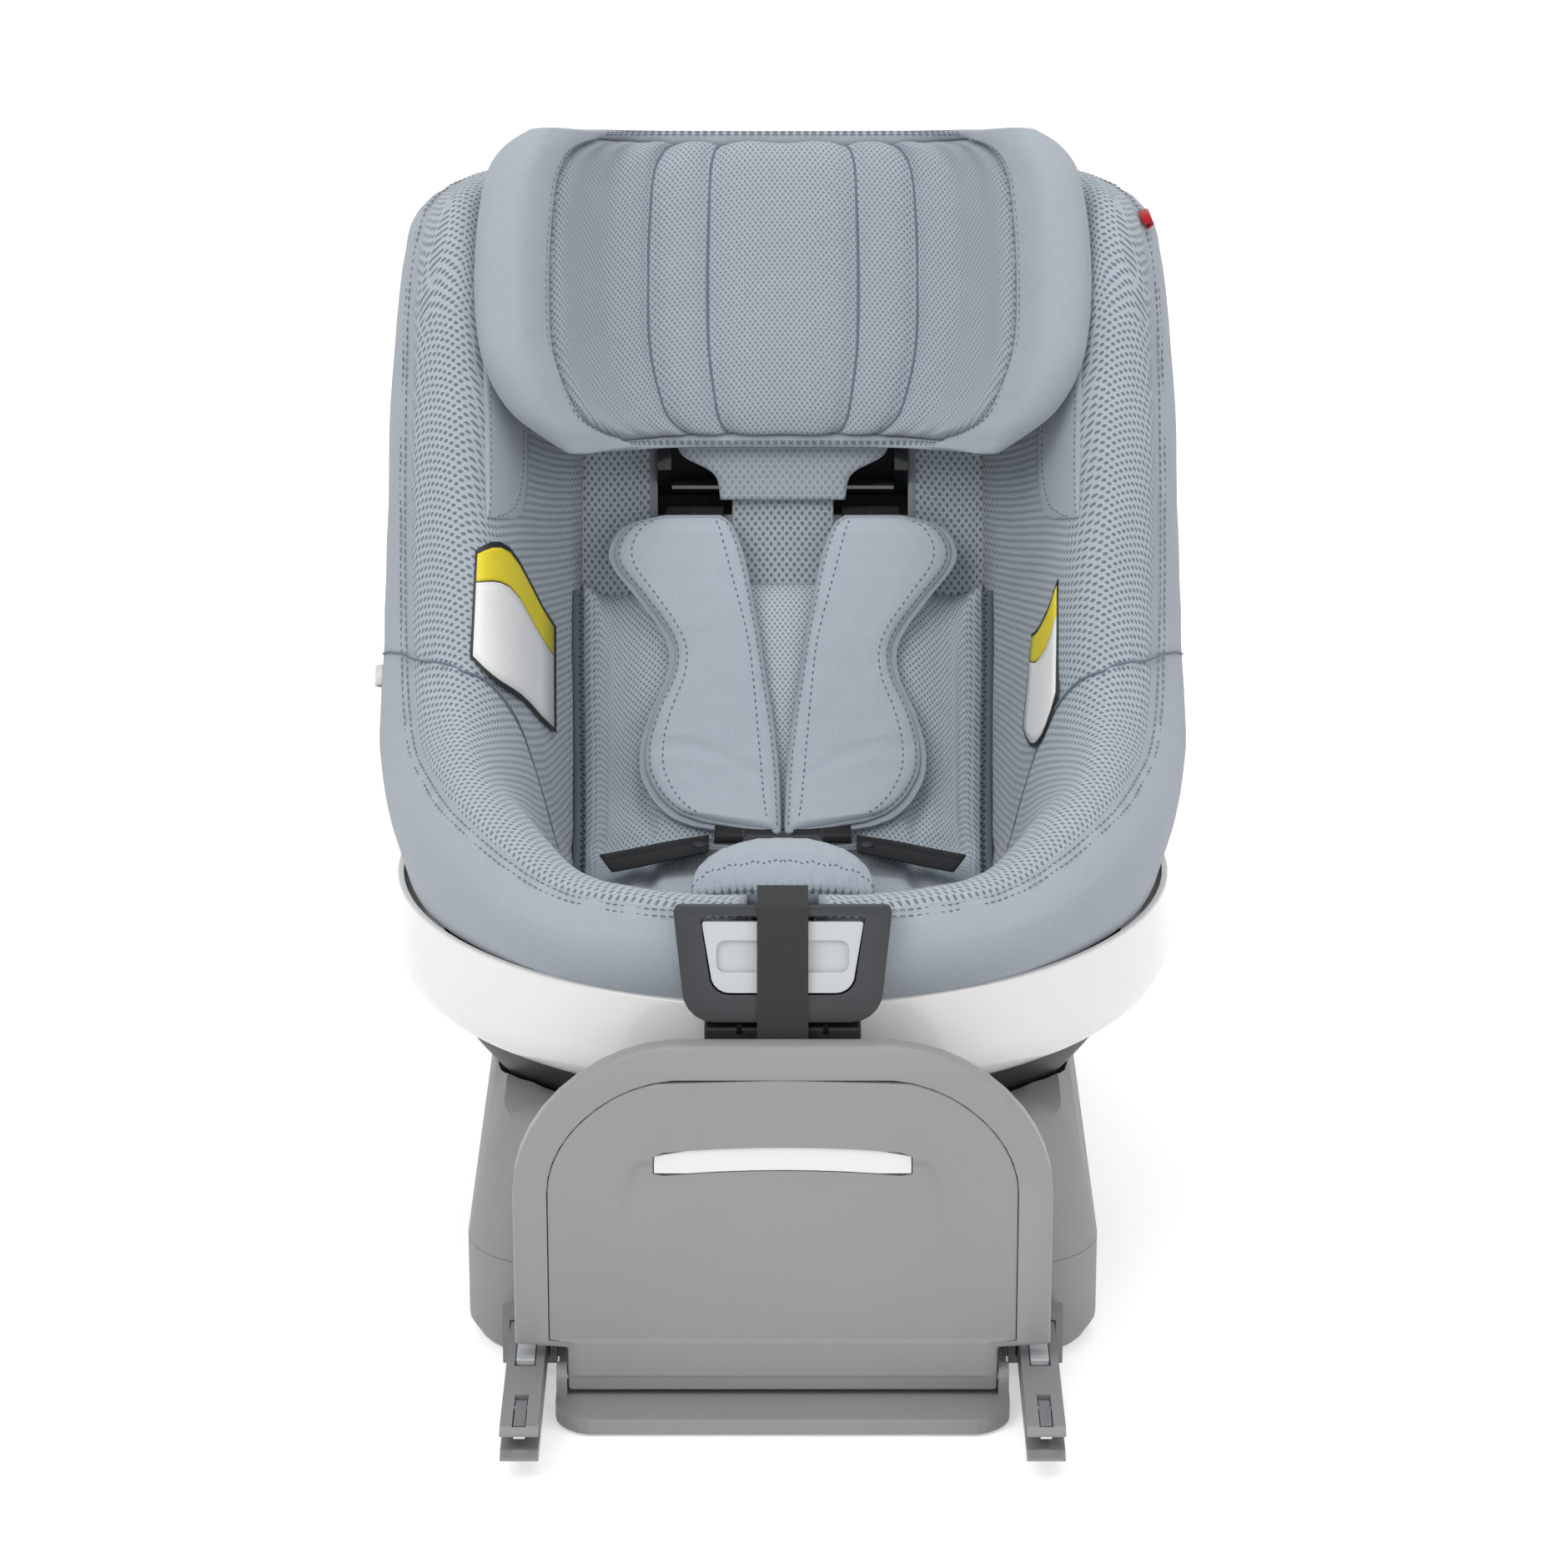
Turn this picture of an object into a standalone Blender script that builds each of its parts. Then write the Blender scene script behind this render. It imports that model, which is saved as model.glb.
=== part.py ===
"""A turning and reclining child car seat on a base with two latch arms.

Metres, +Z up, -Y towards the child's feet. The origin lies on the resting plane, under the axis
on which the seat turns. One object for each piece, in the collection child_car_seat.
"""

import math

import bmesh
import bpy
from mathutils import Matrix, Vector

# Fits shared by all pieces
GAP = 0.0003
SLIP = 0.0006
OVERRUN = 0.004
MERGE = 0.00001

# Turning axis, recline axis and the round bowl between seat and base
PIVOT_Z = 0.2725
BOWL_RADIUS = 0.229
BOWL_WALL = 0.004
BOWL_BOTTOM_Z = 0.085
BOWL_KNEE_Z = 0.152
BOWL_TOP_Z = 0.176
DISH_CLEAR = 0.003
DISC_THICK = 0.010
DISC_RADIUS = 0.126
BEARING_WALL = 0.012
RING_INSET = 0.0165
RING_RADIUS = BOWL_RADIUS - RING_INSET
RING_WALL = 0.0035
RING_TOP_Z = 0.2165
RING_KNEE_Z = 0.190
RING_BOTTOM_Z = 0.158
RING_FOOT_DRAW = 0.0135
RING_FOOT_RADIUS = RING_RADIUS - RING_FOOT_DRAW

# Base
BASE_HALF_WIDTH = 0.1735
BASE_FRONT_Y = -0.200
BASE_REAR_Y = 0.295
BASE_CORNER = 0.045
BASE_REAR_CORNER = 0.080
TRAY_TOP_Z = 0.058
TRAY_ROOF = 0.0025
COVER_TOP_Z = 0.134
COVER_CROWN = 0.026
WELL_FLOOR_Z = 0.0665
COVER_INSET = 0.010
STRIP_WIDTH = 0.016
STRIP_LENGTH = 0.240
STRIP_THICK = 0.004
STRIP_SINK = 0.003
STRIP_X = 0.095
LIP_REACH_Y = -0.300
LIP_HALF_WIDTH = 0.1215
LIP_BOW = 0.014
LIP_THICK = 0.009
LIP_CORNER = 0.018
EAR_WIDTH = 0.006
EAR_RADIUS = 0.0075

# Latch arms
ARM_X = 0.1375
ARM_WIDTH = 0.020
ARM_TOP_Z = 0.031
ARM_BOTTOM_Z = 0.011
ARM_TIP_Y = -0.345
ARM_REAR_Y = 0.060
ARM_TRAVEL_IN = 0.100
ARM_TRAVEL_OUT = 0.020
ARM_SLOT = 0.0008
JAW_DEPTH = 0.026
JAW_MOUTH = 0.0075
JAW_FLARE = 0.0125
CROSS_DEPTH = 0.024
JAW_LIP_DROP = 0.0022
HOOK_WIDTH = 0.006
HOOK_PIN = 0.0018
HOOK_BACK = 0.034
HOOK_ROOM = 0.042
HOOK_PIN_HALF = 0.0075
HOOK_PIN_DROP = 0.0045
HOOK_TOP_DROP = 0.0012
RELEASE_LENGTH = 0.022
RELEASE_WIDTH = 0.010
RELEASE_HEIGHT = 0.0035
RELEASE_PROUD = 0.0004
RELEASE_Y = -0.262
RELEASE_TRAVEL = 0.006
GUIDE_WALL = 0.004
GUIDE_DEPTH = 0.014

# Rebound panel
PANEL_HALF_WIDTH = 0.143
PANEL_TOP_Z = 0.213
PANEL_INNER_Y = -0.2475
PANEL_THICK = 0.014
PANEL_FOOT_Z = 0.038
PANEL_FOOT_DROP = 0.005
PANEL_CORNER = 0.085
PANEL_ARCH = 0.010
PANEL_EDGE = 0.004
INSET_MARGIN = 0.018
INSET_DEPTH = 0.005
INSET_DROP = 0.004
SLOT_HALF_WIDTH = 0.068
SLOT_HEIGHT = 0.013
SLOT_Z = 0.144
GRIP_SHY = 0.0006
GRIP_THICK = 0.008
GRIP_BOW = 0.0035
GRIP_END_share = 0.75
RECESS_HALF_WIDTH = 0.083
RECESS_HEIGHT = 0.072
RECESS_DEPTH = 0.0016
PIN_RADIUS = 0.003
PANEL_PIN_Z = 0.0185

# Support leg
LEG_PIN_Y = 0.272
LEG_PIN_Z = 0.026
LEG_HALF_WIDTH = 0.021
LEG_HEIGHT = 0.022
LEG_WALL = 0.0022
LEG_LENGTH = 0.255
LEG_EXTEND = 0.160
LEG_CHANNEL_CLEAR = 0.005
LEG_TOP_Z = 0.0425
LEG_BOSS_RADIUS = 0.010
LEG_PIN_SEAT = 0.006
CROSS_HEIGHT = 0.008
FOOT_HALF_WIDTH = 0.031
FOOT_DEPTH = 0.030
FOOT_HEIGHT = 0.030
LEG_BUTTON_RADIUS = 0.006
LEG_BUTTON_ROOM = 0.0035
LEG_BUTTON_BOSS = 0.009
LEG_BUTTON_WALL = 0.003
LEG_BUTTON_PROUD = 0.002

# Seat bucket
SEAT_HALF_WIDTH = 0.2235
SEAT_REACH = 0.345
SEAT_FLOOR_Z = 0.183
SEAT_RISE = 0.422
BOLSTER_PAD = 0.010
SHELL_WALL = 0.0035
BACK_RUN_share = 0.151
BACK_CLIMB_share = 0.265
BACK_TILT = math.atan2(BACK_RUN_share * SEAT_REACH, BACK_CLIMB_share * SEAT_RISE)
BACK_WALL = 0.003
BACK_TRIM = 0.0036

# Runners under the bucket and the track they slide in
RUNNER_RADIUS = 0.160
RUNNER_HALF_SPAN = 0.105
RUNNER_WIDTH = 0.010
RUNNER_X = 0.062
TRACK_SPAN = 0.125
TRACK_WALL = 0.004
TRACK_LIP = 0.008
TRACK_TOE = 0.025
TRACK_TOE_RISE = 0.0154

# Front bezel
BEZEL_TOP_HALF_WIDTH = 0.0575
BEZEL_FOOT_HALF_WIDTH = 0.0530
BEZEL_HEIGHT = 0.061
RIM_REACH_share = 0.643
RIM_TOP_share = 0.206
BEZEL_PROUD = 0.0017
BEZEL_TOP_Y = -(RIM_REACH_share * SEAT_REACH + BEZEL_PROUD)
BEZEL_RISE = 0.0056
BEZEL_TOP_Z = SEAT_FLOOR_Z + RIM_TOP_share * SEAT_RISE + BEZEL_RISE
BEZEL_LEAN = math.radians(14.0)
BEZEL_THICK = 0.016
BEZEL_CORNER = 0.017
BEZEL_BAR = 0.0145
BEZEL_SIDE = 0.0140
BEZEL_TOP_BAR = 0.0045
BEZEL_EDGE = 0.0015
BEZEL_OPENING_CORNER = 0.011
HANDLE_CLEAR = 0.0010
HANDLE_TRAVEL = 0.0025
HANDLE_SINK = 0.0010
HANDLE_THICK = 0.006
PULL_DEPTH = 0.0028
PULL_HALF_WIDTH = 0.0350
PULL_TOP = 0.013
PULL_HEIGHT = 0.017
TONGUE_TOP_Z = 0.2118
TONGUE_BOTTOM_Z = 0.184
TONGUE_PROUD = 0.022
TONGUE_FRONT_Y = -(RING_RADIUS + TONGUE_PROUD)
TONGUE_HALF_WIDTH = 0.0415
NOTCH_DEPTH = 0.004
TONGUE_NOTCH_share = 0.55
ADJUSTER_HALF_WIDTH = 0.019
ADJUSTER_SET = 0.0115
ADJUSTER_FRONT_Y = BEZEL_TOP_Y + ADJUSTER_SET
ADJUSTER_DEPTH = 0.022
ADJUSTER_REAR_Y = ADJUSTER_FRONT_Y + ADJUSTER_DEPTH
ADJUSTER_LOW_Z = 0.232
ADJUSTER_TOP_Z = 0.262
ADJUSTER_WALL = 0.0025
ADJUSTER_WELL = 0.012
ADJUSTER_TRAVEL = 0.004
ADJUSTER_BUTTON_TOP_Z = 0.2685
ADJUSTER_WIDTH = 0.027
STRAP_FALL = 0.0026
STRAP_END_Z = 0.206

# Newborn insert, wing pads
INSERT_HALF_WIDTH = 0.113
INSERT_THICK = 0.014
INSERT_LIFT = 0.0008
INSERT_RIM = 0.003
INSERT_HOLLOW = 0.006
INSERT_STEPS = 14
INSERT_FRONT_COLUMN = 5.4
INSERT_TOP_COLUMN = 13.5
INSERT_ACROSS_share = [1, 0.96, 0.88, 0.76, 0.64, 0.54, 0.42, 0.22, 0]
INSERT_EDGE_share = 0.22
INSERT_END_share = 0.12
INSERT_CHANNEL_share = 0.64
INSERT_GROOVE_share = 0.05
INSERT_SIDE_CHANNEL_share = 0.8
INSERT_FOLD_share = 0.66
INSERT_WAIST_share = 0.08
WING_PAD_THICK = 0.004
WING_LIFT = 0.0012
WING_STEPS = 8
WING_ROW = 8.0
WING_ROW_SPAN = 1.2
WING_COLUMN = 12.9
WING_COLUMN_SPAN = 1.3

# Headrest, in its own frame: across, up along the back, forward out of the back
HEAD_SIDE_ROOM = 0.0475
HEAD_HALF_WIDTH = SEAT_HALF_WIDTH - HEAD_SIDE_ROOM
HEAD_HEIGHT = 0.184
HEAD_DEPTH = 0.130
HEAD_DROP_share = 0.2
HEAD_FOOT_share = 0.59
HEAD_FOOT_Y = HEAD_FOOT_share * SEAT_REACH
HEAD_LIFT_share = 0.539
HEAD_FOOT_Z = SEAT_FLOOR_Z + HEAD_LIFT_share * SEAT_RISE
BACK_SINK = 0.004
HEAD_PAD = 0.009
HEAD_SHELL_WALL = 0.0025
HEAD_TRAVEL = 0.110
ROD_RADIUS = 0.005
ROD_HALF_LENGTH = 0.074
ROD_DROP = 0.026
ROD_CLEAR = 0.0015
ROD_BRACKET_WIDTH = 0.008
HEAD_BRACKET_TOP = 0.045
HEAD_BRACKET_FRONT = 0.0079
HEAD_EDGE_COLUMN = 5
SLOT_INNER_X = 0.030
SLOT_OUTER_X = 0.0745
SLOT_BELOW = 0.020
SLOT_ABOVE = 0.026
SLOT_DEPTH = 0.060
LEVER_WIDTH = 0.050
LEVER_HEIGHT = 0.016
LEVER_THICK = 0.005
LEVER_UP_share = 0.86
LEVER_OUT = 0.0044

# Harness
WEB_THICK = 0.0016
WEB_WIDTH = 0.034
LAP_WIDTH = 0.028
PAD_THICK = 0.007
PAD_WIDTH = 0.066
PAD_TOP_COLUMN = 14.4
PAD_FOOT_COLUMN = 11.5
STRAP_FOOT_COLUMN = 11.0
STRAP_TOP_X = 0.052
STRAP_FOOT_X = 0.0228
STRAP_RISE = 0.004
STRAP_FLAT = 0.008
SLOT_STRAP_Y = 0.1975
SLOT_STRAP_Z = 0.3691
TONGUE_THICK = 0.003
TONGUE_Z = 0.2065
TONGUE_TIP_Y = 0.030
TONGUE_SLOT_Y = 0.059
TONGUE_BAR = 0.005
TONGUE_SLOT_HALF = 0.0025
TONGUE_RIM = 0.002
TONGUE_INNER_X = 0.003
TONGUE_BLADE_X = 0.016
TONGUE_OUTER_X = 0.0425
BUCKLE_WIDTH = 0.046
BUCKLE_HEIGHT = 0.052
BUCKLE_THICK = 0.019
BUCKLE_EDGE = 0.004
BUCKLE_FRONT_Y = -0.011
BUCKLE_LOW_Z = 0.2010
BUCKLE_BUTTON_TRAVEL = 0.003
BUCKLE_BUTTON_THICK = 0.004
BUCKLE_BUTTON_SIDE = 0.020
BUCKLE_BUTTON_share = 0.40
BUCKLE_PAD_WALL = 0.006
BUCKLE_PAD_LOW_Z = 0.2033
BUCKLE_PAD_HALF = 0.049
BUCKLE_PAD_FRONT_Y = -0.024
BUCKLE_PAD_DEPTH = 0.038
BUCKLE_PAD_STEPS = 10
RUFFLE = 0.0012
CROTCH_Y = -0.0325
CROTCH_SLOT_HALF = 0.020
CROTCH_LOW_Z = 0.1915

# Rows of the bucket from the outer hem over the padded rim to the middle of the floor and back,
# each from the middle of the front to the top: shares of half width, reach and rise.
HEM_share = [
    (0, -0.62, 0.09), (0.336, -0.591, 0.09), (0.595, -0.493, 0.09), (0.805, -0.325, 0.098),
    (0.908, -0.174, 0.111), (0.953, 0.029, 0.135), (0.957, 0.246, 0.201), (0.949, 0.449, 0.408),
    (0.926, 0.623, 0.585), (0.814, 0.826, 0.716), (0.537, 0.951, 0.775), (0, 0.986, 0.787)]
BELLY_share = [
    (0, -0.643, 0.159), (0.336, -0.614, 0.156), (0.604, -0.516, 0.154), (0.828, -0.333, 0.171),
    (0.948, -0.174, 0.187), (1.016, 0.014, 0.218), (1.024, 0.188, 0.348), (1.014, 0.348, 0.585),
    (0.99, 0.516, 0.77), (0.92, 0.69, 0.845), (0.59, 0.933, 0.848), (0, 0.98, 0.848)]
SEAM_share = [
    (0, -0.594, 0.206), (0.313, -0.568, 0.199), (0.559, -0.464, 0.197), (0.77, -0.29, 0.23),
    (0.868, -0.145, 0.249), (0.924, 0, 0.277), (0.949, 0.145, 0.408), (0.953, 0.275, 0.633),
    (0.94, 0.42, 0.841), (0.85, 0.574, 0.907), (0.537, 0.841, 0.893), (0, 0.904, 0.889)]
RIDGE_share = [
    (0, -0.539, 0.201), (0.295, -0.513, 0.197), (0.515, -0.412, 0.197), (0.68, -0.255, 0.235),
    (0.77, -0.122, 0.268), (0.805, 0.014, 0.32), (0.823, 0.13, 0.462), (0.832, 0.255, 0.668),
    (0.832, 0.391, 0.865), (0.761, 0.528, 0.915), (0.483, 0.783, 0.877), (0, 0.835, 0.872)]
WALL_share = [
    (0, -0.478, 0.159), (0.277, -0.464, 0.159), (0.47, -0.371, 0.159), (0.595, -0.226, 0.178),
    (0.653, -0.087, 0.187), (0.68, 0.058, 0.254), (0.707, 0.203, 0.443), (0.72, 0.333, 0.645),
    (0.716, 0.464, 0.815), (0.662, 0.594, 0.864), (0.447, 0.765, 0.841), (0, 0.788, 0.839)]
CORNER_share = [
    (0, -0.429, 0.1), (0.268, -0.406, 0.088), (0.438, -0.29, 0.045), (0.501, -0.145, 0.012),
    (0.528, 0.029, 0), (0.532, 0.203, 0.009), (0.532, 0.362, 0.123), (0.528, 0.507, 0.372),
    (0.523, 0.658, 0.637), (0.501, 0.73, 0.77), (0.38, 0.757, 0.81), (0, 0.762, 0.818)]
MIDDLE_share = [
    (0, -0.383, 0.073), (0, -0.348, 0.064), (0, -0.246, 0.04), (0, -0.116, 0.019), (0, 0.029, 0.002),
    (0, 0.188, 0), (0, 0.357, 0.123), (0, 0.507, 0.372), (0, 0.658, 0.637), (0, 0.73, 0.77),
    (0, 0.748, 0.799), (0, 0.754, 0.808)]

# Rear cover beside its spine and on its spine, from its lower edge up, in the same shares
REAR_FLANK_share = [
    (0.716, 0.435, 0.187), (0.694, 0.594, 0.313), (0.671, 0.681, 0.479), (0.649, 0.783, 0.621),
    (0.559, 0.893, 0.735), (0.268, 0.953, 0.770)]
REAR_SPINE_share = [
    (0, 0.594, 0.211), (0, 0.696, 0.325), (0, 0.783, 0.502), (0, 0.858, 0.645), (0, 0.928, 0.751),
    (0, 0.957, 0.772)]

# Headrest section, from the middle of its front round the wing to the rear: shares of half width
# and depth. The stations above each other give a share of height, width, depth and thickness.
HEAD_SECTION_share = [
    (0, 0.23), (0.26, 0.23), (0.46, 0.27), (0.60, 0.39), (0.69, 0.62), (0.755, 0.86),
    (0.85, 1.03), (0.945, 1.02), (0.995, 0.93), (0.955, 0.80), (0.83, 0.62), (0.755, 0.43),
    (0.66, 0.22), (0.52, 0.07), (0, 0.05)]
HEAD_STATION_share = [
    (-0.03, 0.72, 0.80, 0.35), (0.03, 0.80, 0.86, 0.8), (0.12, 0.90, 0.93, 1.0),
    (0.30, 0.985, 1.0, 1.0), (0.55, 1.0, 1.0, 1.0), (0.80, 0.98, 0.98, 1.0),
    (0.93, 0.93, 0.93, 0.85), (1.0, 0.85, 0.85, 0.35)]

# Shoulder pad from its top down: share of its length, inner and outer edge in shares of its width
PAD_OUTLINE_share = [
    (0, 0.55, 1.16), (0.04, 0.46, 1.30), (0.12, 0.44, 1.41), (0.26, 0.38, 1.40), (0.40, 0.30, 1.20),
    (0.54, 0.24, 0.99), (0.66, 0.20, 0.95), (0.76, 0.16, 1.08), (0.86, 0.12, 1.11), (0.94, 0.09, 1.04),
    (1, 0.10, 0.92)]
PAD_ACROSS_share = [0, 0.08, 0.3, 0.5, 0.7, 0.92, 1]
STRAP_RUN_share = [
    (0, 0.55), (0.12, 0.8), (0.3, 1.0), (0.5, 1.0), (0.7, 1.0), (0.86, 1.0), (1.0, 1.0)]

# Lap strap from the tongue outward: shares of the tongue's reach, place and height, then the
# directions across the strap and out of it
LAP_RUN_share = [
    (1.012, 0.983, 1.0024, (0, 1, 0), (0, 0, 1)), (1.5, 0.847, 0.9976, (0.2, 1, 0), (0, 0, 1)),
    (2.0, 0.678, 0.9927, (0.3, 1, 0), (0, 0, 1)), (2.4, 0.542, 0.9903, (0.3, 1, 0), (0.2, 0, 1))]
EDGE_share = 0.35
WING_TAPER_share = 0.6
PAD_END_share = 0.06
DOME_FOOT_share = 0.12
DOME_EDGE_share = 0.25
DOME_TURN_share = 0.18
DOME_SPAN_share = 0.64

COLOURS = {
    "knit": ((0.33, 0.40, 0.47), 0.9, 0.0),
    "mesh": ((0.29, 0.37, 0.44), 0.95, 0.0),
    "liner": ((0.22, 0.29, 0.36), 0.95, 0.0),
    "webbing": ((0.02, 0.02, 0.022), 0.8, 0.0),
    "black": ((0.03, 0.03, 0.033), 0.45, 0.0),
    "gloss": ((0.01, 0.01, 0.01), 0.12, 0.0),
    "bezel": ((0.045, 0.048, 0.052), 0.4, 0.0),
    "white": ((0.83, 0.82, 0.81), 0.18, 0.0),
    "handle": ((0.55, 0.57, 0.58), 0.3, 0.0),
    "base": ((0.36, 0.36, 0.36), 0.55, 0.0),
    "panel": ((0.38, 0.39, 0.40), 0.45, 0.0),
    "rubber": ((0.02, 0.02, 0.02), 0.9, 0.0),
    "steel": ((0.55, 0.56, 0.58), 0.3, 1.0),
    "red": ((0.6, 0.03, 0.02), 0.4, 0.0),
    "shell": ((0.05, 0.05, 0.052), 0.6, 0.0),
}


def fresh_scene():
    """Empties the scene and makes the two collections."""
    for item in list(bpy.data.objects):
        bpy.data.objects.remove(item, do_unlink=True)
    made = []
    for title in ("child_car_seat", "cutters"):
        group = bpy.data.collections.new(title)
        bpy.context.scene.collection.children.link(group)
        made.append(group)
    return made


PARTS, CUTTERS = fresh_scene()
MATERIALS = {}


def finish_of(kind):
    """One Principled material for each colour in the list."""
    if kind not in MATERIALS:
        colour, roughness, metallic = COLOURS[kind]
        material = bpy.data.materials.new(kind)
        material.use_nodes = True
        shader = material.node_tree.nodes["Principled BSDF"]
        shader.inputs["Base Color"].default_value = (*colour, 1.0)
        shader.inputs["Roughness"].default_value = roughness
        shader.inputs["Metallic"].default_value = metallic
        material.diffuse_color = (*colour, 1.0)
        MATERIALS[kind] = material
    return MATERIALS[kind]


def new_object(name, bm, kind):
    """Makes a named object in the part's collection from a bmesh."""
    mesh = bpy.data.meshes.new(name)
    bm.to_mesh(mesh)
    bm.free()
    item = bpy.data.objects.new(name, mesh)
    PARTS.objects.link(item)
    mesh.materials.append(finish_of(kind))
    return item


def smooth(item, degrees=38.0):
    """Shades round faces smooth and keeps the sharp edges."""
    item.data.shade_smooth()
    item.data.set_sharp_from_angle(angle=math.radians(degrees))
    return item


def block(name, low, high, kind, taper=None):
    """A box between two corners; taper draws its top in by two shares."""
    low = Vector(low)
    high = Vector(high)
    bm = bmesh.new()
    bmesh.ops.create_cube(bm, size=1.0)
    size = high - low
    middle = (high + low) / 2
    for vert in bm.verts:
        draw = Vector((1.0, 1.0, 1.0))
        if taper and vert.co.z > 0:
            draw = Vector((taper[0], taper[1], 1.0))
        vert.co = Vector((vert.co.x * size.x * draw.x, vert.co.y * size.y * draw.y,
                          vert.co.z * size.z)) + middle
    return new_object(name, bm, kind)


def bevel(item, width, segments=2, degrees=30.0):
    """Rounded edges."""
    mod = item.modifiers.new("bevel", "BEVEL")
    mod.width = width
    mod.segments = segments
    mod.limit_method = "ANGLE"
    mod.angle_limit = math.radians(degrees)
    return item


def cylinder(name, start, end, radius, kind, sides=24):
    """A round pin from one point to another."""
    start = Vector(start)
    end = Vector(end)
    bm = bmesh.new()
    bmesh.ops.create_cone(bm, cap_ends=True, segments=sides, radius1=radius, radius2=radius,
                          depth=(end - start).length)
    turn = (end - start).to_track_quat("Z", "Y").to_matrix().to_4x4()
    bmesh.ops.transform(bm, matrix=Matrix.Translation((start + end) / 2) @ turn, verts=bm.verts)
    return smooth(new_object(name, bm, kind))


def turned(name, profile, kind, steps=64):
    """Turns a closed profile of (radius, height) points about the seat's axis."""
    bm = bmesh.new()
    verts = [bm.verts.new((radius, 0, height)) for radius, height in profile]
    for index, vert in enumerate(verts):
        bm.edges.new((vert, verts[(index + 1) % len(verts)]))
    item = new_object(name, bm, kind)
    mod = item.modifiers.new("screw", "SCREW")
    mod.steps = steps
    mod.render_steps = steps
    mod.use_merge_vertices = True
    mod.merge_threshold = MERGE
    mod.use_normal_calculate = True
    settle(item)
    return smooth(recalc(item))


def disc(name, profile, kind, steps=64):
    """Turns an open profile that starts and ends on the axis."""
    bm = bmesh.new()
    verts = [bm.verts.new((radius, 0, height)) for radius, height in profile]
    for index in range(len(verts) - 1):
        bm.edges.new((verts[index], verts[index + 1]))
    item = new_object(name, bm, kind)
    mod = item.modifiers.new("screw", "SCREW")
    mod.steps = steps
    mod.render_steps = steps
    mod.use_merge_vertices = True
    mod.merge_threshold = MERGE
    mod.use_normal_calculate = True
    settle(item)
    return smooth(recalc(item))


def settle(item):
    """Applies all modifiers, so that the mesh can be cut or moved."""
    graph = bpy.context.evaluated_depsgraph_get()
    graph.update()
    mesh = bpy.data.meshes.new_from_object(item.evaluated_get(graph))
    item.modifiers.clear()
    item.data = mesh
    return item


def recalc(item):
    """Turns all faces outward."""
    bm = bmesh.new()
    bm.from_mesh(item.data)
    bmesh.ops.remove_doubles(bm, verts=bm.verts, dist=MERGE)
    bmesh.ops.recalc_face_normals(bm, faces=bm.faces)
    bm.to_mesh(item.data)
    bm.free()
    return item


def plate(name, outline, thickness, kind, place, resolution=1):
    """A flat outline with half the thickness on each side, moved by a matrix."""
    curve = bpy.data.curves.new(name, "CURVE")
    curve.dimensions = "2D"
    curve.fill_mode = "BOTH"
    curve.extrude = thickness / 2
    curve.resolution_u = resolution
    curve.render_resolution_u = 0
    spline = curve.splines.new("POLY")
    spline.points.add(len(outline) - 1)
    for point, (across, along) in zip(spline.points, outline):
        point.co = (across, along, 0, 1)
    spline.use_cyclic_u = True
    draft = bpy.data.objects.new(name + "_outline", curve)
    PARTS.objects.link(draft)
    graph = bpy.context.evaluated_depsgraph_get()
    graph.update()
    mesh = bpy.data.meshes.new_from_object(draft.evaluated_get(graph))
    bpy.data.objects.remove(draft, do_unlink=True)
    mesh.name = name
    mesh.transform(place)
    item = bpy.data.objects.new(name, mesh)
    PARTS.objects.link(item)
    mesh.materials.clear()
    mesh.materials.append(finish_of(kind))
    return recalc(item)


def cut(item, *cutters, operation="DIFFERENCE"):
    """Applies Boolean cuts with the exact solver and puts the cutters away."""
    for cutter in cutters:
        mod = item.modifiers.new("cut", "BOOLEAN")
        mod.operation = operation
        mod.solver = "EXACT"
        mod.object = cutter
    settle(item)
    for cutter in cutters:
        if operation == "DIFFERENCE" and cutter.name in PARTS.objects:
            PARTS.objects.unlink(cutter)
            CUTTERS.objects.link(cutter)
            cutter.hide_render = True
            cutter.display_type = "WIRE"
            continue
        if operation == "UNION":
            bpy.data.objects.remove(cutter, do_unlink=True)
    return recalc(item)


def join(item, *others):
    """Fuses solids that overlap into one."""
    return cut(item, *others, operation="UNION")


def rounded_outline(half_width, low, high, corners, steps=6):
    """A symmetric outline with rounded corners: (low corner radius, high corner radius)."""
    points = []
    spots = [(half_width, low, corners[0], -90), (half_width, high, corners[1], 0),
             (-half_width, high, corners[1], 90), (-half_width, low, corners[0], 180)]
    for across, along, radius, start in spots:
        centre_x = across - math.copysign(radius, across)
        centre_y = along + radius if along == low else along - radius
        for step in range(steps + 1):
            angle = math.radians(start + 90 * step / steps)
            points.append((centre_x + radius * math.cos(angle),
                           centre_y + radius * math.sin(angle)))
    return points


def axes_matrix(origin, across, along, out):
    """A matrix that takes x, y and z to three directions at an origin."""
    turn = Matrix((across, along, out)).transposed().to_4x4()
    return Matrix.Translation(origin) @ turn


UPRIGHT = axes_matrix((0, 0, 0), (1, 0, 0), (0, 0, 1), (0, -1, 0))
SIDEWAYS = axes_matrix((0, 0, 0), (0, 1, 0), (0, 0, 1), (1, 0, 0))


def table_points(table):
    """Shares of half width, reach and rise as points."""
    return [Vector((across * SEAT_HALF_WIDTH, along * SEAT_REACH, SEAT_FLOOR_Z + rise * SEAT_RISE))
            for across, along, rise in table]


def mirrored(point):
    """The same point on the other side of the plane of symmetry."""
    return Vector((-point.x, point.y, point.z))


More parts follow.
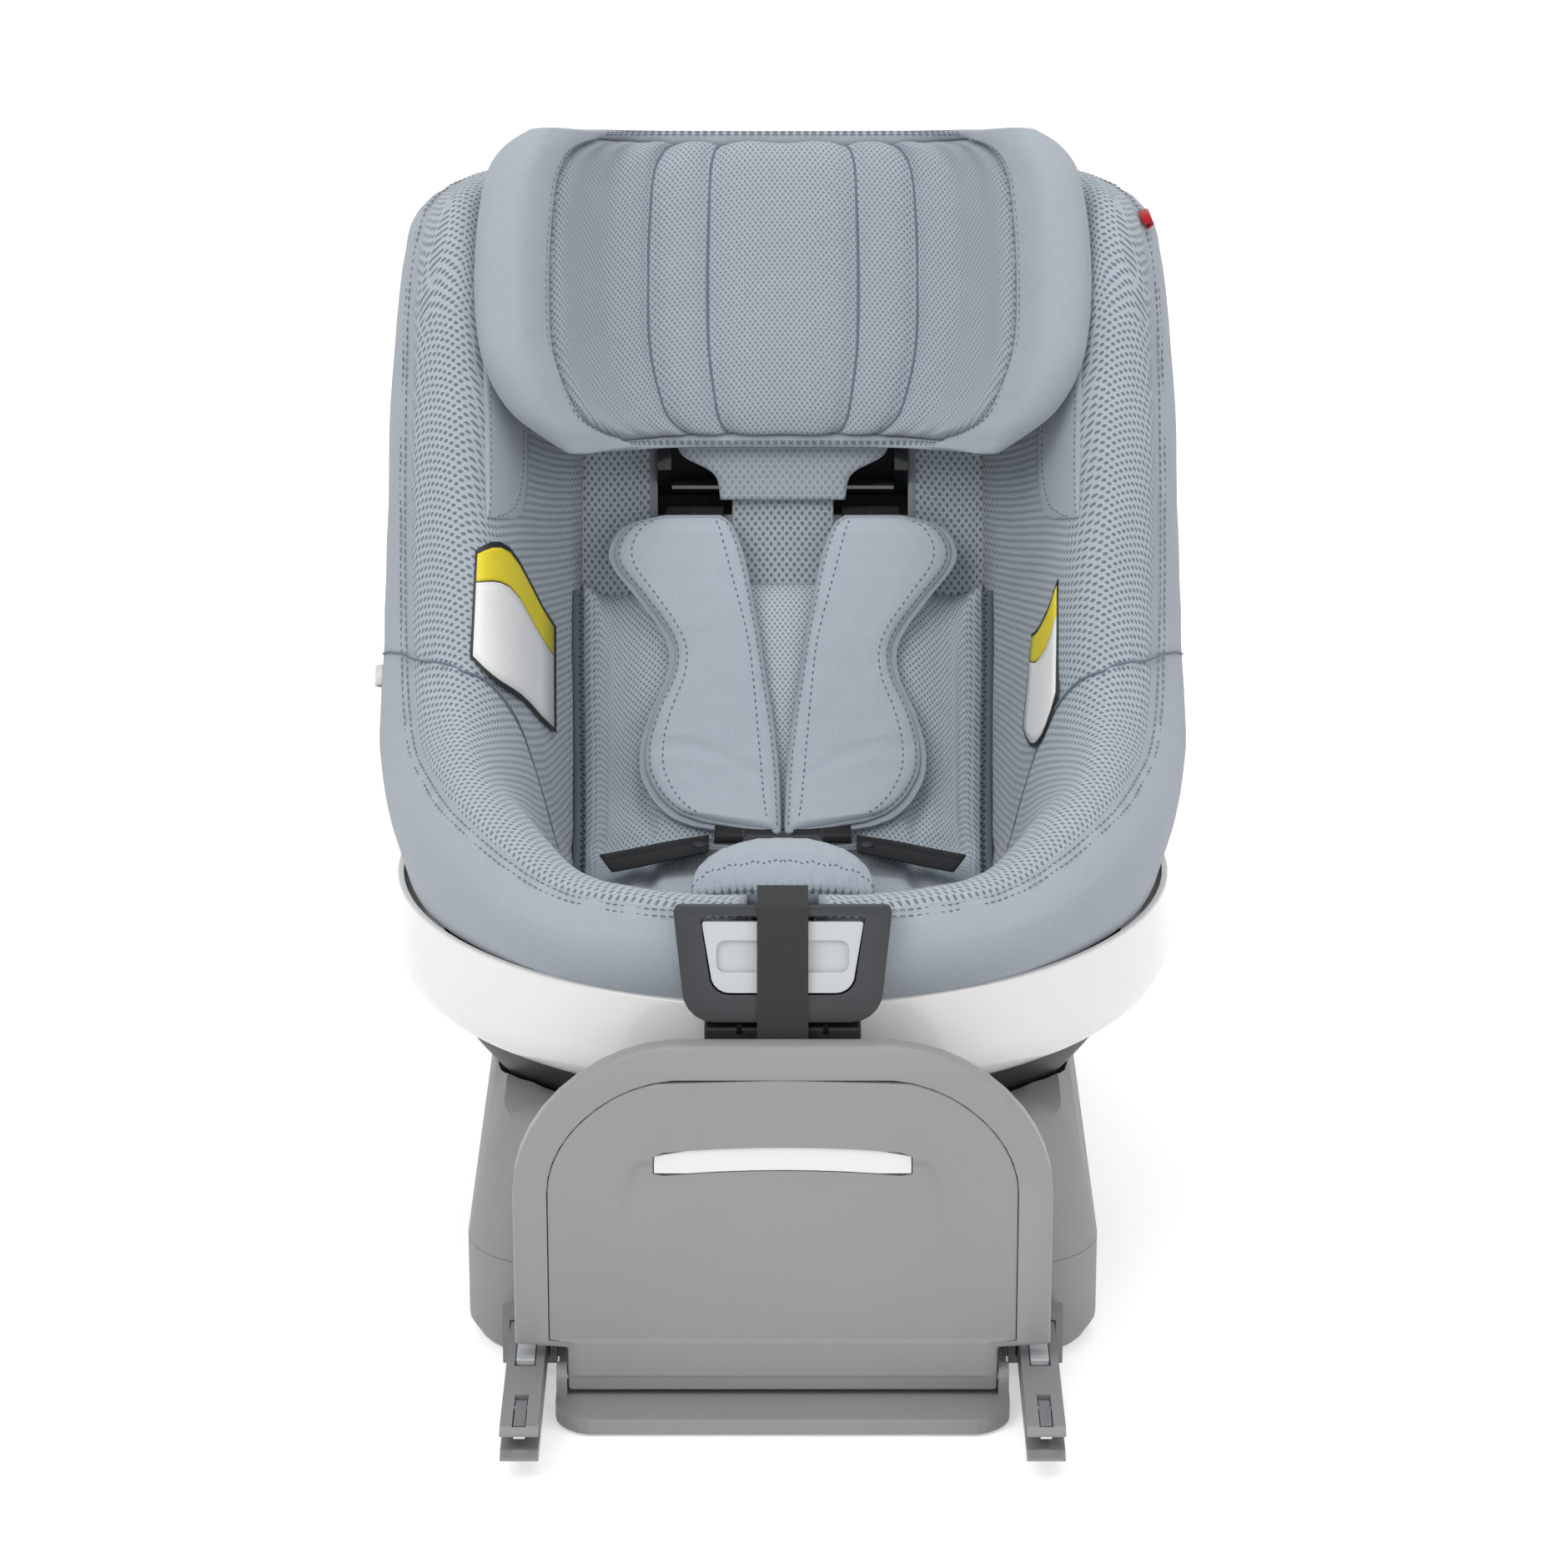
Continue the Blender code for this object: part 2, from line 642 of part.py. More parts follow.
def fine_line(points, first, last, steps):
    """A smooth line through all points, with a ghost point before and after them."""
    line = [first, *points, last]
    out = []
    for i in range(1, len(line) - 2):
        a, b, c, d = line[i - 1:i + 3]
        for step in range(steps):
            t = step / steps
            out.append(b + (c - a) * (t / 2) + (a * 2 - b * 5 + c * 4 - d) * (t * t / 2)
                       + (b * 3 - a - c * 3 + d) * (t * t * t / 2))
    out.append(points[-1].copy())
    return out


def fine_grid(rows, steps, closed_ends=True):
    """A finer grid through a half cage whose last row and end columns lie in the middle plane."""
    wide = []
    for row in rows:
        first = mirrored(row[1]) if closed_ends else row[0] * 2 - row[1]
        last = mirrored(row[-2]) if closed_ends else row[-1] * 2 - row[-2]
        wide.append(fine_line(row, first, last, steps))
    columns = []
    for c in range(len(wide[0])):
        line = [row[c] for row in wide]
        columns.append(fine_line(line, line[0] * 2 - line[1], mirrored(line[-2]), steps))
    return [[column[r] for column in columns] for r in range(len(columns[0]))]


def grid_normals(grid):
    """Vertex normals of a half grid, kept in the middle plane where its points lie in it."""
    sums = [[Vector((0, 0, 0)) for _ in row] for row in grid]
    for r in range(len(grid) - 1):
        for c in range(len(grid[0]) - 1):
            normal = (grid[r + 1][c + 1] - grid[r][c]).cross(grid[r][c + 1] - grid[r + 1][c])
            for i, j in ((r, c), (r, c + 1), (r + 1, c), (r + 1, c + 1)):
                sums[i][j] -= normal
    for row, line in zip(grid, sums):
        for point, normal in zip(row, line):
            if abs(point.x) < MERGE:
                normal.x = 0
            normal.normalize()
    return sums


def layer(name, grid, normals, first, last, top, bottom, kind, trims=(0.0, 0.0), levels=0):
    """A closed layer between two depths below a half grid, mirrored at the middle plane."""
    decks = []
    for depth in (top, bottom):
        deck = [[point - normal * depth for point, normal in zip(grid[r], normals[r])]
                for r in range(first, last + 1)]
        deck[0] = [a + (b - a).normalized() * trims[0] for a, b in zip(deck[0], deck[1])]
        deck[-1] = [a + (b - a).normalized() * trims[1] for a, b in zip(deck[-1], deck[-2])]
        decks.append(deck)
    bm = bmesh.new()
    upper, under = [[[bm.verts.new(point) for point in row] for row in deck] for deck in decks]
    rows = len(upper)
    columns = len(upper[0])
    for r in range(rows - 1):
        for c in range(columns - 1):
            bm.faces.new((upper[r][c], upper[r][c + 1], upper[r + 1][c + 1], upper[r + 1][c]))
            bm.faces.new((under[r][c], under[r + 1][c], under[r + 1][c + 1], under[r][c + 1]))
    for c in range(columns - 1):
        for r in (0, rows - 1):
            if abs(upper[r][c].co.x) > MERGE or abs(upper[r][c + 1].co.x) > MERGE:
                bm.faces.new((upper[r][c], upper[r][c + 1], under[r][c + 1], under[r][c]))
    for r in range(rows - 1):
        for c in (0, columns - 1):
            if abs(upper[r][c].co.x) > MERGE or abs(upper[r + 1][c].co.x) > MERGE:
                bm.faces.new((upper[r][c], upper[r + 1][c], under[r + 1][c], under[r][c]))
    bmesh.ops.recalc_face_normals(bm, faces=bm.faces)
    item = new_object(name, bm, kind)
    mod = item.modifiers.new("mirror", "MIRROR")
    mod.merge_threshold = MERGE
    if levels:
        soft = item.modifiers.new("soft", "SUBSURF")
        soft.levels = levels
        soft.render_levels = levels
    settle(item)
    recalc(item)
    return smooth(item, 60.0)


GRID_STEPS = 2
CORNER_ROW = 5 * GRID_STEPS
LAST_ROW = 7 * GRID_STEPS
REAR_COLUMN = 5
REAR_STOP = 11


def bucket_grid():
    """The padded side of the bucket and its normals."""
    rows = [table_points(table) for table in (HEM_share, BELLY_share, SEAM_share, RIDGE_share,
                                               WALL_share, CORNER_share)]
    middle = table_points(MIDDLE_share)
    rows.append([a.lerp(b, 0.5) for a, b in zip(rows[-1], middle)])
    rows.append(middle)
    grid = fine_grid(rows, GRID_STEPS)
    for row in grid:
        for column in (0, -1):
            row[column].x = 0
    for point in grid[-1]:
        point.x = 0
    return grid, grid_normals(grid)


GRID, NORMALS = bucket_grid()


def nearest_floor(across, along):
    """Height of the padded floor at a place in plan, by triangles of the grid."""
    best = None
    for r in range(CORNER_ROW - GRID_STEPS, LAST_ROW):
        for c in range(len(GRID[0]) - 1):
            quad = (GRID[r][c], GRID[r][c + 1], GRID[r + 1][c + 1], GRID[r + 1][c])
            for tri in ((quad[0], quad[1], quad[2]), (quad[0], quad[2], quad[3])):
                spot = plane_height(tri, across, along)
                if spot is not None and (best is None or spot > best):
                    best = spot
    return best


def plane_height(tri, across, along):
    """Height of a triangle over a place in plan, or None beside it."""
    a, b, c = tri
    area = (b.x - a.x) * (c.y - a.y) - (c.x - a.x) * (b.y - a.y)
    if abs(area) < MERGE * MERGE:
        return None
    u = ((across - a.x) * (c.y - a.y) - (c.x - a.x) * (along - a.y)) / area
    v = ((b.x - a.x) * (along - a.y) - (across - a.x) * (b.y - a.y)) / area
    if u < -MERGE or v < -MERGE or u + v > 1 + MERGE:
        return None
    return a.z + u * (b.z - a.z) + v * (c.z - a.z)


def bucket():
    """Padded rim, liner, the moulded shell beneath them and the rear cover."""
    layer("bolster_cover", GRID, NORMALS, 0, CORNER_ROW, 0.0, BOLSTER_PAD, "knit",
          trims=(0.0, SLIP / 2))
    layer("seat_liner", GRID, NORMALS, CORNER_ROW, LAST_ROW, 0.0, BOLSTER_PAD, "mesh",
          trims=(SLIP / 2, 0.0))
    shell_top = BOLSTER_PAD + SLIP
    layer("seat_shell", GRID, NORMALS, GRID_STEPS, LAST_ROW, shell_top, shell_top + SHELL_WALL,
          "shell", trims=(SLIP, 0.0))
    back_cover()


def back_cover():
    """Moulded rear shell from under the hem, closed below above the ring's sweep."""
    start = REAR_COLUMN * GRID_STEPS
    stop = (REAR_STOP - 1) * GRID_STEPS + 1
    rim = [[GRID[r][c] - NORMALS[r][c] * (BOLSTER_PAD + SLIP + SLIP * 2 * (GRID_STEPS - r))
            for c in range(start, stop)]
           for r in range(GRID_STEPS, -1, -1)]
    beside = []
    for table in (REAR_FLANK_share, REAR_SPINE_share):
        line = table_points(table)
        beside.append(fine_line(line, line[0] * 2 - line[1], line[-1] * 2 - line[-2], GRID_STEPS))
    flank, spine = beside
    columns = []
    for c in range(len(flank)):
        inner = fine_line([rim[-1][c], flank[c], spine[c]], rim[-2][c], mirrored(flank[c]),
                          GRID_STEPS)
        columns.append([row[c] for row in rim[:-1]] + inner)
    grid = [[column[r] for column in columns] for r in range(len(columns[0]))]
    for point in grid[-1]:
        point.x = 0
    layer("back_cover", grid, grid_normals(grid), 0, len(grid) - 1, 0.0, -BACK_WALL, "shell",
          trims=(BACK_TRIM, 0.0))


def base_outline(inset=0.0, steps=7):
    """The base in plan: rounded front corners and a rounder rear."""
    half = BASE_HALF_WIDTH - inset
    front = BASE_FRONT_Y + inset
    rear = BASE_REAR_Y - inset
    return rounded_outline(half, front, rear, (BASE_CORNER, BASE_REAR_CORNER), steps)


def raised(name, sections, kind):
    """A loft through outlines with the same number of points, each at its own height."""
    bm = bmesh.new()
    rings = [[bm.verts.new((x, y, height)) for x, y in outline] for outline, height in sections]
    count = len(rings[0])
    for low, high in zip(rings, rings[1:]):
        for i in range(count):
            j = (i + 1) % count
            bm.faces.new((low[i], low[j], high[j], high[i]))
    bm.faces.new(list(reversed(rings[0])))
    bm.faces.new(rings[-1])
    return recalc(new_object(name, bm, kind))


def arc_down(radius, top, stop_radius, steps):
    """Points of a round wall about the recline axis, from a height down to a radius."""
    start = math.acos((PIVOT_Z - top) / radius)
    stop = math.asin(stop_radius / radius)
    return [(radius * math.sin(start + (stop - start) * i / steps),
             PIVOT_Z - radius * math.cos(start + (stop - start) * i / steps))
            for i in range(steps + 1)]


ARM_ROOM_Z = (ARM_BOTTOM_Z - ARM_SLOT, ARM_TOP_Z + ARM_SLOT)
LEG_ROOM_HALF = FOOT_HALF_WIDTH + LEG_CHANNEL_CLEAR
LEG_FOOT_Y = LEG_PIN_Y - LEG_LENGTH - OVERRUN - GAP - FOOT_DEPTH
CROSS_TOP_Z = TRAY_TOP_Z - ARM_SLOT - TRAY_ROOF
PANEL_PIN_Y = PANEL_INNER_Y - PANEL_THICK / 2
STRIP_Y = BASE_FRONT_Y + BASE_CORNER
TRAY_FLOOR_Z = STRIP_THICK - STRIP_SINK


def base_tray():
    """Lower moulding with two arm tunnels, the cross bar's room and the leg's channel."""
    tray = raised("base_tray", [(base_outline(COVER_INSET / 2), TRAY_FLOOR_Z),
                                (base_outline(), TRAY_FLOOR_Z + COVER_INSET),
                                (base_outline(), TRAY_TOP_Z)], "base")
    cutters = []
    rear = ARM_REAR_Y + ARM_TRAVEL_IN + ARM_SLOT
    for side in (-1, 1):
        half = ARM_WIDTH / 2 + ARM_SLOT
        cutters.append(block("arm_room", (side * ARM_X - half, BASE_FRONT_Y - OVERRUN, ARM_ROOM_Z[0]),
                             (side * ARM_X + half, rear, ARM_ROOM_Z[1]), "base"))
    reach = ARM_X + ARM_WIDTH / 2 + ARM_SLOT
    bar_front = ARM_REAR_Y - CROSS_DEPTH - ARM_TRAVEL_OUT - ARM_SLOT
    cutters.append(block("bar_room", (-reach, bar_front, ARM_TOP_Z),
                         (reach, rear, CROSS_TOP_Z + ARM_SLOT), "base"))
    channel_front = LEG_FOOT_Y - LEG_EXTEND - LEG_CHANNEL_CLEAR
    cutters.append(block("leg_room", (-LEG_ROOM_HALF, channel_front, TRAY_FLOOR_Z - OVERRUN),
                         (LEG_ROOM_HALF, BASE_REAR_Y + OVERRUN, LEG_TOP_Z), "base"))
    for side in (-1, 1):
        low = (side * STRIP_X - STRIP_WIDTH / 2 - GAP, STRIP_Y - GAP, TRAY_FLOOR_Z - OVERRUN)
        high = (side * STRIP_X + STRIP_WIDTH / 2 + GAP, STRIP_Y + STRIP_LENGTH + GAP,
                STRIP_THICK + GAP)
        cutters.append(block("strip_room", low, high, "base"))
    cut(tray, *cutters)
    cheeks = []
    for side in (-1, 1):
        cheeks.append(cylinder("cheek", (side * (LEG_ROOM_HALF + OVERRUN), LEG_PIN_Y, LEG_PIN_Z),
                               (side * (LEG_ROOM_HALF - OVERRUN), LEG_PIN_Y, LEG_PIN_Z),
                               LEG_BOSS_RADIUS, "base"))
    join(tray, *cheeks)
    bore = cylinder("leg_bore", (-LEG_ROOM_HALF - LEG_PIN_SEAT, LEG_PIN_Y, LEG_PIN_Z),
                    (LEG_ROOM_HALF + LEG_PIN_SEAT, LEG_PIN_Y, LEG_PIN_Z), PIN_RADIUS + GAP, "base")
    cut(tray, bore)
    cylinder("leg_pin", (-LEG_ROOM_HALF - LEG_PIN_SEAT + GAP, LEG_PIN_Y, LEG_PIN_Z),
             (LEG_ROOM_HALF + LEG_PIN_SEAT - GAP, LEG_PIN_Y, LEG_PIN_Z), PIN_RADIUS, "steel")
    return tray


def base_lip():
    """Apron in front of the base between the arms, with the ears of the panel's hinge."""
    front = rounded_outline(LIP_HALF_WIDTH, LIP_REACH_Y, BASE_FRONT_Y - GAP, (LIP_CORNER, GAP), 5)
    bowed = [(x, y + LIP_BOW * (x / LIP_HALF_WIDTH) ** 2 if y < BASE_FRONT_Y - LIP_CORNER else y)
             for x, y in front]
    lip = raised("base_lip", [(bowed, TRAY_FLOOR_Z), (bowed, TRAY_FLOOR_Z + LIP_THICK)], "base")
    ears = []
    for side in (-1, 1):
        outer = side * (LIP_HALF_WIDTH - GAP)
        inner = side * (LIP_HALF_WIDTH - EAR_WIDTH)
        ears.append(cylinder("ear", (inner, PANEL_PIN_Y, PANEL_PIN_Z),
                             (outer, PANEL_PIN_Y, PANEL_PIN_Z), EAR_RADIUS, "base", 20))
        low = (min(inner, outer), PANEL_PIN_Y - EAR_RADIUS, TRAY_FLOOR_Z + LIP_THICK / 2)
        high = (max(inner, outer), PANEL_PIN_Y + EAR_RADIUS, PANEL_PIN_Z)
        ears.append(block("ear_foot", low, high, "base"))
    join(lip, *ears)
    bore = cylinder("rod_bore", (-LIP_HALF_WIDTH - OVERRUN, PANEL_PIN_Y, PANEL_PIN_Z),
                    (LIP_HALF_WIDTH + OVERRUN, PANEL_PIN_Y, PANEL_PIN_Z), PIN_RADIUS + GAP, "base")
    cut(lip, bore)
    cylinder("panel_hinge_rod", (-LIP_HALF_WIDTH + GAP, PANEL_PIN_Y, PANEL_PIN_Z),
             (LIP_HALF_WIDTH - GAP, PANEL_PIN_Y, PANEL_PIN_Z), PIN_RADIUS, "steel")


def base_cover():
    """Upper moulding with the round dish under the bowl."""
    foot = TRAY_TOP_Z + GAP
    knee = COVER_TOP_Z - COVER_CROWN
    cover = raised("base_cover", [(base_outline(), foot), (base_outline(COVER_INSET), knee),
                                  (base_outline(COVER_INSET * 2), COVER_TOP_Z - COVER_CROWN / 4),
                                  (base_outline(COVER_INSET * 3.5), COVER_TOP_Z)], "base")
    edge = DISC_RADIUS + DISH_CLEAR
    radius = BOWL_RADIUS + DISH_CLEAR
    profile = [(0, COVER_TOP_Z + OVERRUN)]
    profile += arc_down(radius, COVER_TOP_Z + OVERRUN, edge, 6)
    profile += [(edge, WELL_FLOOR_Z), (0, WELL_FLOOR_Z)]
    cut(cover, disc("dish", profile, "base", 48))
    return smooth(cover, 25.0)


def bearing_ring():
    """The ring in the base's well that the disc turns on, with a stub pivot in its middle."""
    low = WELL_FLOOR_Z + GAP
    high = BOWL_BOTTOM_Z - DISC_THICK - GAP
    outer = DISC_RADIUS - BEARING_WALL / 2
    inner = outer - BEARING_WALL
    turned("bearing_ring", [(outer, low), (outer, high), (inner, high), (inner, low)], "steel", 48)


def guides_and_strips():
    """Mouths of the arm tunnels and the two rubber strips under the tray."""
    for side, name in ((-1, "left"), (1, "right")):
        half = ARM_WIDTH / 2 + ARM_SLOT
        outer = half + GUIDE_WALL
        x = side * ARM_X
        front = BASE_FRONT_Y - GUIDE_DEPTH
        guide = block("arm_guide_" + name, (x - outer, front, ARM_ROOM_Z[0] - GUIDE_WALL),
                      (x + outer, BASE_FRONT_Y - GAP, ARM_ROOM_Z[1] + GUIDE_WALL), "base")
        mouth = block("mouth", (x - half, front - OVERRUN, ARM_ROOM_Z[0]),
                      (x + half, BASE_FRONT_Y + OVERRUN, ARM_ROOM_Z[1]), "base")
        cut(guide, mouth)
        strip = block("rubber_strip_" + name, (side * STRIP_X - STRIP_WIDTH / 2, STRIP_Y, 0),
                      (side * STRIP_X + STRIP_WIDTH / 2, STRIP_Y + STRIP_LENGTH, STRIP_THICK),
                      "rubber")
        settle(strip)


def isofix_frame():
    """Cross bar behind the leg's channel that carries both arms."""
    rear = ARM_REAR_Y
    bar = block("isofix_frame", (-ARM_X + ARM_WIDTH / 2, rear - CROSS_DEPTH, CROSS_TOP_Z - CROSS_HEIGHT),
                (ARM_X - ARM_WIDTH / 2, rear, CROSS_TOP_Z), "steel")
    ends = []
    for side in (-1, 1):
        ends.append(block("cross_end", (side * ARM_X - ARM_WIDTH / 2, rear - CROSS_DEPTH,
                                        ARM_TOP_Z + GAP),
                          (side * ARM_X + ARM_WIDTH / 2, rear, CROSS_TOP_Z), "steel"))
        ends.append(block("cross_web", (side * ARM_X - ARM_WIDTH / 2 - (OVERRUN if side > 0 else 0),
                                        rear - CROSS_DEPTH, CROSS_TOP_Z - CROSS_HEIGHT),
                          (side * ARM_X + ARM_WIDTH / 2 + (OVERRUN if side < 0 else 0), rear,
                           CROSS_TOP_Z), "steel"))
    return join(bar, *ends)


def jaw_outline():
    """Side view of an arm with its open jaw, along Y and up."""
    middle = (ARM_TOP_Z + ARM_BOTTOM_Z) / 2
    tip = ARM_TIP_Y
    back = tip + JAW_DEPTH
    half = JAW_MOUTH / 2
    flare = JAW_FLARE / 2
    lip = ARM_WIDTH / 4
    points = [(ARM_REAR_Y, ARM_BOTTOM_Z), (ARM_REAR_Y, ARM_TOP_Z), (tip + lip, ARM_TOP_Z),
              (tip, ARM_TOP_Z - JAW_LIP_DROP), (tip, middle + flare), (tip + lip, middle + half)]
    for step in range(7):
        angle = math.radians(90 - 30 * step)
        points.append((back - half + half * math.cos(angle), middle + half * math.sin(angle)))
    points += [(tip + lip, middle - half), (tip, middle - flare), (tip, ARM_BOTTOM_Z + JAW_LIP_DROP),
               (tip + lip, ARM_BOTTOM_Z)]
    return points


def connectors():
    """The two arms, each with a slot for its hook and a window for its release."""
    middle = (ARM_TOP_Z + ARM_BOTTOM_Z) / 2
    for side, name in ((-1, "left"), (1, "right")):
        arm = plate("connector_" + name, jaw_outline(), ARM_WIDTH, "base",
                    Matrix.Translation((side * ARM_X, 0, 0)) @ SIDEWAYS)
        room = HOOK_WIDTH / 2 + SLIP
        slot = block("hook_room", (side * ARM_X - room, ARM_TIP_Y + JAW_LIP_DROP * 2, middle),
                     (side * ARM_X + room, ARM_TIP_Y + HOOK_ROOM, ARM_TOP_Z + OVERRUN), "base")
        half = RELEASE_WIDTH / 2 + SLIP
        window = block("release_room", (side * ARM_X - half, RELEASE_Y - RELEASE_TRAVEL - SLIP,
                                        ARM_TOP_Z + RELEASE_PROUD - RELEASE_HEIGHT - GAP),
                       (side * ARM_X + half, RELEASE_Y + RELEASE_LENGTH + SLIP,
                        ARM_TOP_Z + OVERRUN), "base")
        pivot_y = ARM_TIP_Y + HOOK_BACK
        pivot_z = ARM_TOP_Z - HOOK_PIN_DROP
        bore = cylinder("hook_bore", (side * ARM_X - HOOK_PIN_HALF - GAP, pivot_y, pivot_z),
                        (side * ARM_X + HOOK_PIN_HALF + GAP, pivot_y, pivot_z), HOOK_PIN + GAP,
                        "base", 16)
        cut(arm, slot, window, bore)
        hook(side, name, pivot_y, pivot_z)
        release = block("release_" + name, (side * ARM_X - half + SLIP, RELEASE_Y,
                                            ARM_TOP_Z + RELEASE_PROUD - RELEASE_HEIGHT),
                        (side * ARM_X + half - SLIP, RELEASE_Y + RELEASE_LENGTH,
                         ARM_TOP_Z + RELEASE_PROUD), "handle")
        bevel(release, RELEASE_PROUD, 1)


def hook(side, name, pivot_y, pivot_z):
    """A latch hook that drops into the jaw behind the anchor bar."""
    middle = (ARM_TOP_Z + ARM_BOTTOM_Z) / 2
    nose = ARM_TIP_Y + JAW_LIP_DROP * 3
    top = ARM_TOP_Z - HOOK_TOP_DROP
    outline = [(pivot_y + HOOK_PIN * 2, pivot_z - HOOK_PIN * 1.4), (pivot_y + HOOK_PIN * 2, top),
               (nose + JAW_LIP_DROP, top), (nose, middle + JAW_MOUTH / 4),
               (nose + JAW_LIP_DROP * 1.5, middle + JAW_MOUTH / 4),
               (nose + JAW_LIP_DROP * 1.8, middle + JAW_MOUTH / 2 + SLIP),
               (pivot_y - HOOK_PIN * 2, middle + JAW_MOUTH / 2 + SLIP)]
    claw = plate("hook_" + name, outline, HOOK_WIDTH, "steel",
                 Matrix.Translation((side * ARM_X, 0, 0)) @ SIDEWAYS)
    pin = cylinder("hook_pin", (side * ARM_X - HOOK_PIN_HALF, pivot_y, pivot_z),
                   (side * ARM_X + HOOK_PIN_HALF, pivot_y, pivot_z), HOOK_PIN, "steel", 16)
    join(claw, pin)


def panel_outline(inset=0.0):
    """The arched panel in front view: neck between the ears, shoulders over the arms."""
    half = PANEL_HALF_WIDTH - inset
    top = PANEL_TOP_Z - inset
    radius = PANEL_CORNER - inset
    neck = LIP_HALF_WIDTH - EAR_WIDTH - SLIP - inset
    points = [(neck, PANEL_PIN_Z - PANEL_FOOT_DROP + inset), (neck, PANEL_FOOT_Z + inset),
              (half, PANEL_FOOT_Z + PANEL_EDGE / 2 + inset)]
    steps = 10
    for step in range(steps + 1):
        angle = math.radians(90 * step / steps)
        across = half - radius + radius * math.cos(angle)
        lift = PANEL_ARCH * (across / half) ** 2
        points.append((across, top - radius - PANEL_ARCH + radius * math.sin(angle)
                       + PANEL_ARCH - lift * math.sin(angle)))
    return points + [(-x, z) for x, z in reversed(points)]


def rebound_panel():
    """Frame with a pocket, set-in plate with the hand recess, and the release bar."""
    middle = PANEL_INNER_Y - PANEL_THICK / 2
    front = PANEL_INNER_Y - PANEL_THICK
    frame = plate("panel_frame", panel_outline(), PANEL_THICK, "panel",
                  Matrix.Translation((0, middle, 0)) @ UPRIGHT)
    bevel(frame, PANEL_EDGE, 2, 50.0)
    settle(frame)
    recalc(frame)
    pocket = plate("pocket", inset_outline(0.0), INSET_DEPTH * 2, "panel",
                   Matrix.Translation((0, front, 0)) @ UPRIGHT)
    slot = plate("slot", grip_outline(GRIP_SHY), PANEL_THICK * 2, "panel",
                 Matrix.Translation((0, middle, 0)) @ UPRIGHT)
    bore = cylinder("rod_bore", (-PANEL_HALF_WIDTH, PANEL_PIN_Y, PANEL_PIN_Z),
                    (PANEL_HALF_WIDTH, PANEL_PIN_Y, PANEL_PIN_Z), PIN_RADIUS + GAP, "panel")
    cut(frame, pocket, slot, bore)
    smooth(frame, 30.0)
    inset = plate("panel_inset", inset_outline(SLIP), INSET_DEPTH - GAP, "panel",
                  Matrix.Translation((0, front + (INSET_DEPTH - GAP) / 2, 0)) @ UPRIGHT)
    window = plate("window", grip_outline(GRIP_SHY), PANEL_THICK * 2, "panel",
                   Matrix.Translation((0, middle, 0)) @ UPRIGHT)
    recess = plate("recess", recess_outline(), RECESS_DEPTH * 2, "panel",
                   Matrix.Translation((0, front, 0)) @ UPRIGHT)
    cut(inset, window, recess)
    grip = plate("panel_grip", grip_outline(0.0), GRIP_THICK, "white",
                 Matrix.Translation((0, front + GRIP_THICK / 2 + RECESS_DEPTH, 0)) @ UPRIGHT)
    bevel(grip, RECESS_DEPTH / 2, 2, 50.0)


def inset_outline(shrink):
    """The set-in plate: the panel's outline drawn in, cut straight above the hinge."""
    inset = INSET_MARGIN + shrink
    half = PANEL_HALF_WIDTH - inset
    points = [(x, z) for x, z in panel_outline(inset) if z > PANEL_FOOT_Z + inset + SLIP]
    low = PANEL_FOOT_Z + INSET_DROP + shrink
    return [(half, low), *points, (-half, low)]


def grip_outline(grow):
    """The slightly arched bar in front view."""
    half = SLOT_HALF_WIDTH + grow
    tall = SLOT_HEIGHT / 2 + grow
    steps = 8
    top = []
    low = []
    for step in range(steps + 1):
        across = half - 2 * half * step / steps
        bow = GRIP_BOW * (1 - (across / half) ** 2)
        pinch = tall * (GRIP_END_share if step in (0, steps) else 1.0)
        top.append((across, SLOT_Z + bow + pinch))
        low.append((across, SLOT_Z + bow - pinch))
    return top + list(reversed(low))


def recess_outline():
    """Hand recess under the bar, wider below."""
    top = SLOT_Z + SLOT_HEIGHT * 0.5
    low = top - RECESS_HEIGHT
    wide = RECESS_HALF_WIDTH
    narrow = SLOT_HALF_WIDTH + GRIP_THICK
    corner = GRIP_THICK / 2
    return [(wide, low), (wide, top - corner * 4), (narrow + corner, top - corner), (narrow, top),
            (-narrow, top), (-narrow - corner, top - corner), (-wide, top - corner * 4),
            (-wide, low)]


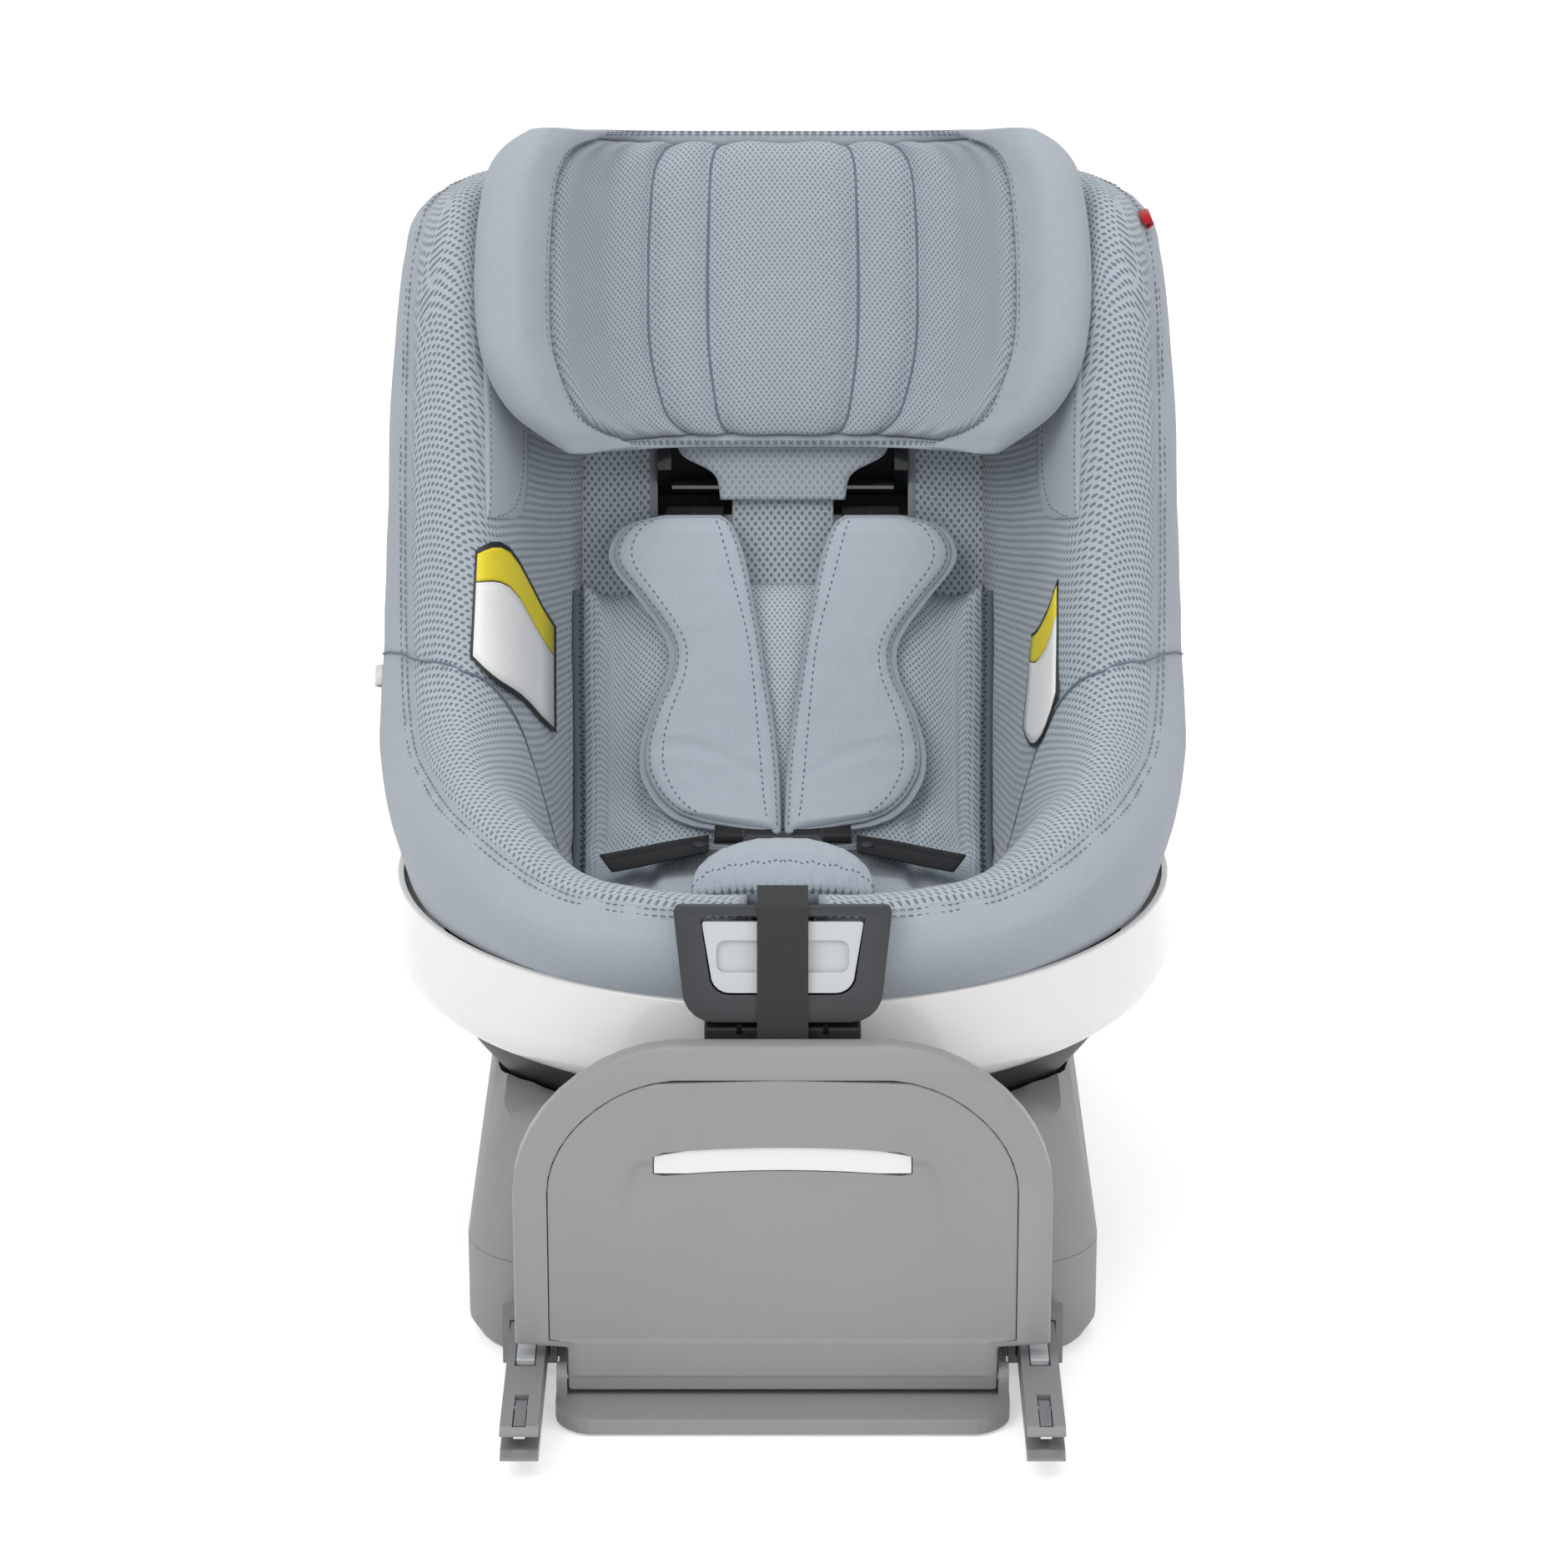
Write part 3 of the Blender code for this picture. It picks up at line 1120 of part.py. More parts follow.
def support_leg():
    """Folding leg: outer tube on its pin, inner tube with foot, and the lock button."""
    low = LEG_PIN_Z - LEG_HEIGHT / 2
    high = LEG_PIN_Z + LEG_HEIGHT / 2
    root = LEG_PIN_Y + LEG_HEIGHT / 2
    tip = LEG_PIN_Y - LEG_LENGTH
    outer = block("leg_outer", (-LEG_HALF_WIDTH, tip, low), (LEG_HALF_WIDTH, root, high), "steel")
    bevel(outer, LEG_WALL, 2)
    settle(outer)
    room = LEG_HALF_WIDTH - LEG_WALL
    hollow = block("leg_hollow", (-room, tip - OVERRUN, low + LEG_WALL),
                   (room, LEG_PIN_Y - LEG_HEIGHT, high - LEG_WALL), "steel")
    bore = cylinder("leg_eye", (-LEG_HALF_WIDTH - OVERRUN, LEG_PIN_Y, LEG_PIN_Z),
                    (LEG_HALF_WIDTH + OVERRUN, LEG_PIN_Y, LEG_PIN_Z), PIN_RADIUS + GAP, "steel")
    cut(outer, hollow, bore)
    button_y = tip + LEG_HEIGHT
    boss_radius = LEG_BUTTON_RADIUS + LEG_BUTTON_WALL
    hubs = []
    for side in (-1, 1):
        hubs.append(cylinder("hub", (side * (LEG_HALF_WIDTH - LEG_WALL), LEG_PIN_Y, LEG_PIN_Z),
                             (side * (LEG_ROOM_HALF - OVERRUN - SLIP), LEG_PIN_Y, LEG_PIN_Z),
                             LEG_HEIGHT / 2 - GAP, "steel"))
    hubs.append(cylinder("button_boss", (0, button_y, low - LEG_BUTTON_BOSS),
                         (0, button_y, low + LEG_WALL / 2), boss_radius, "steel"))
    join(outer, *hubs)
    button_top = low - LEG_BUTTON_ROOM
    cut(outer, cylinder("button_hole", (0, button_y, low - LEG_BUTTON_BOSS - OVERRUN),
                        (0, button_y, low), LEG_BUTTON_RADIUS + GAP, "steel"))
    cut(outer, cylinder("leg_eye", (-LEG_ROOM_HALF, LEG_PIN_Y, LEG_PIN_Z),
                        (LEG_ROOM_HALF, LEG_PIN_Y, LEG_PIN_Z), PIN_RADIUS + GAP, "steel"))
    slim = room - SLIP
    inner = block("leg_inner", (-slim, tip - OVERRUN, low + LEG_WALL + SLIP),
                  (slim, LEG_PIN_Y - LEG_HEIGHT - OVERRUN, high - LEG_WALL - SLIP), "base")
    bevel(inner, LEG_WALL / 2, 2)
    foot_top = tip - OVERRUN - GAP
    foot = block("leg_foot", (-FOOT_HALF_WIDTH, foot_top - FOOT_DEPTH, LEG_PIN_Z - FOOT_HEIGHT / 2),
                 (FOOT_HALF_WIDTH, foot_top, LEG_PIN_Z + FOOT_HEIGHT / 2), "rubber")
    bevel(foot, LEG_WALL * 2, 3)
    cylinder("leg_button", (0, button_y, low - LEG_BUTTON_BOSS - LEG_BUTTON_PROUD),
             (0, button_y, button_top), LEG_BUTTON_RADIUS, "red", 20)


def turntable():
    """Disc on the bearing ring, bowl, white ring, track for the runners and the front block."""
    low = BOWL_BOTTOM_Z - DISC_THICK
    disc("turntable_disc", [(0, BOWL_BOTTOM_Z), (DISC_RADIUS, BOWL_BOTTOM_Z), (DISC_RADIUS, low),
                            (0, low)], "black", 48)
    floor = BOWL_BOTTOM_Z + GAP
    outer = arc_down(BOWL_RADIUS, BOWL_KNEE_Z, floor_radius(BOWL_RADIUS, floor), 5)
    inner_radius = BOWL_RADIUS - BOWL_WALL
    deck = floor + BOWL_WALL
    inner = arc_down(inner_radius, BOWL_KNEE_Z + BOWL_WALL / 2, floor_radius(inner_radius, deck), 5)
    neck = outer[0][0]
    profile = [(0, deck)] + list(reversed(inner))
    profile += [(neck - BOWL_WALL, BOWL_TOP_Z), (neck, BOWL_TOP_Z)] + outer + [(0, floor)]
    disc("carriage_bowl", list(reversed(profile)), "black", 48)
    foot_inner = neck + GAP
    ring = [(RING_RADIUS - RING_WALL * 0.7, RING_TOP_Z), (RING_RADIUS, RING_TOP_Z - RING_WALL / 2),
            (RING_RADIUS, RING_KNEE_Z)]
    bend = 3
    for step in range(1, bend + 1):
        angle = math.radians(90 * step / bend)
        ring.append((RING_RADIUS - (RING_RADIUS - RING_FOOT_RADIUS) * (1 - math.cos(angle)),
                     RING_KNEE_Z - (RING_KNEE_Z - RING_BOTTOM_Z) * math.sin(angle)))
    ring += [(foot_inner, RING_BOTTOM_Z), (foot_inner, BOWL_TOP_Z + GAP),
             (neck - BOWL_WALL, BOWL_TOP_Z + GAP), (neck - BOWL_WALL, BOWL_TOP_Z + RING_WALL),
             (RING_RADIUS - RING_WALL, BOWL_TOP_Z + RING_WALL * 2),
             (RING_RADIUS - RING_WALL, RING_TOP_Z)]
    turned("skirt_ring", ring, "white", 60)
    recline_track()
    front_tongue()


def floor_radius(radius, height):
    """Radius of the round wall about the recline axis at a height."""
    return math.sqrt(radius ** 2 - (PIVOT_Z - height) ** 2)


def arc_side(radius, half_span, steps):
    """Side view of an arc about the recline axis, from front to rear."""
    reach = math.asin(half_span / radius)
    return [(radius * math.sin(-reach + 2 * reach * i / steps),
             PIVOT_Z - radius * math.cos(-reach + 2 * reach * i / steps)) for i in range(steps + 1)]


def recline_track():
    """Two curved rails with side lips, tied by a cross plate on the bowl's floor."""
    floor = BOWL_BOTTOM_Z + BOWL_WALL + GAP * 2
    toe = floor + TRACK_TOE_RISE
    foot = [(TRACK_SPAN, toe), (TRACK_SPAN - TRACK_TOE, floor), (-TRACK_SPAN + TRACK_TOE, floor),
            (-TRACK_SPAN, toe)]
    wide = RUNNER_WIDTH + (TRACK_WALL + SLIP) * 2
    bed = arc_side(RUNNER_RADIUS + SLIP, TRACK_SPAN, 20) + foot
    lip = arc_side(RUNNER_RADIUS - TRACK_LIP, TRACK_SPAN, 12) + foot
    track = None
    pieces = []
    for side in (-1, 1):
        x = side * RUNNER_X
        rail = plate("rail", bed, wide, "black", Matrix.Translation((x, 0, 0)) @ SIDEWAYS)
        pieces.append(rail)
        for edge in (-1, 1):
            offset = x + edge * (RUNNER_WIDTH / 2 + SLIP + TRACK_WALL / 2)
            pieces.append(plate("rail_lip", lip, TRACK_WALL, "black",
                                Matrix.Translation((offset, 0, 0)) @ SIDEWAYS))
    track = block("recline_track", (-RUNNER_X, -TRACK_TOE, floor),
                  (RUNNER_X, TRACK_TOE, floor + TRACK_WALL), "black")
    join(track, *pieces)


def runners():
    """Curved runners under the bucket, shaped to its underside."""
    depth = BOLSTER_PAD + SLIP + SHELL_WALL + GAP
    for side, name in ((-1, "left"), (1, "right")):
        arc = arc_side(RUNNER_RADIUS, RUNNER_HALF_SPAN, 20)
        top = []
        steps = 8
        for step in range(steps + 1):
            along = RUNNER_HALF_SPAN - 2 * RUNNER_HALF_SPAN * step / steps
            top.append((along, nearest_floor(RUNNER_X, along) - BOLSTER_PAD / 2))
        runner = plate("runner_" + name, arc + top, RUNNER_WIDTH, "steel",
                       Matrix.Translation((side * RUNNER_X, 0, 0)) @ SIDEWAYS)
        room = layer("bucket_room", GRID, NORMALS, CORNER_ROW - GRID_STEPS * 2, LAST_ROW,
                     0.0, depth, "black")
        cut(runner, room)


def front_tongue():
    """Black block on the front of the ring, below the bezel."""
    tongue = block("front_tongue", (-TONGUE_HALF_WIDTH, TONGUE_FRONT_Y, TONGUE_BOTTOM_Z),
                   (TONGUE_HALF_WIDTH, -RING_RADIUS + OVERRUN * 2, TONGUE_TOP_Z), "black")
    bevel(tongue, BEZEL_EDGE, 2)
    settle(tongue)
    core = cylinder("ring_core", (0, 0, RING_BOTTOM_Z - OVERRUN), (0, 0, RING_TOP_Z + OVERRUN),
                    RING_RADIUS + SLIP, "black", 72)
    notches = []
    for side in (-1, 1):
        x = side * TONGUE_NOTCH_share * TONGUE_HALF_WIDTH
        notches.append(block("notch", (x - BEZEL_EDGE, TONGUE_FRONT_Y - OVERRUN,
                                       TONGUE_TOP_Z - NOTCH_DEPTH),
                             (x + BEZEL_EDGE, TONGUE_FRONT_Y + NOTCH_DEPTH,
                              TONGUE_TOP_Z + OVERRUN), "black"))
    cut(tongue, core, *notches)


BEZEL_UP = Vector((0, math.sin(BEZEL_LEAN), math.cos(BEZEL_LEAN)))
BEZEL_OUT = Vector((0, -math.cos(BEZEL_LEAN), math.sin(BEZEL_LEAN)))
BEZEL_PLACE = axes_matrix((0, BEZEL_TOP_Y, BEZEL_TOP_Z), (1, 0, 0), BEZEL_UP, BEZEL_OUT)


def tapered_outline(top_half, foot_half, top, low, corner, top_corner, steps=5):
    """Front view of a frame that narrows downward, with round lower corners."""
    points = []
    for across, along, radius, start in ((foot_half, low, corner, -90),
                                         (top_half, top, top_corner, 0)):
        for step in range(steps + 1):
            angle = math.radians(start + 90 * step / steps)
            centre_y = along + radius if start < 0 else along - radius
            points.append((across - radius + radius * math.cos(angle),
                           centre_y + radius * math.sin(angle)))
    return points + [(-x, y) for x, y in reversed(points)]


def front_bezel():
    """Black surround with a fitted rear, and the handle that slides in it."""
    outline = tapered_outline(BEZEL_TOP_HALF_WIDTH, BEZEL_FOOT_HALF_WIDTH, 0, -BEZEL_HEIGHT,
                              BEZEL_CORNER, BEZEL_EDGE * 2)
    bezel = plate("front_bezel", outline, BEZEL_THICK, "bezel",
                  BEZEL_PLACE @ Matrix.Translation((0, 0, -BEZEL_THICK / 2)))
    bevel(bezel, BEZEL_EDGE, 2, 50.0)
    settle(bezel)
    recalc(bezel)
    top = -BEZEL_TOP_BAR
    low = -BEZEL_HEIGHT + BEZEL_BAR
    opening = tapered_outline(BEZEL_TOP_HALF_WIDTH - BEZEL_SIDE, BEZEL_FOOT_HALF_WIDTH - BEZEL_SIDE,
                              top, low, BEZEL_OPENING_CORNER, BEZEL_EDGE)
    room = plate("bezel_opening", opening, BEZEL_THICK * 2, "bezel",
                 BEZEL_PLACE @ Matrix.Translation((0, 0, -BEZEL_THICK)))
    fabric = layer("cover_room", GRID, NORMALS, 0, GRID_STEPS * 4, -SLIP, BOLSTER_PAD, "bezel")
    slot = block("strap_slot", (-ADJUSTER_HALF_WIDTH, ADJUSTER_FRONT_Y, BEZEL_TOP_Z - BEZEL_HEIGHT),
                 (ADJUSTER_HALF_WIDTH, ADJUSTER_REAR_Y, BEZEL_TOP_Z + OVERRUN), "bezel")
    cut(bezel, room, fabric)
    cut(bezel, slot)
    smooth(bezel, 30.0)
    shrink = HANDLE_CLEAR
    face = tapered_outline(BEZEL_TOP_HALF_WIDTH - BEZEL_SIDE - shrink,
                           BEZEL_FOOT_HALF_WIDTH - BEZEL_SIDE - shrink,
                           top - HANDLE_TRAVEL - SLIP, low + shrink,
                           BEZEL_OPENING_CORNER - shrink, BEZEL_EDGE)
    handle = plate("recline_handle", face, HANDLE_THICK, "handle",
                   BEZEL_PLACE @ Matrix.Translation((0, 0, -HANDLE_THICK / 2 - HANDLE_SINK)))
    bevel(handle, BEZEL_EDGE / 2, 2, 50.0)
    settle(handle)
    recalc(handle)
    pull = rounded_outline(PULL_HALF_WIDTH, top - PULL_TOP - PULL_HEIGHT, top - PULL_TOP,
                           (BEZEL_EDGE * 3, BEZEL_EDGE * 3), 3)
    dent = plate("pull", pull, PULL_DEPTH * 2, "handle",
                 BEZEL_PLACE @ Matrix.Translation((0, 0, -HANDLE_SINK)))
    cut(handle, dent, cut_room("handle_fabric"))


def cut_room(name):
    """The padded front rim and its clearance, as a cutter."""
    return layer(name, GRID, NORMALS, 0, GRID_STEPS * 4, -SLIP * 2, BOLSTER_PAD, "bezel")


def adjuster():
    """Harness adjuster in the front rim with its push button; cuts its slot in cover and shell."""
    half = ADJUSTER_HALF_WIDTH
    for name in ("bolster_cover", "seat_shell"):
        slot = block("adjuster_slot", (-half, ADJUSTER_FRONT_Y, ADJUSTER_LOW_Z - SLIP),
                     (half, ADJUSTER_REAR_Y, BEZEL_TOP_Z + OVERRUN * 2), "black")
        cut(bpy.data.objects[name], slot)
        smooth(bpy.data.objects[name], 60.0)
    body = block("adjuster_body", (-half + GAP, ADJUSTER_FRONT_Y + GAP, ADJUSTER_LOW_Z),
                 (half - GAP, ADJUSTER_REAR_Y - GAP, ADJUSTER_TOP_Z), "steel")
    wall = ADJUSTER_WALL
    split = ADJUSTER_FRONT_Y + (ADJUSTER_REAR_Y - ADJUSTER_FRONT_Y) / 2
    well = block("button_well", (-half + wall, ADJUSTER_FRONT_Y + wall, ADJUSTER_TOP_Z - ADJUSTER_WELL),
                 (half - wall, split - wall / 2, ADJUSTER_TOP_Z + OVERRUN), "steel")
    strap = block("strap_well", (-half + wall, split + wall / 2, ADJUSTER_TOP_Z - ADJUSTER_WELL),
                  (half - wall, ADJUSTER_REAR_Y - wall, ADJUSTER_TOP_Z + OVERRUN), "steel")
    cut(body, well, strap)
    button = block("adjuster_button", (-half + wall + SLIP, ADJUSTER_FRONT_Y + wall + SLIP,
                                       ADJUSTER_TOP_Z - ADJUSTER_WELL + ADJUSTER_TRAVEL + GAP),
                   (half - wall - SLIP, split - wall / 2 - SLIP, ADJUSTER_BUTTON_TOP_Z), "black")
    bevel(button, GAP * 2, 2)
    return split


def ribbon(name, stations, width, thick, kind):
    """A band through stations of (point, across, out), closed at both ends."""
    bm = bmesh.new()
    rings = []
    for point, across, out in stations:
        across = Vector(across).normalized() * (width / 2)
        out = Vector(out).normalized() * (thick / 2)
        point = Vector(point)
        rings.append([bm.verts.new(point + across * a + out * b)
                      for a, b in ((-1, -1), (1, -1), (1, 1), (-1, 1))])
    for first, second in zip(rings, rings[1:]):
        for i in range(4):
            j = (i + 1) % 4
            bm.faces.new((first[i], first[j], second[j], second[i]))
    bm.faces.new(list(reversed(rings[0])))
    bm.faces.new(rings[-1])
    return smooth(recalc(new_object(name, bm, kind)))


def side_band(name, path, x, width, thick, kind):
    """A band whose path lies in a plane across the seat: points of (y, z)."""
    stations = []
    for i, (y, z) in enumerate(path):
        ahead = path[min(i + 1, len(path) - 1)]
        behind = path[max(i - 1, 0)]
        run = Vector((0, ahead[0] - behind[0], ahead[1] - behind[1])).normalized()
        stations.append(((x, y, z), (1, 0, 0), run.cross(Vector((1, 0, 0)))))
    return ribbon(name, stations, width, thick, kind)


def adjuster_strap(split):
    """Pull strap out of the adjuster, over the bezel's top bar and down its front."""
    lift = WEB_THICK / 2 + SLIP
    rear = (split + ADJUSTER_WALL / 2 + ADJUSTER_REAR_Y - ADJUSTER_WALL) / 2
    top = BEZEL_TOP_Z + lift
    face = Vector((0, BEZEL_TOP_Y, BEZEL_TOP_Z)) + BEZEL_OUT * lift
    foot = face - BEZEL_UP * BEZEL_HEIGHT
    path = [(rear, ADJUSTER_TOP_Z - ADJUSTER_WELL + SLIP), (rear, top - WEB_THICK),
            (rear - WEB_THICK, top + SLIP), (BEZEL_TOP_Y + WEB_THICK / 2, top + SLIP),
            (face.y - SLIP, BEZEL_TOP_Z + lift / 2), (foot.y, foot.z),
            (foot.y - STRAP_FALL, STRAP_END_Z)]
    side_band("adjuster_strap", path, 0, ADJUSTER_WIDTH, WEB_THICK, "webbing")


HEAD_ORIGIN = Vector((0, HEAD_FOOT_Y, HEAD_FOOT_Z))
BACK_UP = Vector((0, math.sin(BACK_TILT), math.cos(BACK_TILT)))
BACK_OUT = Vector((0, -math.cos(BACK_TILT), math.sin(BACK_TILT)))
BACK_PLACE = axes_matrix(HEAD_ORIGIN, (1, 0, 0), BACK_UP, BACK_OUT)


def on_back(across, up, out):
    """A point in the back's frame: across, up along the back, out of it."""
    return BACK_PLACE @ Vector((across, up, out))


def head_grid():
    """Half of the headrest's surface: rows up the back, columns from front to rear middle."""
    count = len(HEAD_SECTION_share)
    rows = []
    for up, wide, deep, thick in HEAD_STATION_share:
        row = []
        for j, (across, out) in enumerate(HEAD_SECTION_share):
            twin = HEAD_SECTION_share[count - 1 - j]
            middle = ((across + twin[0]) / 2, (out + twin[1]) / 2)
            x = middle[0] + (across - middle[0]) * thick
            w = middle[1] + (out - middle[1]) * thick
            out = w * deep * HEAD_DEPTH
            row.append(on_back(x * wide * HEAD_HALF_WIDTH, up * HEAD_HEIGHT - HEAD_DROP_share * out,
                               out))
        rows.append(row)
    return rows


def flip(normals):
    """The opposite normals."""
    return [[-normal for normal in line] for line in normals]


def headrest():
    """Plain padded surround, mesh pad in its front, moulded shell behind the pad."""
    grid = head_grid()
    normals = grid_normals(grid)
    if normals[3][0].dot(BACK_OUT) < 0:
        normals = flip(normals)
    rim = closed_form("headrest_rim", grid, "knit")
    first, last, edge = 1, len(grid) - 2, HEAD_EDGE_COLUMN
    pad_grid = [row[:edge + 1] for row in grid[first:last + 1]]
    pad_normals = [line[:edge + 1] for line in normals[first:last + 1]]
    rows = len(pad_grid) - 1
    depth = HEAD_PAD + HEAD_SHELL_WALL + SLIP * 4
    pocket = layer("head_pocket", pad_grid, pad_normals, 0, rows, -OVERRUN, depth, "mesh")
    cut(rim, pocket)
    smooth(rim, 50.0)
    layer("headrest_pad", shrunk(pad_grid, SLIP * 2), pad_normals, 0, rows, 0.0, HEAD_PAD, "mesh")
    layer("headrest_shell", shrunk(pad_grid, SLIP * 4), pad_normals, 0, rows, HEAD_PAD + SLIP,
          HEAD_PAD + SLIP + HEAD_SHELL_WALL, "shell")


def shrunk(grid, gap):
    """A patch with its free edges drawn in by a length."""
    rows = [list(row) for row in grid]
    for first, second in ((0, 1), (-1, -2)):
        rows[first] = [a + (b - a).normalized() * gap for a, b in zip(rows[first], rows[second])]
    for row in rows:
        row[-1] = row[-1] + (row[-2] - row[-1]).normalized() * gap
    return rows


def closed_form(name, grid, kind):
    """A half grid closed at both ends by joining front and rear, mirrored into one solid."""
    bm = bmesh.new()
    rows = [[bm.verts.new(point) for point in row] for row in grid]
    count = len(rows[0])
    for r in range(len(rows) - 1):
        for c in range(count - 1):
            bm.faces.new((rows[r][c], rows[r][c + 1], rows[r + 1][c + 1], rows[r + 1][c]))
    for row in (rows[0], rows[-1]):
        for c in range((count - 1) // 2):
            corners = [row[c], row[c + 1], row[count - 2 - c], row[count - 1 - c]]
            if c + 1 == count - 2 - c:
                corners = [row[c], row[c + 1], row[count - 1 - c]]
            bm.faces.new(corners)
    bmesh.ops.recalc_face_normals(bm, faces=bm.faces)
    item = new_object(name, bm, kind)
    mod = item.modifiers.new("mirror", "MIRROR")
    mod.merge_threshold = MERGE
    settle(item)
    return smooth(recalc(item), 50.0)


def head_fittings():
    """Harness rod behind the slots with its brackets on the headrest, and the height lever."""
    behind = -(BACK_SINK + BOLSTER_PAD + SLIP + SHELL_WALL + ROD_RADIUS + ROD_CLEAR)
    start = on_back(-ROD_HALF_LENGTH, -ROD_DROP, behind)
    end = on_back(ROD_HALF_LENGTH, -ROD_DROP, behind)
    rod = cylinder("harness_rod", start, end, ROD_RADIUS, "gloss", 16)
    brackets = []
    front = HEAD_BRACKET_FRONT
    for side in (-1, 1):
        outline = [(-ROD_DROP - ROD_RADIUS, behind - ROD_RADIUS),
                   (-ROD_DROP - ROD_RADIUS, behind + ROD_RADIUS),
                   (-ROD_DROP + ROD_RADIUS, front), (HEAD_BRACKET_TOP, front),
                   (HEAD_BRACKET_TOP, front - ROD_BRACKET_WIDTH),
                   (0, front - ROD_BRACKET_WIDTH), (-ROD_DROP + ROD_RADIUS, behind - ROD_RADIUS)]
        place = axes_matrix(on_back(side * (ROD_HALF_LENGTH - ROD_BRACKET_WIDTH / 2), 0, 0),
                            BACK_UP, BACK_OUT, (1, 0, 0))
        brackets.append(plate("bracket", outline, ROD_BRACKET_WIDTH, "gloss", place))
    join(rod, *brackets)


def slots_in_back():
    """Two long harness slots through liner and shell, as long as the headrest travels."""
    for name in ("seat_liner", "seat_shell"):
        cutters = []
        for side in (-1, 1):
            low = -ROD_DROP - SLOT_BELOW
            high = -ROD_DROP + HEAD_TRAVEL + SLOT_ABOVE
            outline = [(min(side * SLOT_INNER_X, side * SLOT_OUTER_X), low),
                       (max(side * SLOT_INNER_X, side * SLOT_OUTER_X), low),
                       (max(side * SLOT_INNER_X, side * SLOT_OUTER_X), high),
                       (min(side * SLOT_INNER_X, side * SLOT_OUTER_X), high)]
            cutters.append(plate("harness_slot", outline, SLOT_DEPTH, "black", BACK_PLACE))
        cut(bpy.data.objects[name], *cutters)
        smooth(bpy.data.objects[name], 60.0)


def lever():
    """Height lever on the rear of the headrest's top."""
    low = HEAD_HEIGHT * LEVER_UP_share
    outline = rounded_outline(LEVER_WIDTH / 2, low, low + LEVER_HEIGHT,
                              (LEVER_THICK / 2, LEVER_THICK / 2), 3)
    plate("headrest_lever", outline, LEVER_THICK, "black",
          BACK_PLACE @ Matrix.Translation((0, 0, LEVER_OUT)))



def liner_spot(across, column):
    """Point and normal of the padded floor or back, for a distance across and a column."""
    low = min(int(column), len(GRID[0]) - 2)
    share = column - low
    line = []
    for r in range(CORNER_ROW, LAST_ROW + 1):
        line.append((GRID[r][low].lerp(GRID[r][low + 1], share),
                     NORMALS[r][low].lerp(NORMALS[r][low + 1], share)))
    for (outer, outer_normal), (inner, inner_normal) in zip(line, line[1:]):
        if inner.x <= across <= outer.x:
            t = (outer.x - across) / max(outer.x - inner.x, MERGE)
            return outer.lerp(inner, t), outer_normal.lerp(inner_normal, t).normalized()
    return line[0]


def between(name, upper, under, kind, mirror=True, degrees=50.0):
    """A closed solid between two grids of the same size, mirrored where a half is given."""
    bm = bmesh.new()
    top, low = [[[bm.verts.new(point) for point in row] for row in deck] for deck in (upper, under)]
    rows = len(top)
    columns = len(top[0])
    for r in range(rows - 1):
        for c in range(columns - 1):
            bm.faces.new((top[r][c], top[r][c + 1], top[r + 1][c + 1], top[r + 1][c]))
            bm.faces.new((low[r][c], low[r + 1][c], low[r + 1][c + 1], low[r][c + 1]))
    edges = [((r, 0), (r + 1, 0)) for r in range(rows - 1)]
    edges += [((r, columns - 1), (r + 1, columns - 1)) for r in range(rows - 1)]
    edges += [((0, c), (0, c + 1)) for c in range(columns - 1)]
    edges += [((rows - 1, c), (rows - 1, c + 1)) for c in range(columns - 1)]
    for (r, c), (i, j) in edges:
        if not mirror or abs(top[r][c].co.x) > MERGE or abs(top[i][j].co.x) > MERGE:
            bm.faces.new((top[r][c], top[i][j], low[i][j], low[r][c]))
    bmesh.ops.recalc_face_normals(bm, faces=bm.faces)
    item = new_object(name, bm, kind)
    if mirror:
        mod = item.modifiers.new("mirror", "MIRROR")
        mod.merge_threshold = MERGE
        settle(item)
    return smooth(recalc(item), degrees)


def mirror_copy(item, name):
    """The same piece on the other side."""
    twin = item.copy()
    twin.data = item.data.copy()
    twin.name = name
    twin.data.name = name
    PARTS.objects.link(twin)
    twin.data.transform(Matrix.Scale(-1, 4, (1, 0, 0)))
    return smooth(recalc(twin), 50.0)


def insert_height(t, u):
    """Height of the insert's crown at a share across and a share along."""
    side = min(1.0, (1.0 - t) / INSERT_EDGE_share)
    end = min(1.0, u / INSERT_END_share, (1.0 - u) / INSERT_END_share)
    crown = math.sqrt(max(0.0, 1.0 - (1.0 - min(side, end)) ** 2))
    channel = math.exp(-((t - INSERT_CHANNEL_share) / INSERT_GROOVE_share) ** 2)
    fold = math.exp(-((u - INSERT_FOLD_share) / INSERT_GROOVE_share) ** 2)
    return INSERT_RIM + (INSERT_THICK - INSERT_RIM) * crown - INSERT_HOLLOW * max(
        channel * INSERT_SIDE_CHANNEL_share, fold) * crown


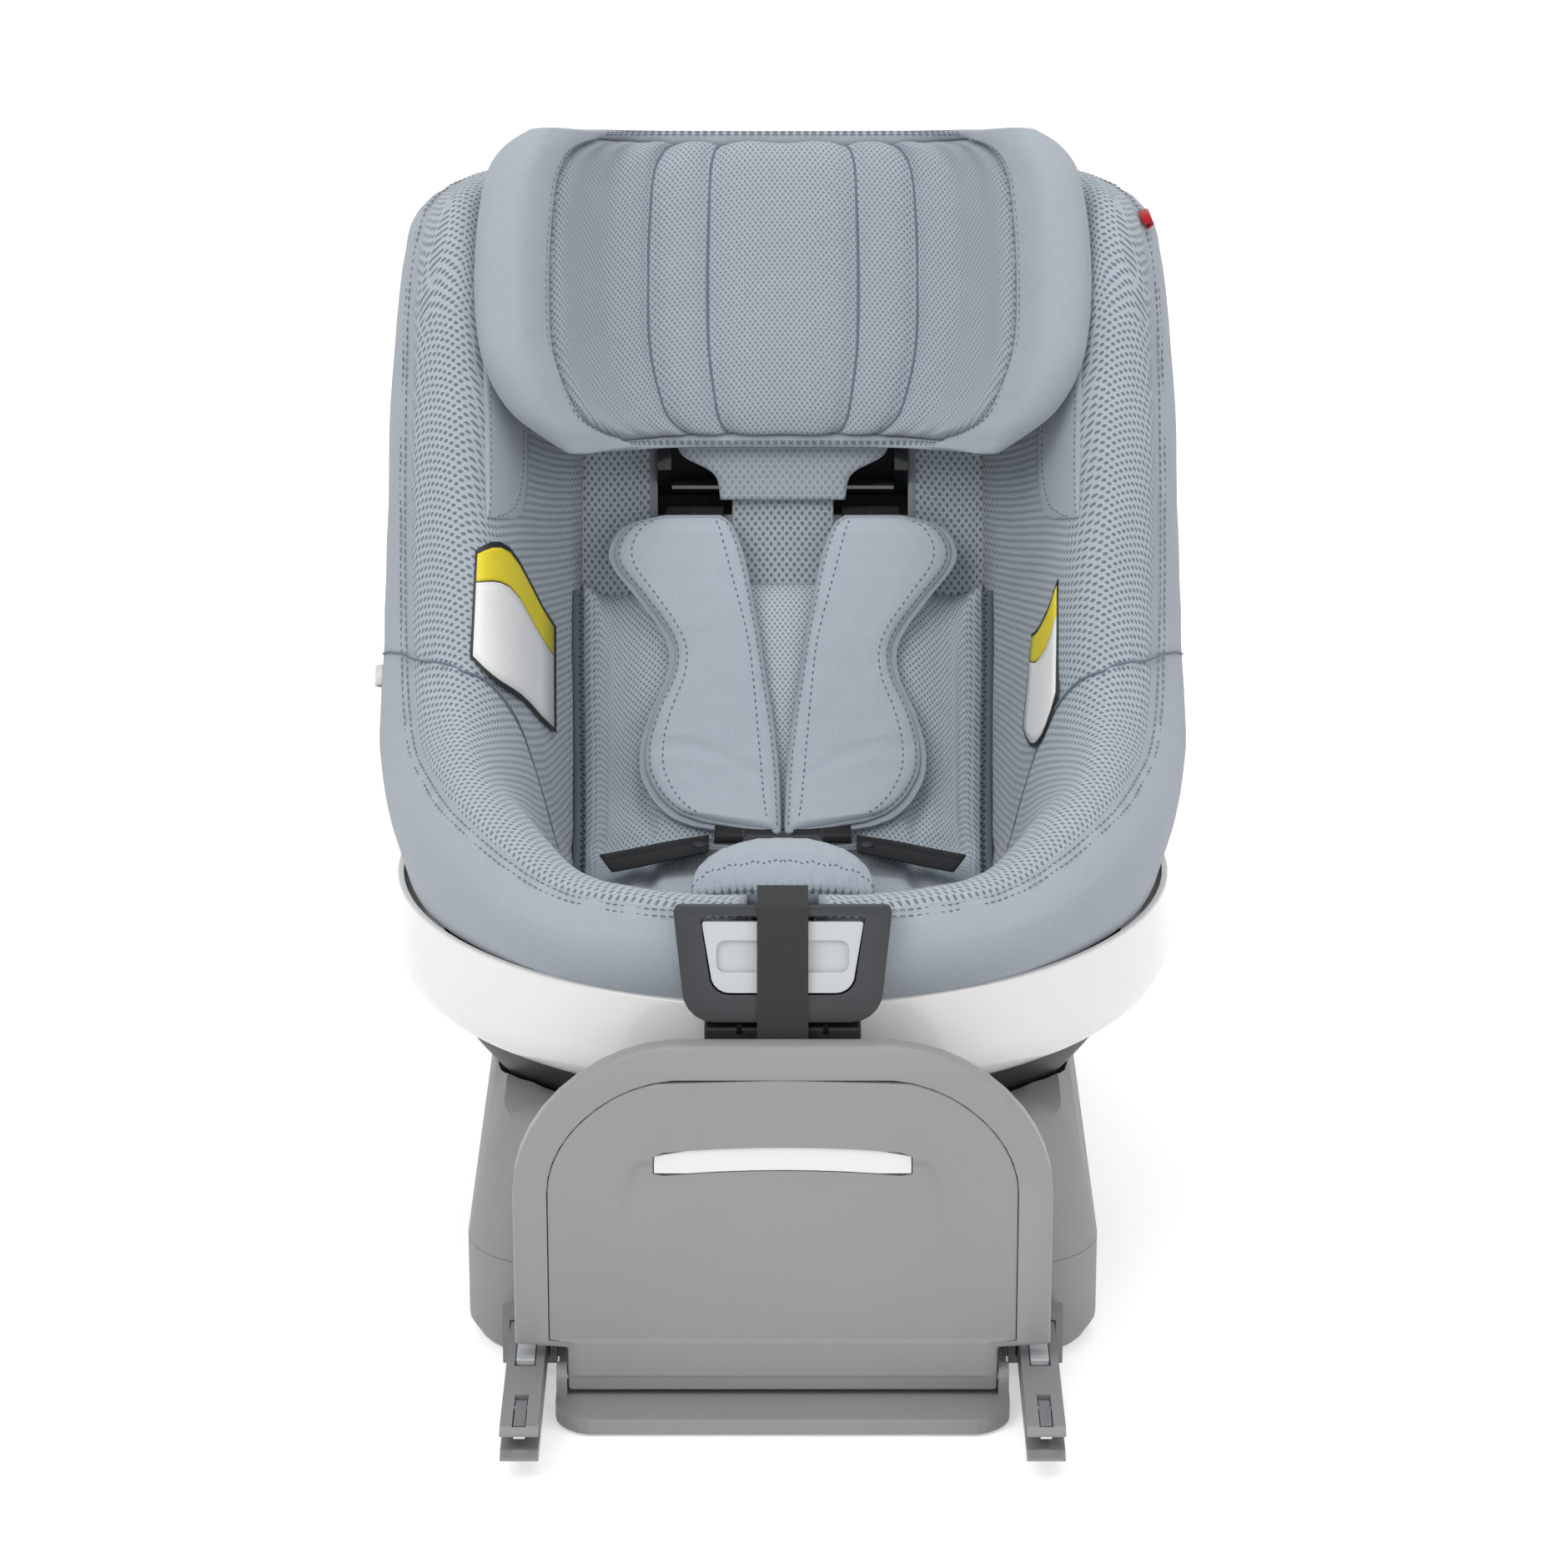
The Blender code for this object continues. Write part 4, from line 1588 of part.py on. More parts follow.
def insert_cushion():
    """Newborn insert over the floor and the lower back, with a crown, two channels and a fold."""
    upper = []
    under = []
    for share in INSERT_ACROSS_share:
        top = []
        low = []
        for step in range(INSERT_STEPS + 1):
            u = step / INSERT_STEPS
            column = INSERT_FRONT_COLUMN + (INSERT_TOP_COLUMN - INSERT_FRONT_COLUMN) * u
            narrow = 1.0 - INSERT_WAIST_share * math.sin(math.pi * u) ** 2
            point, normal = liner_spot(share * INSERT_HALF_WIDTH * narrow, column)
            base = point + normal * INSERT_LIFT
            rise = normal * insert_height(share, u)
            if share == 0:
                base.x = 0
                rise.x = 0
            low.append(base)
            top.append(base + rise)
        upper.append(top)
        under.append(low)
    cushion = between("insert_cushion", upper, under, "mesh")
    slot = block("crotch_slot", (-CROTCH_SLOT_HALF, CROTCH_Y - WEB_THICK, SEAT_FLOOR_Z),
                 (CROTCH_SLOT_HALF, CROTCH_Y + WEB_THICK * 2.5, SEAT_FLOOR_Z + INSERT_THICK * 4), "mesh")
    cut(cushion, slot)
    smooth(cushion, 50.0)


def wall_spot(row, column):
    """Point and normal of the padded side at grid coordinates."""
    r = min(int(row), len(GRID) - 2)
    c = min(int(column), len(GRID[0]) - 2)
    a = GRID[r][c].lerp(GRID[r][c + 1], column - c)
    b = GRID[r + 1][c].lerp(GRID[r + 1][c + 1], column - c)
    n = NORMALS[r][c].lerp(NORMALS[r][c + 1], column - c)
    m = NORMALS[r + 1][c].lerp(NORMALS[r + 1][c + 1], column - c)
    return a.lerp(b, row - r), n.lerp(m, row - r).normalized()


def wing_pads():
    """Thin padded plates with one straight side on the inner walls."""
    upper = []
    under = []
    for i in range(WING_STEPS + 1):
        a = -1 + 2 * i / WING_STEPS
        top = []
        low = []
        for j in range(WING_STEPS + 1):
            b = -1 + 2 * j / WING_STEPS
            row = WING_ROW + a * WING_ROW_SPAN
            reach = WING_COLUMN_SPAN * math.sqrt(1 - WING_TAPER_share * max(0.0, a) ** 2)
            point, normal = wall_spot(row, WING_COLUMN + b * reach)
            crown = (1 - a ** 4) * (1 - b ** 4)
            low.append(point + normal * WING_LIFT)
            height = WING_PAD_THICK * (EDGE_share + (1 - EDGE_share) * crown)
            top.append(point + normal * (WING_LIFT + height))
        upper.append(top)
        under.append(low)
    pad = between("wing_pad_right", upper, under, "knit", mirror=False)
    mirror_copy(pad, "wing_pad_left")


def back_line(column, lift):
    """Point and normal in the middle plane, lifted off the padding."""
    point, normal = liner_spot(0.0, column)
    return point + normal * lift, normal


def strap_station(column, lift, across):
    """A station of a band that lies on the padding."""
    point, normal = back_line(column, lift)
    return ((across, point.y, point.z), (1, 0, 0), normal)


def harness():
    """Shoulder straps and pads, tongues and lap straps on both sides."""
    strap_lift = INSERT_LIFT + INSERT_THICK + SLIP * 3 + WEB_THICK / 2
    pad_lift = strap_lift + WEB_THICK / 2 + SLIP
    stations = [((STRAP_TOP_X, SLOT_STRAP_Y, SLOT_STRAP_Z), (1, 0, 0), tuple(BACK_UP))]
    for share, lift_share in STRAP_RUN_share:
        column = PAD_TOP_COLUMN + (STRAP_FOOT_COLUMN - PAD_TOP_COLUMN) * share
        x = STRAP_TOP_X + (STRAP_FOOT_X - STRAP_TOP_X) * share
        stations.append(strap_station(column, strap_lift * lift_share, x))
    high = TONGUE_Z + STRAP_RISE
    stations.append(((STRAP_FOOT_X, TONGUE_SLOT_Y + STRAP_FLAT, high), (1, 0, 0), (0, 0, 1)))
    stations.append(((STRAP_FOOT_X, TONGUE_SLOT_Y + WEB_THICK / 2, high), (1, 0, 0), (0, -1, 1)))
    stations.append(((STRAP_FOOT_X, TONGUE_SLOT_Y, TONGUE_Z + SLIP), (1, 0, 0), (0, -1, 0)))
    strap = ribbon("shoulder_strap_right", stations, WEB_WIDTH, WEB_THICK, "webbing")
    mirror_copy(strap, "shoulder_strap_left")
    shoulder_pad(pad_lift)
    tongue()
    lap = [((x * TONGUE_OUTER_X, y * TONGUE_SLOT_Y, z * TONGUE_Z), a, n)
           for x, y, z, a, n in LAP_RUN_share]
    band = ribbon("lap_strap_right", lap, LAP_WIDTH, WEB_THICK, "webbing")
    mirror_copy(band, "lap_strap_left")


def shoulder_pad(lift):
    """Quilted pad with waist and lower lobe, on the strap."""
    upper = []
    under = []
    for share, inner, outer in PAD_OUTLINE_share:
        column = PAD_TOP_COLUMN + (PAD_FOOT_COLUMN - PAD_TOP_COLUMN) * share
        top = []
        low = []
        for t in PAD_ACROSS_share:
            x = (inner + (outer - inner) * t) * PAD_WIDTH
            crown = 1 - (2 * t - 1) ** 4
            end = min(1.0, share / PAD_END_share, (1 - share) / PAD_END_share)
            point, normal = back_line(column, lift)
            height = PAD_THICK * (EDGE_share + (1 - EDGE_share) * crown * end)
            low.append(Vector((x, point.y, point.z)))
            top.append(Vector((x, point.y, point.z)) + normal * height)
        upper.append(top)
        under.append(low)
    pad = between("shoulder_pad_right", upper, under, "knit", mirror=False)
    mirror_copy(pad, "shoulder_pad_left")


def tongue():
    """Buckle tongue: blade, shoulder and bar with its slot."""
    outer = TONGUE_OUTER_X
    inner = TONGUE_INNER_X
    blade = TONGUE_BLADE_X
    rear = TONGUE_SLOT_Y + TONGUE_BAR
    front = TONGUE_SLOT_Y - TONGUE_BAR * 2
    outline = [(inner, TONGUE_TIP_Y), (blade, TONGUE_TIP_Y), (blade, front),
               (outer, TONGUE_SLOT_Y - TONGUE_BAR), (outer, rear), (inner, rear)]
    place = Matrix.Translation((0, 0, TONGUE_Z))
    item = plate("tongue_right", outline, TONGUE_THICK, "steel", place)
    half = TONGUE_SLOT_HALF
    slot = block("tongue_slot", (inner + TONGUE_RIM, TONGUE_SLOT_Y - half,
                                 TONGUE_Z - TONGUE_THICK),
                 (outer - TONGUE_RIM, TONGUE_SLOT_Y + half, TONGUE_Z + TONGUE_THICK), "steel")
    cut(item, slot)
    bevel(item, GAP, 1)
    settle(item)
    mirror_copy(item, "tongue_left")


def buckle():
    """Buckle body with two tongue openings, its button, its pad and the crotch strap."""
    half = BUCKLE_WIDTH / 2
    low = BUCKLE_LOW_Z
    top = low + BUCKLE_THICK
    rear = BUCKLE_FRONT_Y + BUCKLE_HEIGHT
    body = block("buckle", (-half, BUCKLE_FRONT_Y, low), (half, rear, top), "black")
    bevel(body, BUCKLE_EDGE, 3)
    settle(body)
    cutters = []
    for side in (-1, 1):
        sides = sorted((side * (TONGUE_INNER_X - SLIP), side * (TONGUE_BLADE_X + SLIP)))
        cutters.append(block("tongue_mouth", (sides[0], TONGUE_TIP_Y - SLIP,
                                              TONGUE_Z - TONGUE_THICK / 2 - SLIP),
                             (sides[1], rear + OVERRUN, TONGUE_Z + TONGUE_THICK / 2 + SLIP),
                             "black"))
    button_half = BUCKLE_BUTTON_SIDE / 2
    middle = BUCKLE_FRONT_Y + BUCKLE_BUTTON_share * BUCKLE_HEIGHT
    depth = BUCKLE_BUTTON_TRAVEL + BUCKLE_BUTTON_THICK + GAP
    cutters.append(block("buckle_well", (-button_half - SLIP, middle - button_half - SLIP, top - depth),
                         (button_half + SLIP, middle + button_half + SLIP, top + OVERRUN), "black"))
    cut(body, *cutters)
    smooth(body)
    button = block("buckle_button", (-button_half, middle - button_half,
                                     top - BUCKLE_BUTTON_THICK),
                   (button_half, middle + button_half, top), "red")
    bevel(button, GAP * 2, 2)
    buckle_pad(top)
    side_band("crotch_strap", [(BUCKLE_FRONT_Y - SLIP, TONGUE_Z), (CROTCH_Y + WEB_THICK * 5, TONGUE_Z),
                               (CROTCH_Y + WEB_THICK * 2, TONGUE_Z - WEB_THICK),
                               (CROTCH_Y, TONGUE_Z - WEB_THICK * 4), (CROTCH_Y, CROTCH_LOW_Z)],
              0, CROTCH_SLOT_HALF * 2 - SLIP * 2, WEB_THICK, "webbing")


def buckle_pad(top):
    """Gathered pad over the front of the buckle."""
    upper = []
    under = []
    for i in range(BUCKLE_PAD_STEPS + 1):
        t = 1 - i / BUCKLE_PAD_STEPS
        x = BUCKLE_PAD_HALF * t
        arch = math.sqrt(max(0.0, 1 - t ** 2))
        rear = BUCKLE_PAD_FRONT_Y + BUCKLE_PAD_DEPTH * (DOME_FOOT_share + (1 - DOME_FOOT_share) * arch)
        ruffle = RUFFLE * math.cos(i * math.pi)
        edge = []
        foot = []
        for j in range(5):
            s = j / 4
            y = BUCKLE_PAD_FRONT_Y + (rear - BUCKLE_PAD_FRONT_Y) * s + ruffle * (1 - s)
            lift = math.sqrt(math.sin(math.pi * (DOME_TURN_share + DOME_SPAN_share * s)))
            rise = top + BUCKLE_PAD_WALL - BUCKLE_PAD_LOW_Z
            dome = DOME_EDGE_share + (1 - DOME_EDGE_share) * math.sqrt(arch)
            z = BUCKLE_PAD_LOW_Z + rise * dome * lift
            edge.append(Vector((x, y, z)))
            foot.append(Vector((x, y, BUCKLE_PAD_LOW_Z)))
        upper.append(edge)
        under.append(foot)
    pad = between("buckle_pad", upper, under, "knit")
    half = BUCKLE_WIDTH / 2
    room = block("buckle_room", (-half - SLIP, BUCKLE_FRONT_Y - SLIP, BUCKLE_LOW_Z - OVERRUN),
                 (half + SLIP, BUCKLE_FRONT_Y + BUCKLE_HEIGHT, top + SLIP), "knit")
    tunnel = block("strap_tunnel", (-CROTCH_SLOT_HALF, BUCKLE_PAD_FRONT_Y - OVERRUN * 2,
                                    BUCKLE_LOW_Z - OVERRUN),
                   (CROTCH_SLOT_HALF, BUCKLE_FRONT_Y, TONGUE_Z + WEB_THICK + SLIP), "knit")
    cut(pad, room, tunnel)
    smooth(pad, 50.0)


def main():
    """Makes all pieces, body by body."""
    base_tray()
    base_lip()
    base_cover()
    bearing_ring()
    guides_and_strips()
    isofix_frame()
    connectors()
    rebound_panel()
    support_leg()
    bucket()
    turntable()
    runners()
    front_bezel()
    adjuster_strap(adjuster())
    slots_in_back()
    headrest()
    head_fittings()
    lever()
    insert_cushion()
    wing_pads()
    harness()
    buckle()


main()
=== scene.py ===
import math

import bmesh
import numpy as np
import bpy
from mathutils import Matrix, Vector, noise
from mathutils.bvhtree import BVHTree


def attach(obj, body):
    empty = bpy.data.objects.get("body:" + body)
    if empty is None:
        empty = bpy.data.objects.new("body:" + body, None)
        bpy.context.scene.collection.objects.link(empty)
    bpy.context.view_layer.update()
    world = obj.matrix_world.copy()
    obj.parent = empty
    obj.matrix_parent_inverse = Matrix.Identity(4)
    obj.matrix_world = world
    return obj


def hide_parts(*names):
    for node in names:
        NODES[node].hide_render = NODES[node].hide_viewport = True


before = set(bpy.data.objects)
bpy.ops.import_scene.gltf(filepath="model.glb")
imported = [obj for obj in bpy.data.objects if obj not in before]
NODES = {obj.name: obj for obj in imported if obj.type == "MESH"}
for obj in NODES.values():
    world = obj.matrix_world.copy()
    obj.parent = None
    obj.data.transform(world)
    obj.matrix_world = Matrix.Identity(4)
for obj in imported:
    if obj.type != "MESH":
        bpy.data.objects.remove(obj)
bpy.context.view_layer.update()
COLLECTION = bpy.context.scene.collection
SIDES = ((1, "right"), (-1, "left"))

# Sizes shared with the solids
SEAT_HALF_WIDTH = 0.2235
SEAT_REACH = 0.345
SEAT_FLOOR_Z = 0.183
SEAT_RISE = 0.422
BACK_TILT = math.atan2(0.151 * SEAT_REACH, 0.265 * SEAT_RISE)

# Points closer than this are one point
TOUCH = 1e-5


# Materials
def new_material(name):
    """An empty node material: its tree and its Principled shader."""
    made = bpy.data.materials.new(name)
    made.use_nodes = True
    tree = made.node_tree
    return made, tree, tree.nodes["Principled BSDF"]


def put(tree, kind, **values):
    """Adds a node and sets its inputs or properties."""
    node = tree.nodes.new(kind)
    for key, value in values.items():
        if hasattr(node, key):
            setattr(node, key, value)
        else:
            node.inputs[key.replace("_", " ")].default_value = value
    return node


def math_node(tree, operation, a, b=None, c=None, clamp=False):
    """A Math node fed by sockets or numbers."""
    node = tree.nodes.new("ShaderNodeMath")
    node.operation = operation
    node.use_clamp = clamp
    for index, value in enumerate((a, b, c)):
        if value is None:
            continue
        if isinstance(value, (int, float)):
            node.inputs[index].default_value = value
        else:
            tree.links.new(value, node.inputs[index])
    return node.outputs[0]


def blend_colours(tree, factor, first, second):
    """Mixes two colours or colour sockets."""
    node = tree.nodes.new("ShaderNodeMix")
    node.data_type = "RGBA"
    for index, value in ((0, factor), (6, first), (7, second)):
        socket = node.inputs[index]
        if isinstance(value, (int, float)):
            socket.default_value = value
        elif isinstance(value, tuple):
            socket.default_value = (*value, 1.0)
        else:
            tree.links.new(value, socket)
    return node.outputs[2]


def bump(tree, shader, height, strength, distance, under=None):
    """A normal from a height, fed into the shader where one is given."""
    node = tree.nodes.new("ShaderNodeBump")
    node.inputs["Strength"].default_value = strength
    node.inputs["Distance"].default_value = distance
    tree.links.new(height, node.inputs["Height"])
    if under is not None:
        tree.links.new(under, node.inputs["Normal"])
    if shader is not None:
        tree.links.new(node.outputs["Normal"], shader.inputs["Normal"])
    return node.outputs["Normal"]


def scaled(colour, factor):
    """A colour made paler or darker."""
    return tuple(min(1.0, c * factor) for c in colour)


def object_point(tree):
    """Object coordinates."""
    return put(tree, "ShaderNodeTexCoord").outputs["Object"]


def noise_at(tree, vector, scale, detail=3.0, rough=0.5):
    """Noise on object coordinates."""
    node = put(tree, "ShaderNodeTexNoise", Scale=scale, Detail=detail, Roughness=rough)
    tree.links.new(vector, node.inputs["Vector"])
    return node.outputs["Fac"]


def plastic(name, colour, rough=0.45, grain=0.35, grain_size=1400.0, coat=0.0, mottle=0.06,
            edge_highlight=0.25):
    """Moulded plastic: fine grain, uneven gloss and a painted highlight that pales its edges."""
    made, tree, shader = new_material(name)
    point = object_point(tree)
    broad = noise_at(tree, point, 14.0, 4.0)
    fine = noise_at(tree, point, grain_size, 2.0, 0.6)
    base = blend_colours(tree, broad, scaled(colour, 1 - mottle), scaled(colour, 1 + mottle))
    # Painted highlight: convex edges, found by their pointiness, are paled towards a lighter
    # colour.
    edge = put(tree, "ShaderNodeNewGeometry").outputs["Pointiness"]
    rim = math_node(tree, "MULTIPLY", math_node(tree, "SUBTRACT", edge, 0.52, clamp=True),
                    5.0 * edge_highlight, clamp=True)
    highlight_colour = tuple(min(1.0, c * 1.25 + 0.02) for c in colour)
    tree.links.new(blend_colours(tree, rim, base, highlight_colour), shader.inputs["Base Color"])
    spread = math_node(tree, "MULTIPLY_ADD", broad, 0.12, rough - 0.06)
    tree.links.new(spread, shader.inputs["Roughness"])
    shader.inputs["Coat Weight"].default_value = coat
    shader.inputs["Coat Roughness"].default_value = 0.08
    bump(tree, shader, fine, grain, 0.00012)
    return made


def metal(name, colour, rough=0.3, streak=120.0):
    """Plated steel with faint drawing lines."""
    made, tree, shader = new_material(name)
    point = object_point(tree)
    lines = put(tree, "ShaderNodeMapping")
    lines.inputs["Scale"].default_value = (streak * 6, streak * 0.3, streak * 6)
    tree.links.new(point, lines.inputs["Vector"])
    drawn = noise_at(tree, lines.outputs["Vector"], 1.0, 3.0)
    broad = noise_at(tree, point, 22.0, 4.0)
    base = blend_colours(tree, broad, scaled(colour, 0.88), colour)
    tree.links.new(base, shader.inputs["Base Color"])
    gloss = math_node(tree, "MULTIPLY_ADD", drawn, 0.2, rough - 0.1)
    tree.links.new(gloss, shader.inputs["Roughness"])
    shader.inputs["Metallic"].default_value = 1.0
    bump(tree, shader, drawn, 0.15, 0.00008)
    return made


def cloth_plane(tree):
    """The cloth's own two coordinates, in metres, stored on its points."""
    node = tree.nodes.new("ShaderNodeAttribute")
    node.attribute_name = "cloth"
    split = tree.nodes.new("ShaderNodeSeparateXYZ")
    tree.links.new(node.outputs["Vector"], split.inputs[0])
    return split.outputs[0], split.outputs[1], split.outputs[2]


def ripple(tree, value, pitch, shift=0.0):
    """A sine of a length, from -1 to 1, with a pitch."""
    turned = math_node(tree, "MULTIPLY_ADD", value, 2 * math.pi / pitch, shift)
    return math_node(tree, "SINE", turned)


def knit_height(tree, u, v, pitch=0.0011):
    """Small columns of knitted loops."""
    lean = math_node(tree, "MULTIPLY", ripple(tree, v, pitch * 2), pitch * 0.25)
    across = ripple(tree, math_node(tree, "ADD", u, lean), pitch)
    along = ripple(tree, v, pitch * 0.8)
    both = math_node(tree, "MULTIPLY_ADD", along, 0.35, across)
    return math_node(tree, "MULTIPLY_ADD", both, 0.37, 0.5)


def hole_mask(tree, u, v, wide, tall):
    """1 in the holes of a staggered net, 0 on its threads."""
    a = math_node(tree, "COSINE", math_node(tree, "MULTIPLY", u, 2 * math.pi / wide))
    b = math_node(tree, "COSINE", math_node(tree, "MULTIPLY", v, 2 * math.pi / tall))
    both = math_node(tree, "SUBTRACT", math_node(tree, "MULTIPLY", a, b), 0.22, clamp=True)
    return math_node(tree, "SMOOTH_MIN", 1.0, math_node(tree, "MULTIPLY", both, 3.2), 0.1)


def heather(tree, point, colour, amount):
    """Yarn that varies in tone along its length."""
    fleck = noise_at(tree, point, 900.0, 2.0, 0.7)
    cloudy = noise_at(tree, point, 26.0, 4.0)
    base = blend_colours(tree, fleck, scaled(colour, 1 - amount), scaled(colour, 1 + amount))
    return blend_colours(tree, math_node(tree, "MULTIPLY", cloudy, 0.22), base, scaled(colour, 0.8))


def knitted(tree, point, loops, colour, amount):
    """Colour of a knit: heathered yarn with painted shade that darkens it between its loops."""
    # Painted shade: the low places between the loops get a darker colour.
    return blend_colours(tree, math_node(tree, "MULTIPLY_ADD", loops, 0.3, 0.7),
                         scaled(colour, 0.72), heather(tree, point, colour, amount))


def wrinkled(tree, point, scale, strength):
    """Shallow unevenness below the weave."""
    return bump(tree, None, noise_at(tree, point, scale, 4.0, 0.55), strength, 0.0012)


def soft_finish(shader, rough=0.9, sheen=0.35):
    """Values shared by all fabrics."""
    shader.inputs["Roughness"].default_value = rough
    shader.inputs["Sheen Weight"].default_value = sheen
    shader.inputs["Sheen Roughness"].default_value = 0.45
    shader.inputs["Specular IOR Level"].default_value = 0.15


def knit(name, colour, amount=0.13):
    """Plain fine knit."""
    made, tree, shader = new_material(name)
    u, v, _ = cloth_plane(tree)
    point = object_point(tree)
    loops = knit_height(tree, u, v)
    tree.links.new(knitted(tree, point, loops, colour, amount), shader.inputs["Base Color"])
    soft_finish(shader)
    bump(tree, shader, loops, 0.5, 0.00022, wrinkled(tree, point, 55.0, 0.35))
    return made


def spacer(name, thread, deep, wide=0.0040, tall=0.0052, plain=None):
    """Two-layer net: pale threads round staggered holes, in which the lower layer shows, darkened
    by painted shade.
    With plain given, the third stored value above zero shows plain knit instead."""
    made, tree, shader = new_material(name)
    u, v, zone = cloth_plane(tree)
    point = object_point(tree)
    holes = hole_mask(tree, u, v, wide, tall)
    # The holes show the ground colour: the lower layer's own tone with painted shade, darker than
    # the threads.
    base = blend_colours(tree, holes, heather(tree, point, thread, 0.12),
                         heather(tree, point, deep, 0.22))
    fuzz = math_node(tree, "MULTIPLY_ADD", noise_at(tree, point, 1500.0, 2.0), 0.2, 0.8)
    height = math_node(tree, "MULTIPLY_ADD", holes, -0.75, fuzz)
    if plain:
        loops = knit_height(tree, u, v)
        side = math_node(tree, "MULTIPLY_ADD", zone, 2500.0, 0.5, clamp=True)
        base = blend_colours(tree, side, base, knitted(tree, point, loops, plain, 0.13))
        quiet = math_node(tree, "MULTIPLY_ADD", loops, 0.25, 0.6)
        mixer = tree.nodes.new("ShaderNodeMix")
        for index, value in ((0, side), (2, height), (3, quiet)):
            tree.links.new(value, mixer.inputs[index])
        height = mixer.outputs[0]
    tree.links.new(base, shader.inputs["Base Color"])
    soft_finish(shader, 0.92, 0.3)
    bump(tree, shader, height, 0.8, 0.0006, wrinkled(tree, point, 45.0, 0.3))
    return made


def webbing(name, colour=(0.0085, 0.0085, 0.0092)):
    """Ribbed harness webbing with edges and a centre line, and a painted highlight on its raised
    ribs.
    """
    made, tree, shader = new_material(name)
    u, v, _ = cloth_plane(tree)
    point = object_point(tree)
    ribs = ripple(tree, v, 0.0016)
    weave = ripple(tree, math_node(tree, "ADD", u, math_node(tree, "MULTIPLY", v, 0.5)), 0.0022)
    height = math_node(tree, "MULTIPLY_ADD", weave, 0.5, ribs)
    height = math_node(tree, "MULTIPLY_ADD", height, 0.3, 0.5)
    line = math_node(tree, "LESS_THAN", math_node(tree, "ABSOLUTE", u), 0.0007)
    base = heather(tree, point, colour, 0.3)
    # Painted highlight: the raised ribs and weave are paled towards a lighter colour.
    base = blend_colours(tree, math_node(tree, "MULTIPLY", height, 0.5), base,
                         scaled(colour, 2.2))
    base = blend_colours(tree, math_node(tree, "MULTIPLY", line, 0.6), base, (0.045, 0.045, 0.047))
    tree.links.new(base, shader.inputs["Base Color"])
    soft_finish(shader, 0.62, 0.05)
    shader.inputs["Specular IOR Level"].default_value = 0.25
    bump(tree, shader, height, 0.9, 0.0005)
    return made


BLUE = (0.368, 0.408, 0.458)
NET = (0.385, 0.432, 0.475)
# Ground of the nets: the lower layer's colour, darkened as painted shade in the holes.
SHADED_GROUND = (0.150, 0.185, 0.225)
MATERIALS = {
    "knit": knit("knit", BLUE),
    "cover": spacer("cover", NET, SHADED_GROUND, 0.0046, 0.0062, plain=BLUE),
    "net": spacer("net", NET, SHADED_GROUND, 0.0046, 0.0062, plain=BLUE),
    "fine_net": spacer("fine_net", scaled(NET, 0.97), (0.20, 0.235, 0.275), 0.0032, 0.0042),
    # Lighter copy of the fine net for the insert: painted light that cancels the shade the insert
    # gets in the seat's hollow.
    "insert_net": spacer("insert_net", scaled(NET, 1.2), (0.23, 0.27, 0.315), 0.0032,
                         0.0042),
    "pad_knit": knit("pad_knit", scaled(BLUE, 1.17)),
    "webbing": webbing("webbing"),
    "stitch": knit("stitch", (0.15, 0.185, 0.235)),
    "binding": knit("binding", (0.33, 0.37, 0.42)),
    "zip": knit("zip", (0.040, 0.058, 0.082)),
    "zip_tape": knit("zip_tape", (0.115, 0.145, 0.185)),
    "red_cloth": knit("red_cloth", (0.42, 0.018, 0.02)),
    "pale_cloth": knit("pale_cloth", (0.70, 0.72, 0.73)),
    "black": plastic("black", (0.022, 0.022, 0.024), 0.5, 0.7, 700.0),
    "bowl": plastic("bowl", (0.020, 0.020, 0.021), 0.55, 0.8, 500.0),
    "gloss": plastic("gloss", (0.010, 0.010, 0.011), 0.14, 0.05, coat=0.6),
    "bezel": plastic("bezel", (0.028, 0.030, 0.034), 0.42, 0.35, 1100.0),
    "white": plastic("white", (0.78, 0.77, 0.76), 0.22, 0.04, coat=0.5, mottle=0.015, edge_highlight=0.0),
    # Grey for the ring's lower lip: painted shade on the white ring's underside.
    "lip": plastic("lip", (0.42, 0.42, 0.425), 0.35, 0.2),
    "handle": plastic("handle", (0.50, 0.52, 0.54), 0.30, 0.1, coat=0.25, mottle=0.04),
    "base": plastic("base", (0.268, 0.264, 0.264), 0.55, 0.9, 420.0),
    "panel": plastic("panel", (0.275, 0.278, 0.282), 0.42, 0.35, 900.0, coat=0.08),
    "inset": plastic("inset", (0.285, 0.282, 0.282), 0.5, 0.55, 800.0),
    "arm": plastic("arm", (0.225, 0.228, 0.23), 0.4, 0.3, 900.0),
    "shell": plastic("shell", (0.03, 0.03, 0.032), 0.55, 0.9, 450.0),
    "rubber": plastic("rubber", (0.018, 0.018, 0.018), 0.85, 0.8, 300.0),
    "red": plastic("red", (0.50, 0.02, 0.018), 0.35, 0.1, coat=0.3),
    "steel": metal("steel", (0.55, 0.56, 0.58)),
    "tag_white": plastic("tag_white", (0.80, 0.80, 0.79), 0.5, 0.3, 500.0, mottle=0.02, edge_highlight=0.0),
    "tag_yellow": plastic("tag_yellow", (0.76, 0.62, 0.02), 0.5, 0.3, 500.0, mottle=0.03, edge_highlight=0.0),
    "tag_black": plastic("tag_black", (0.02, 0.02, 0.02), 0.5, 0.3, 500.0, edge_highlight=0.0),
}


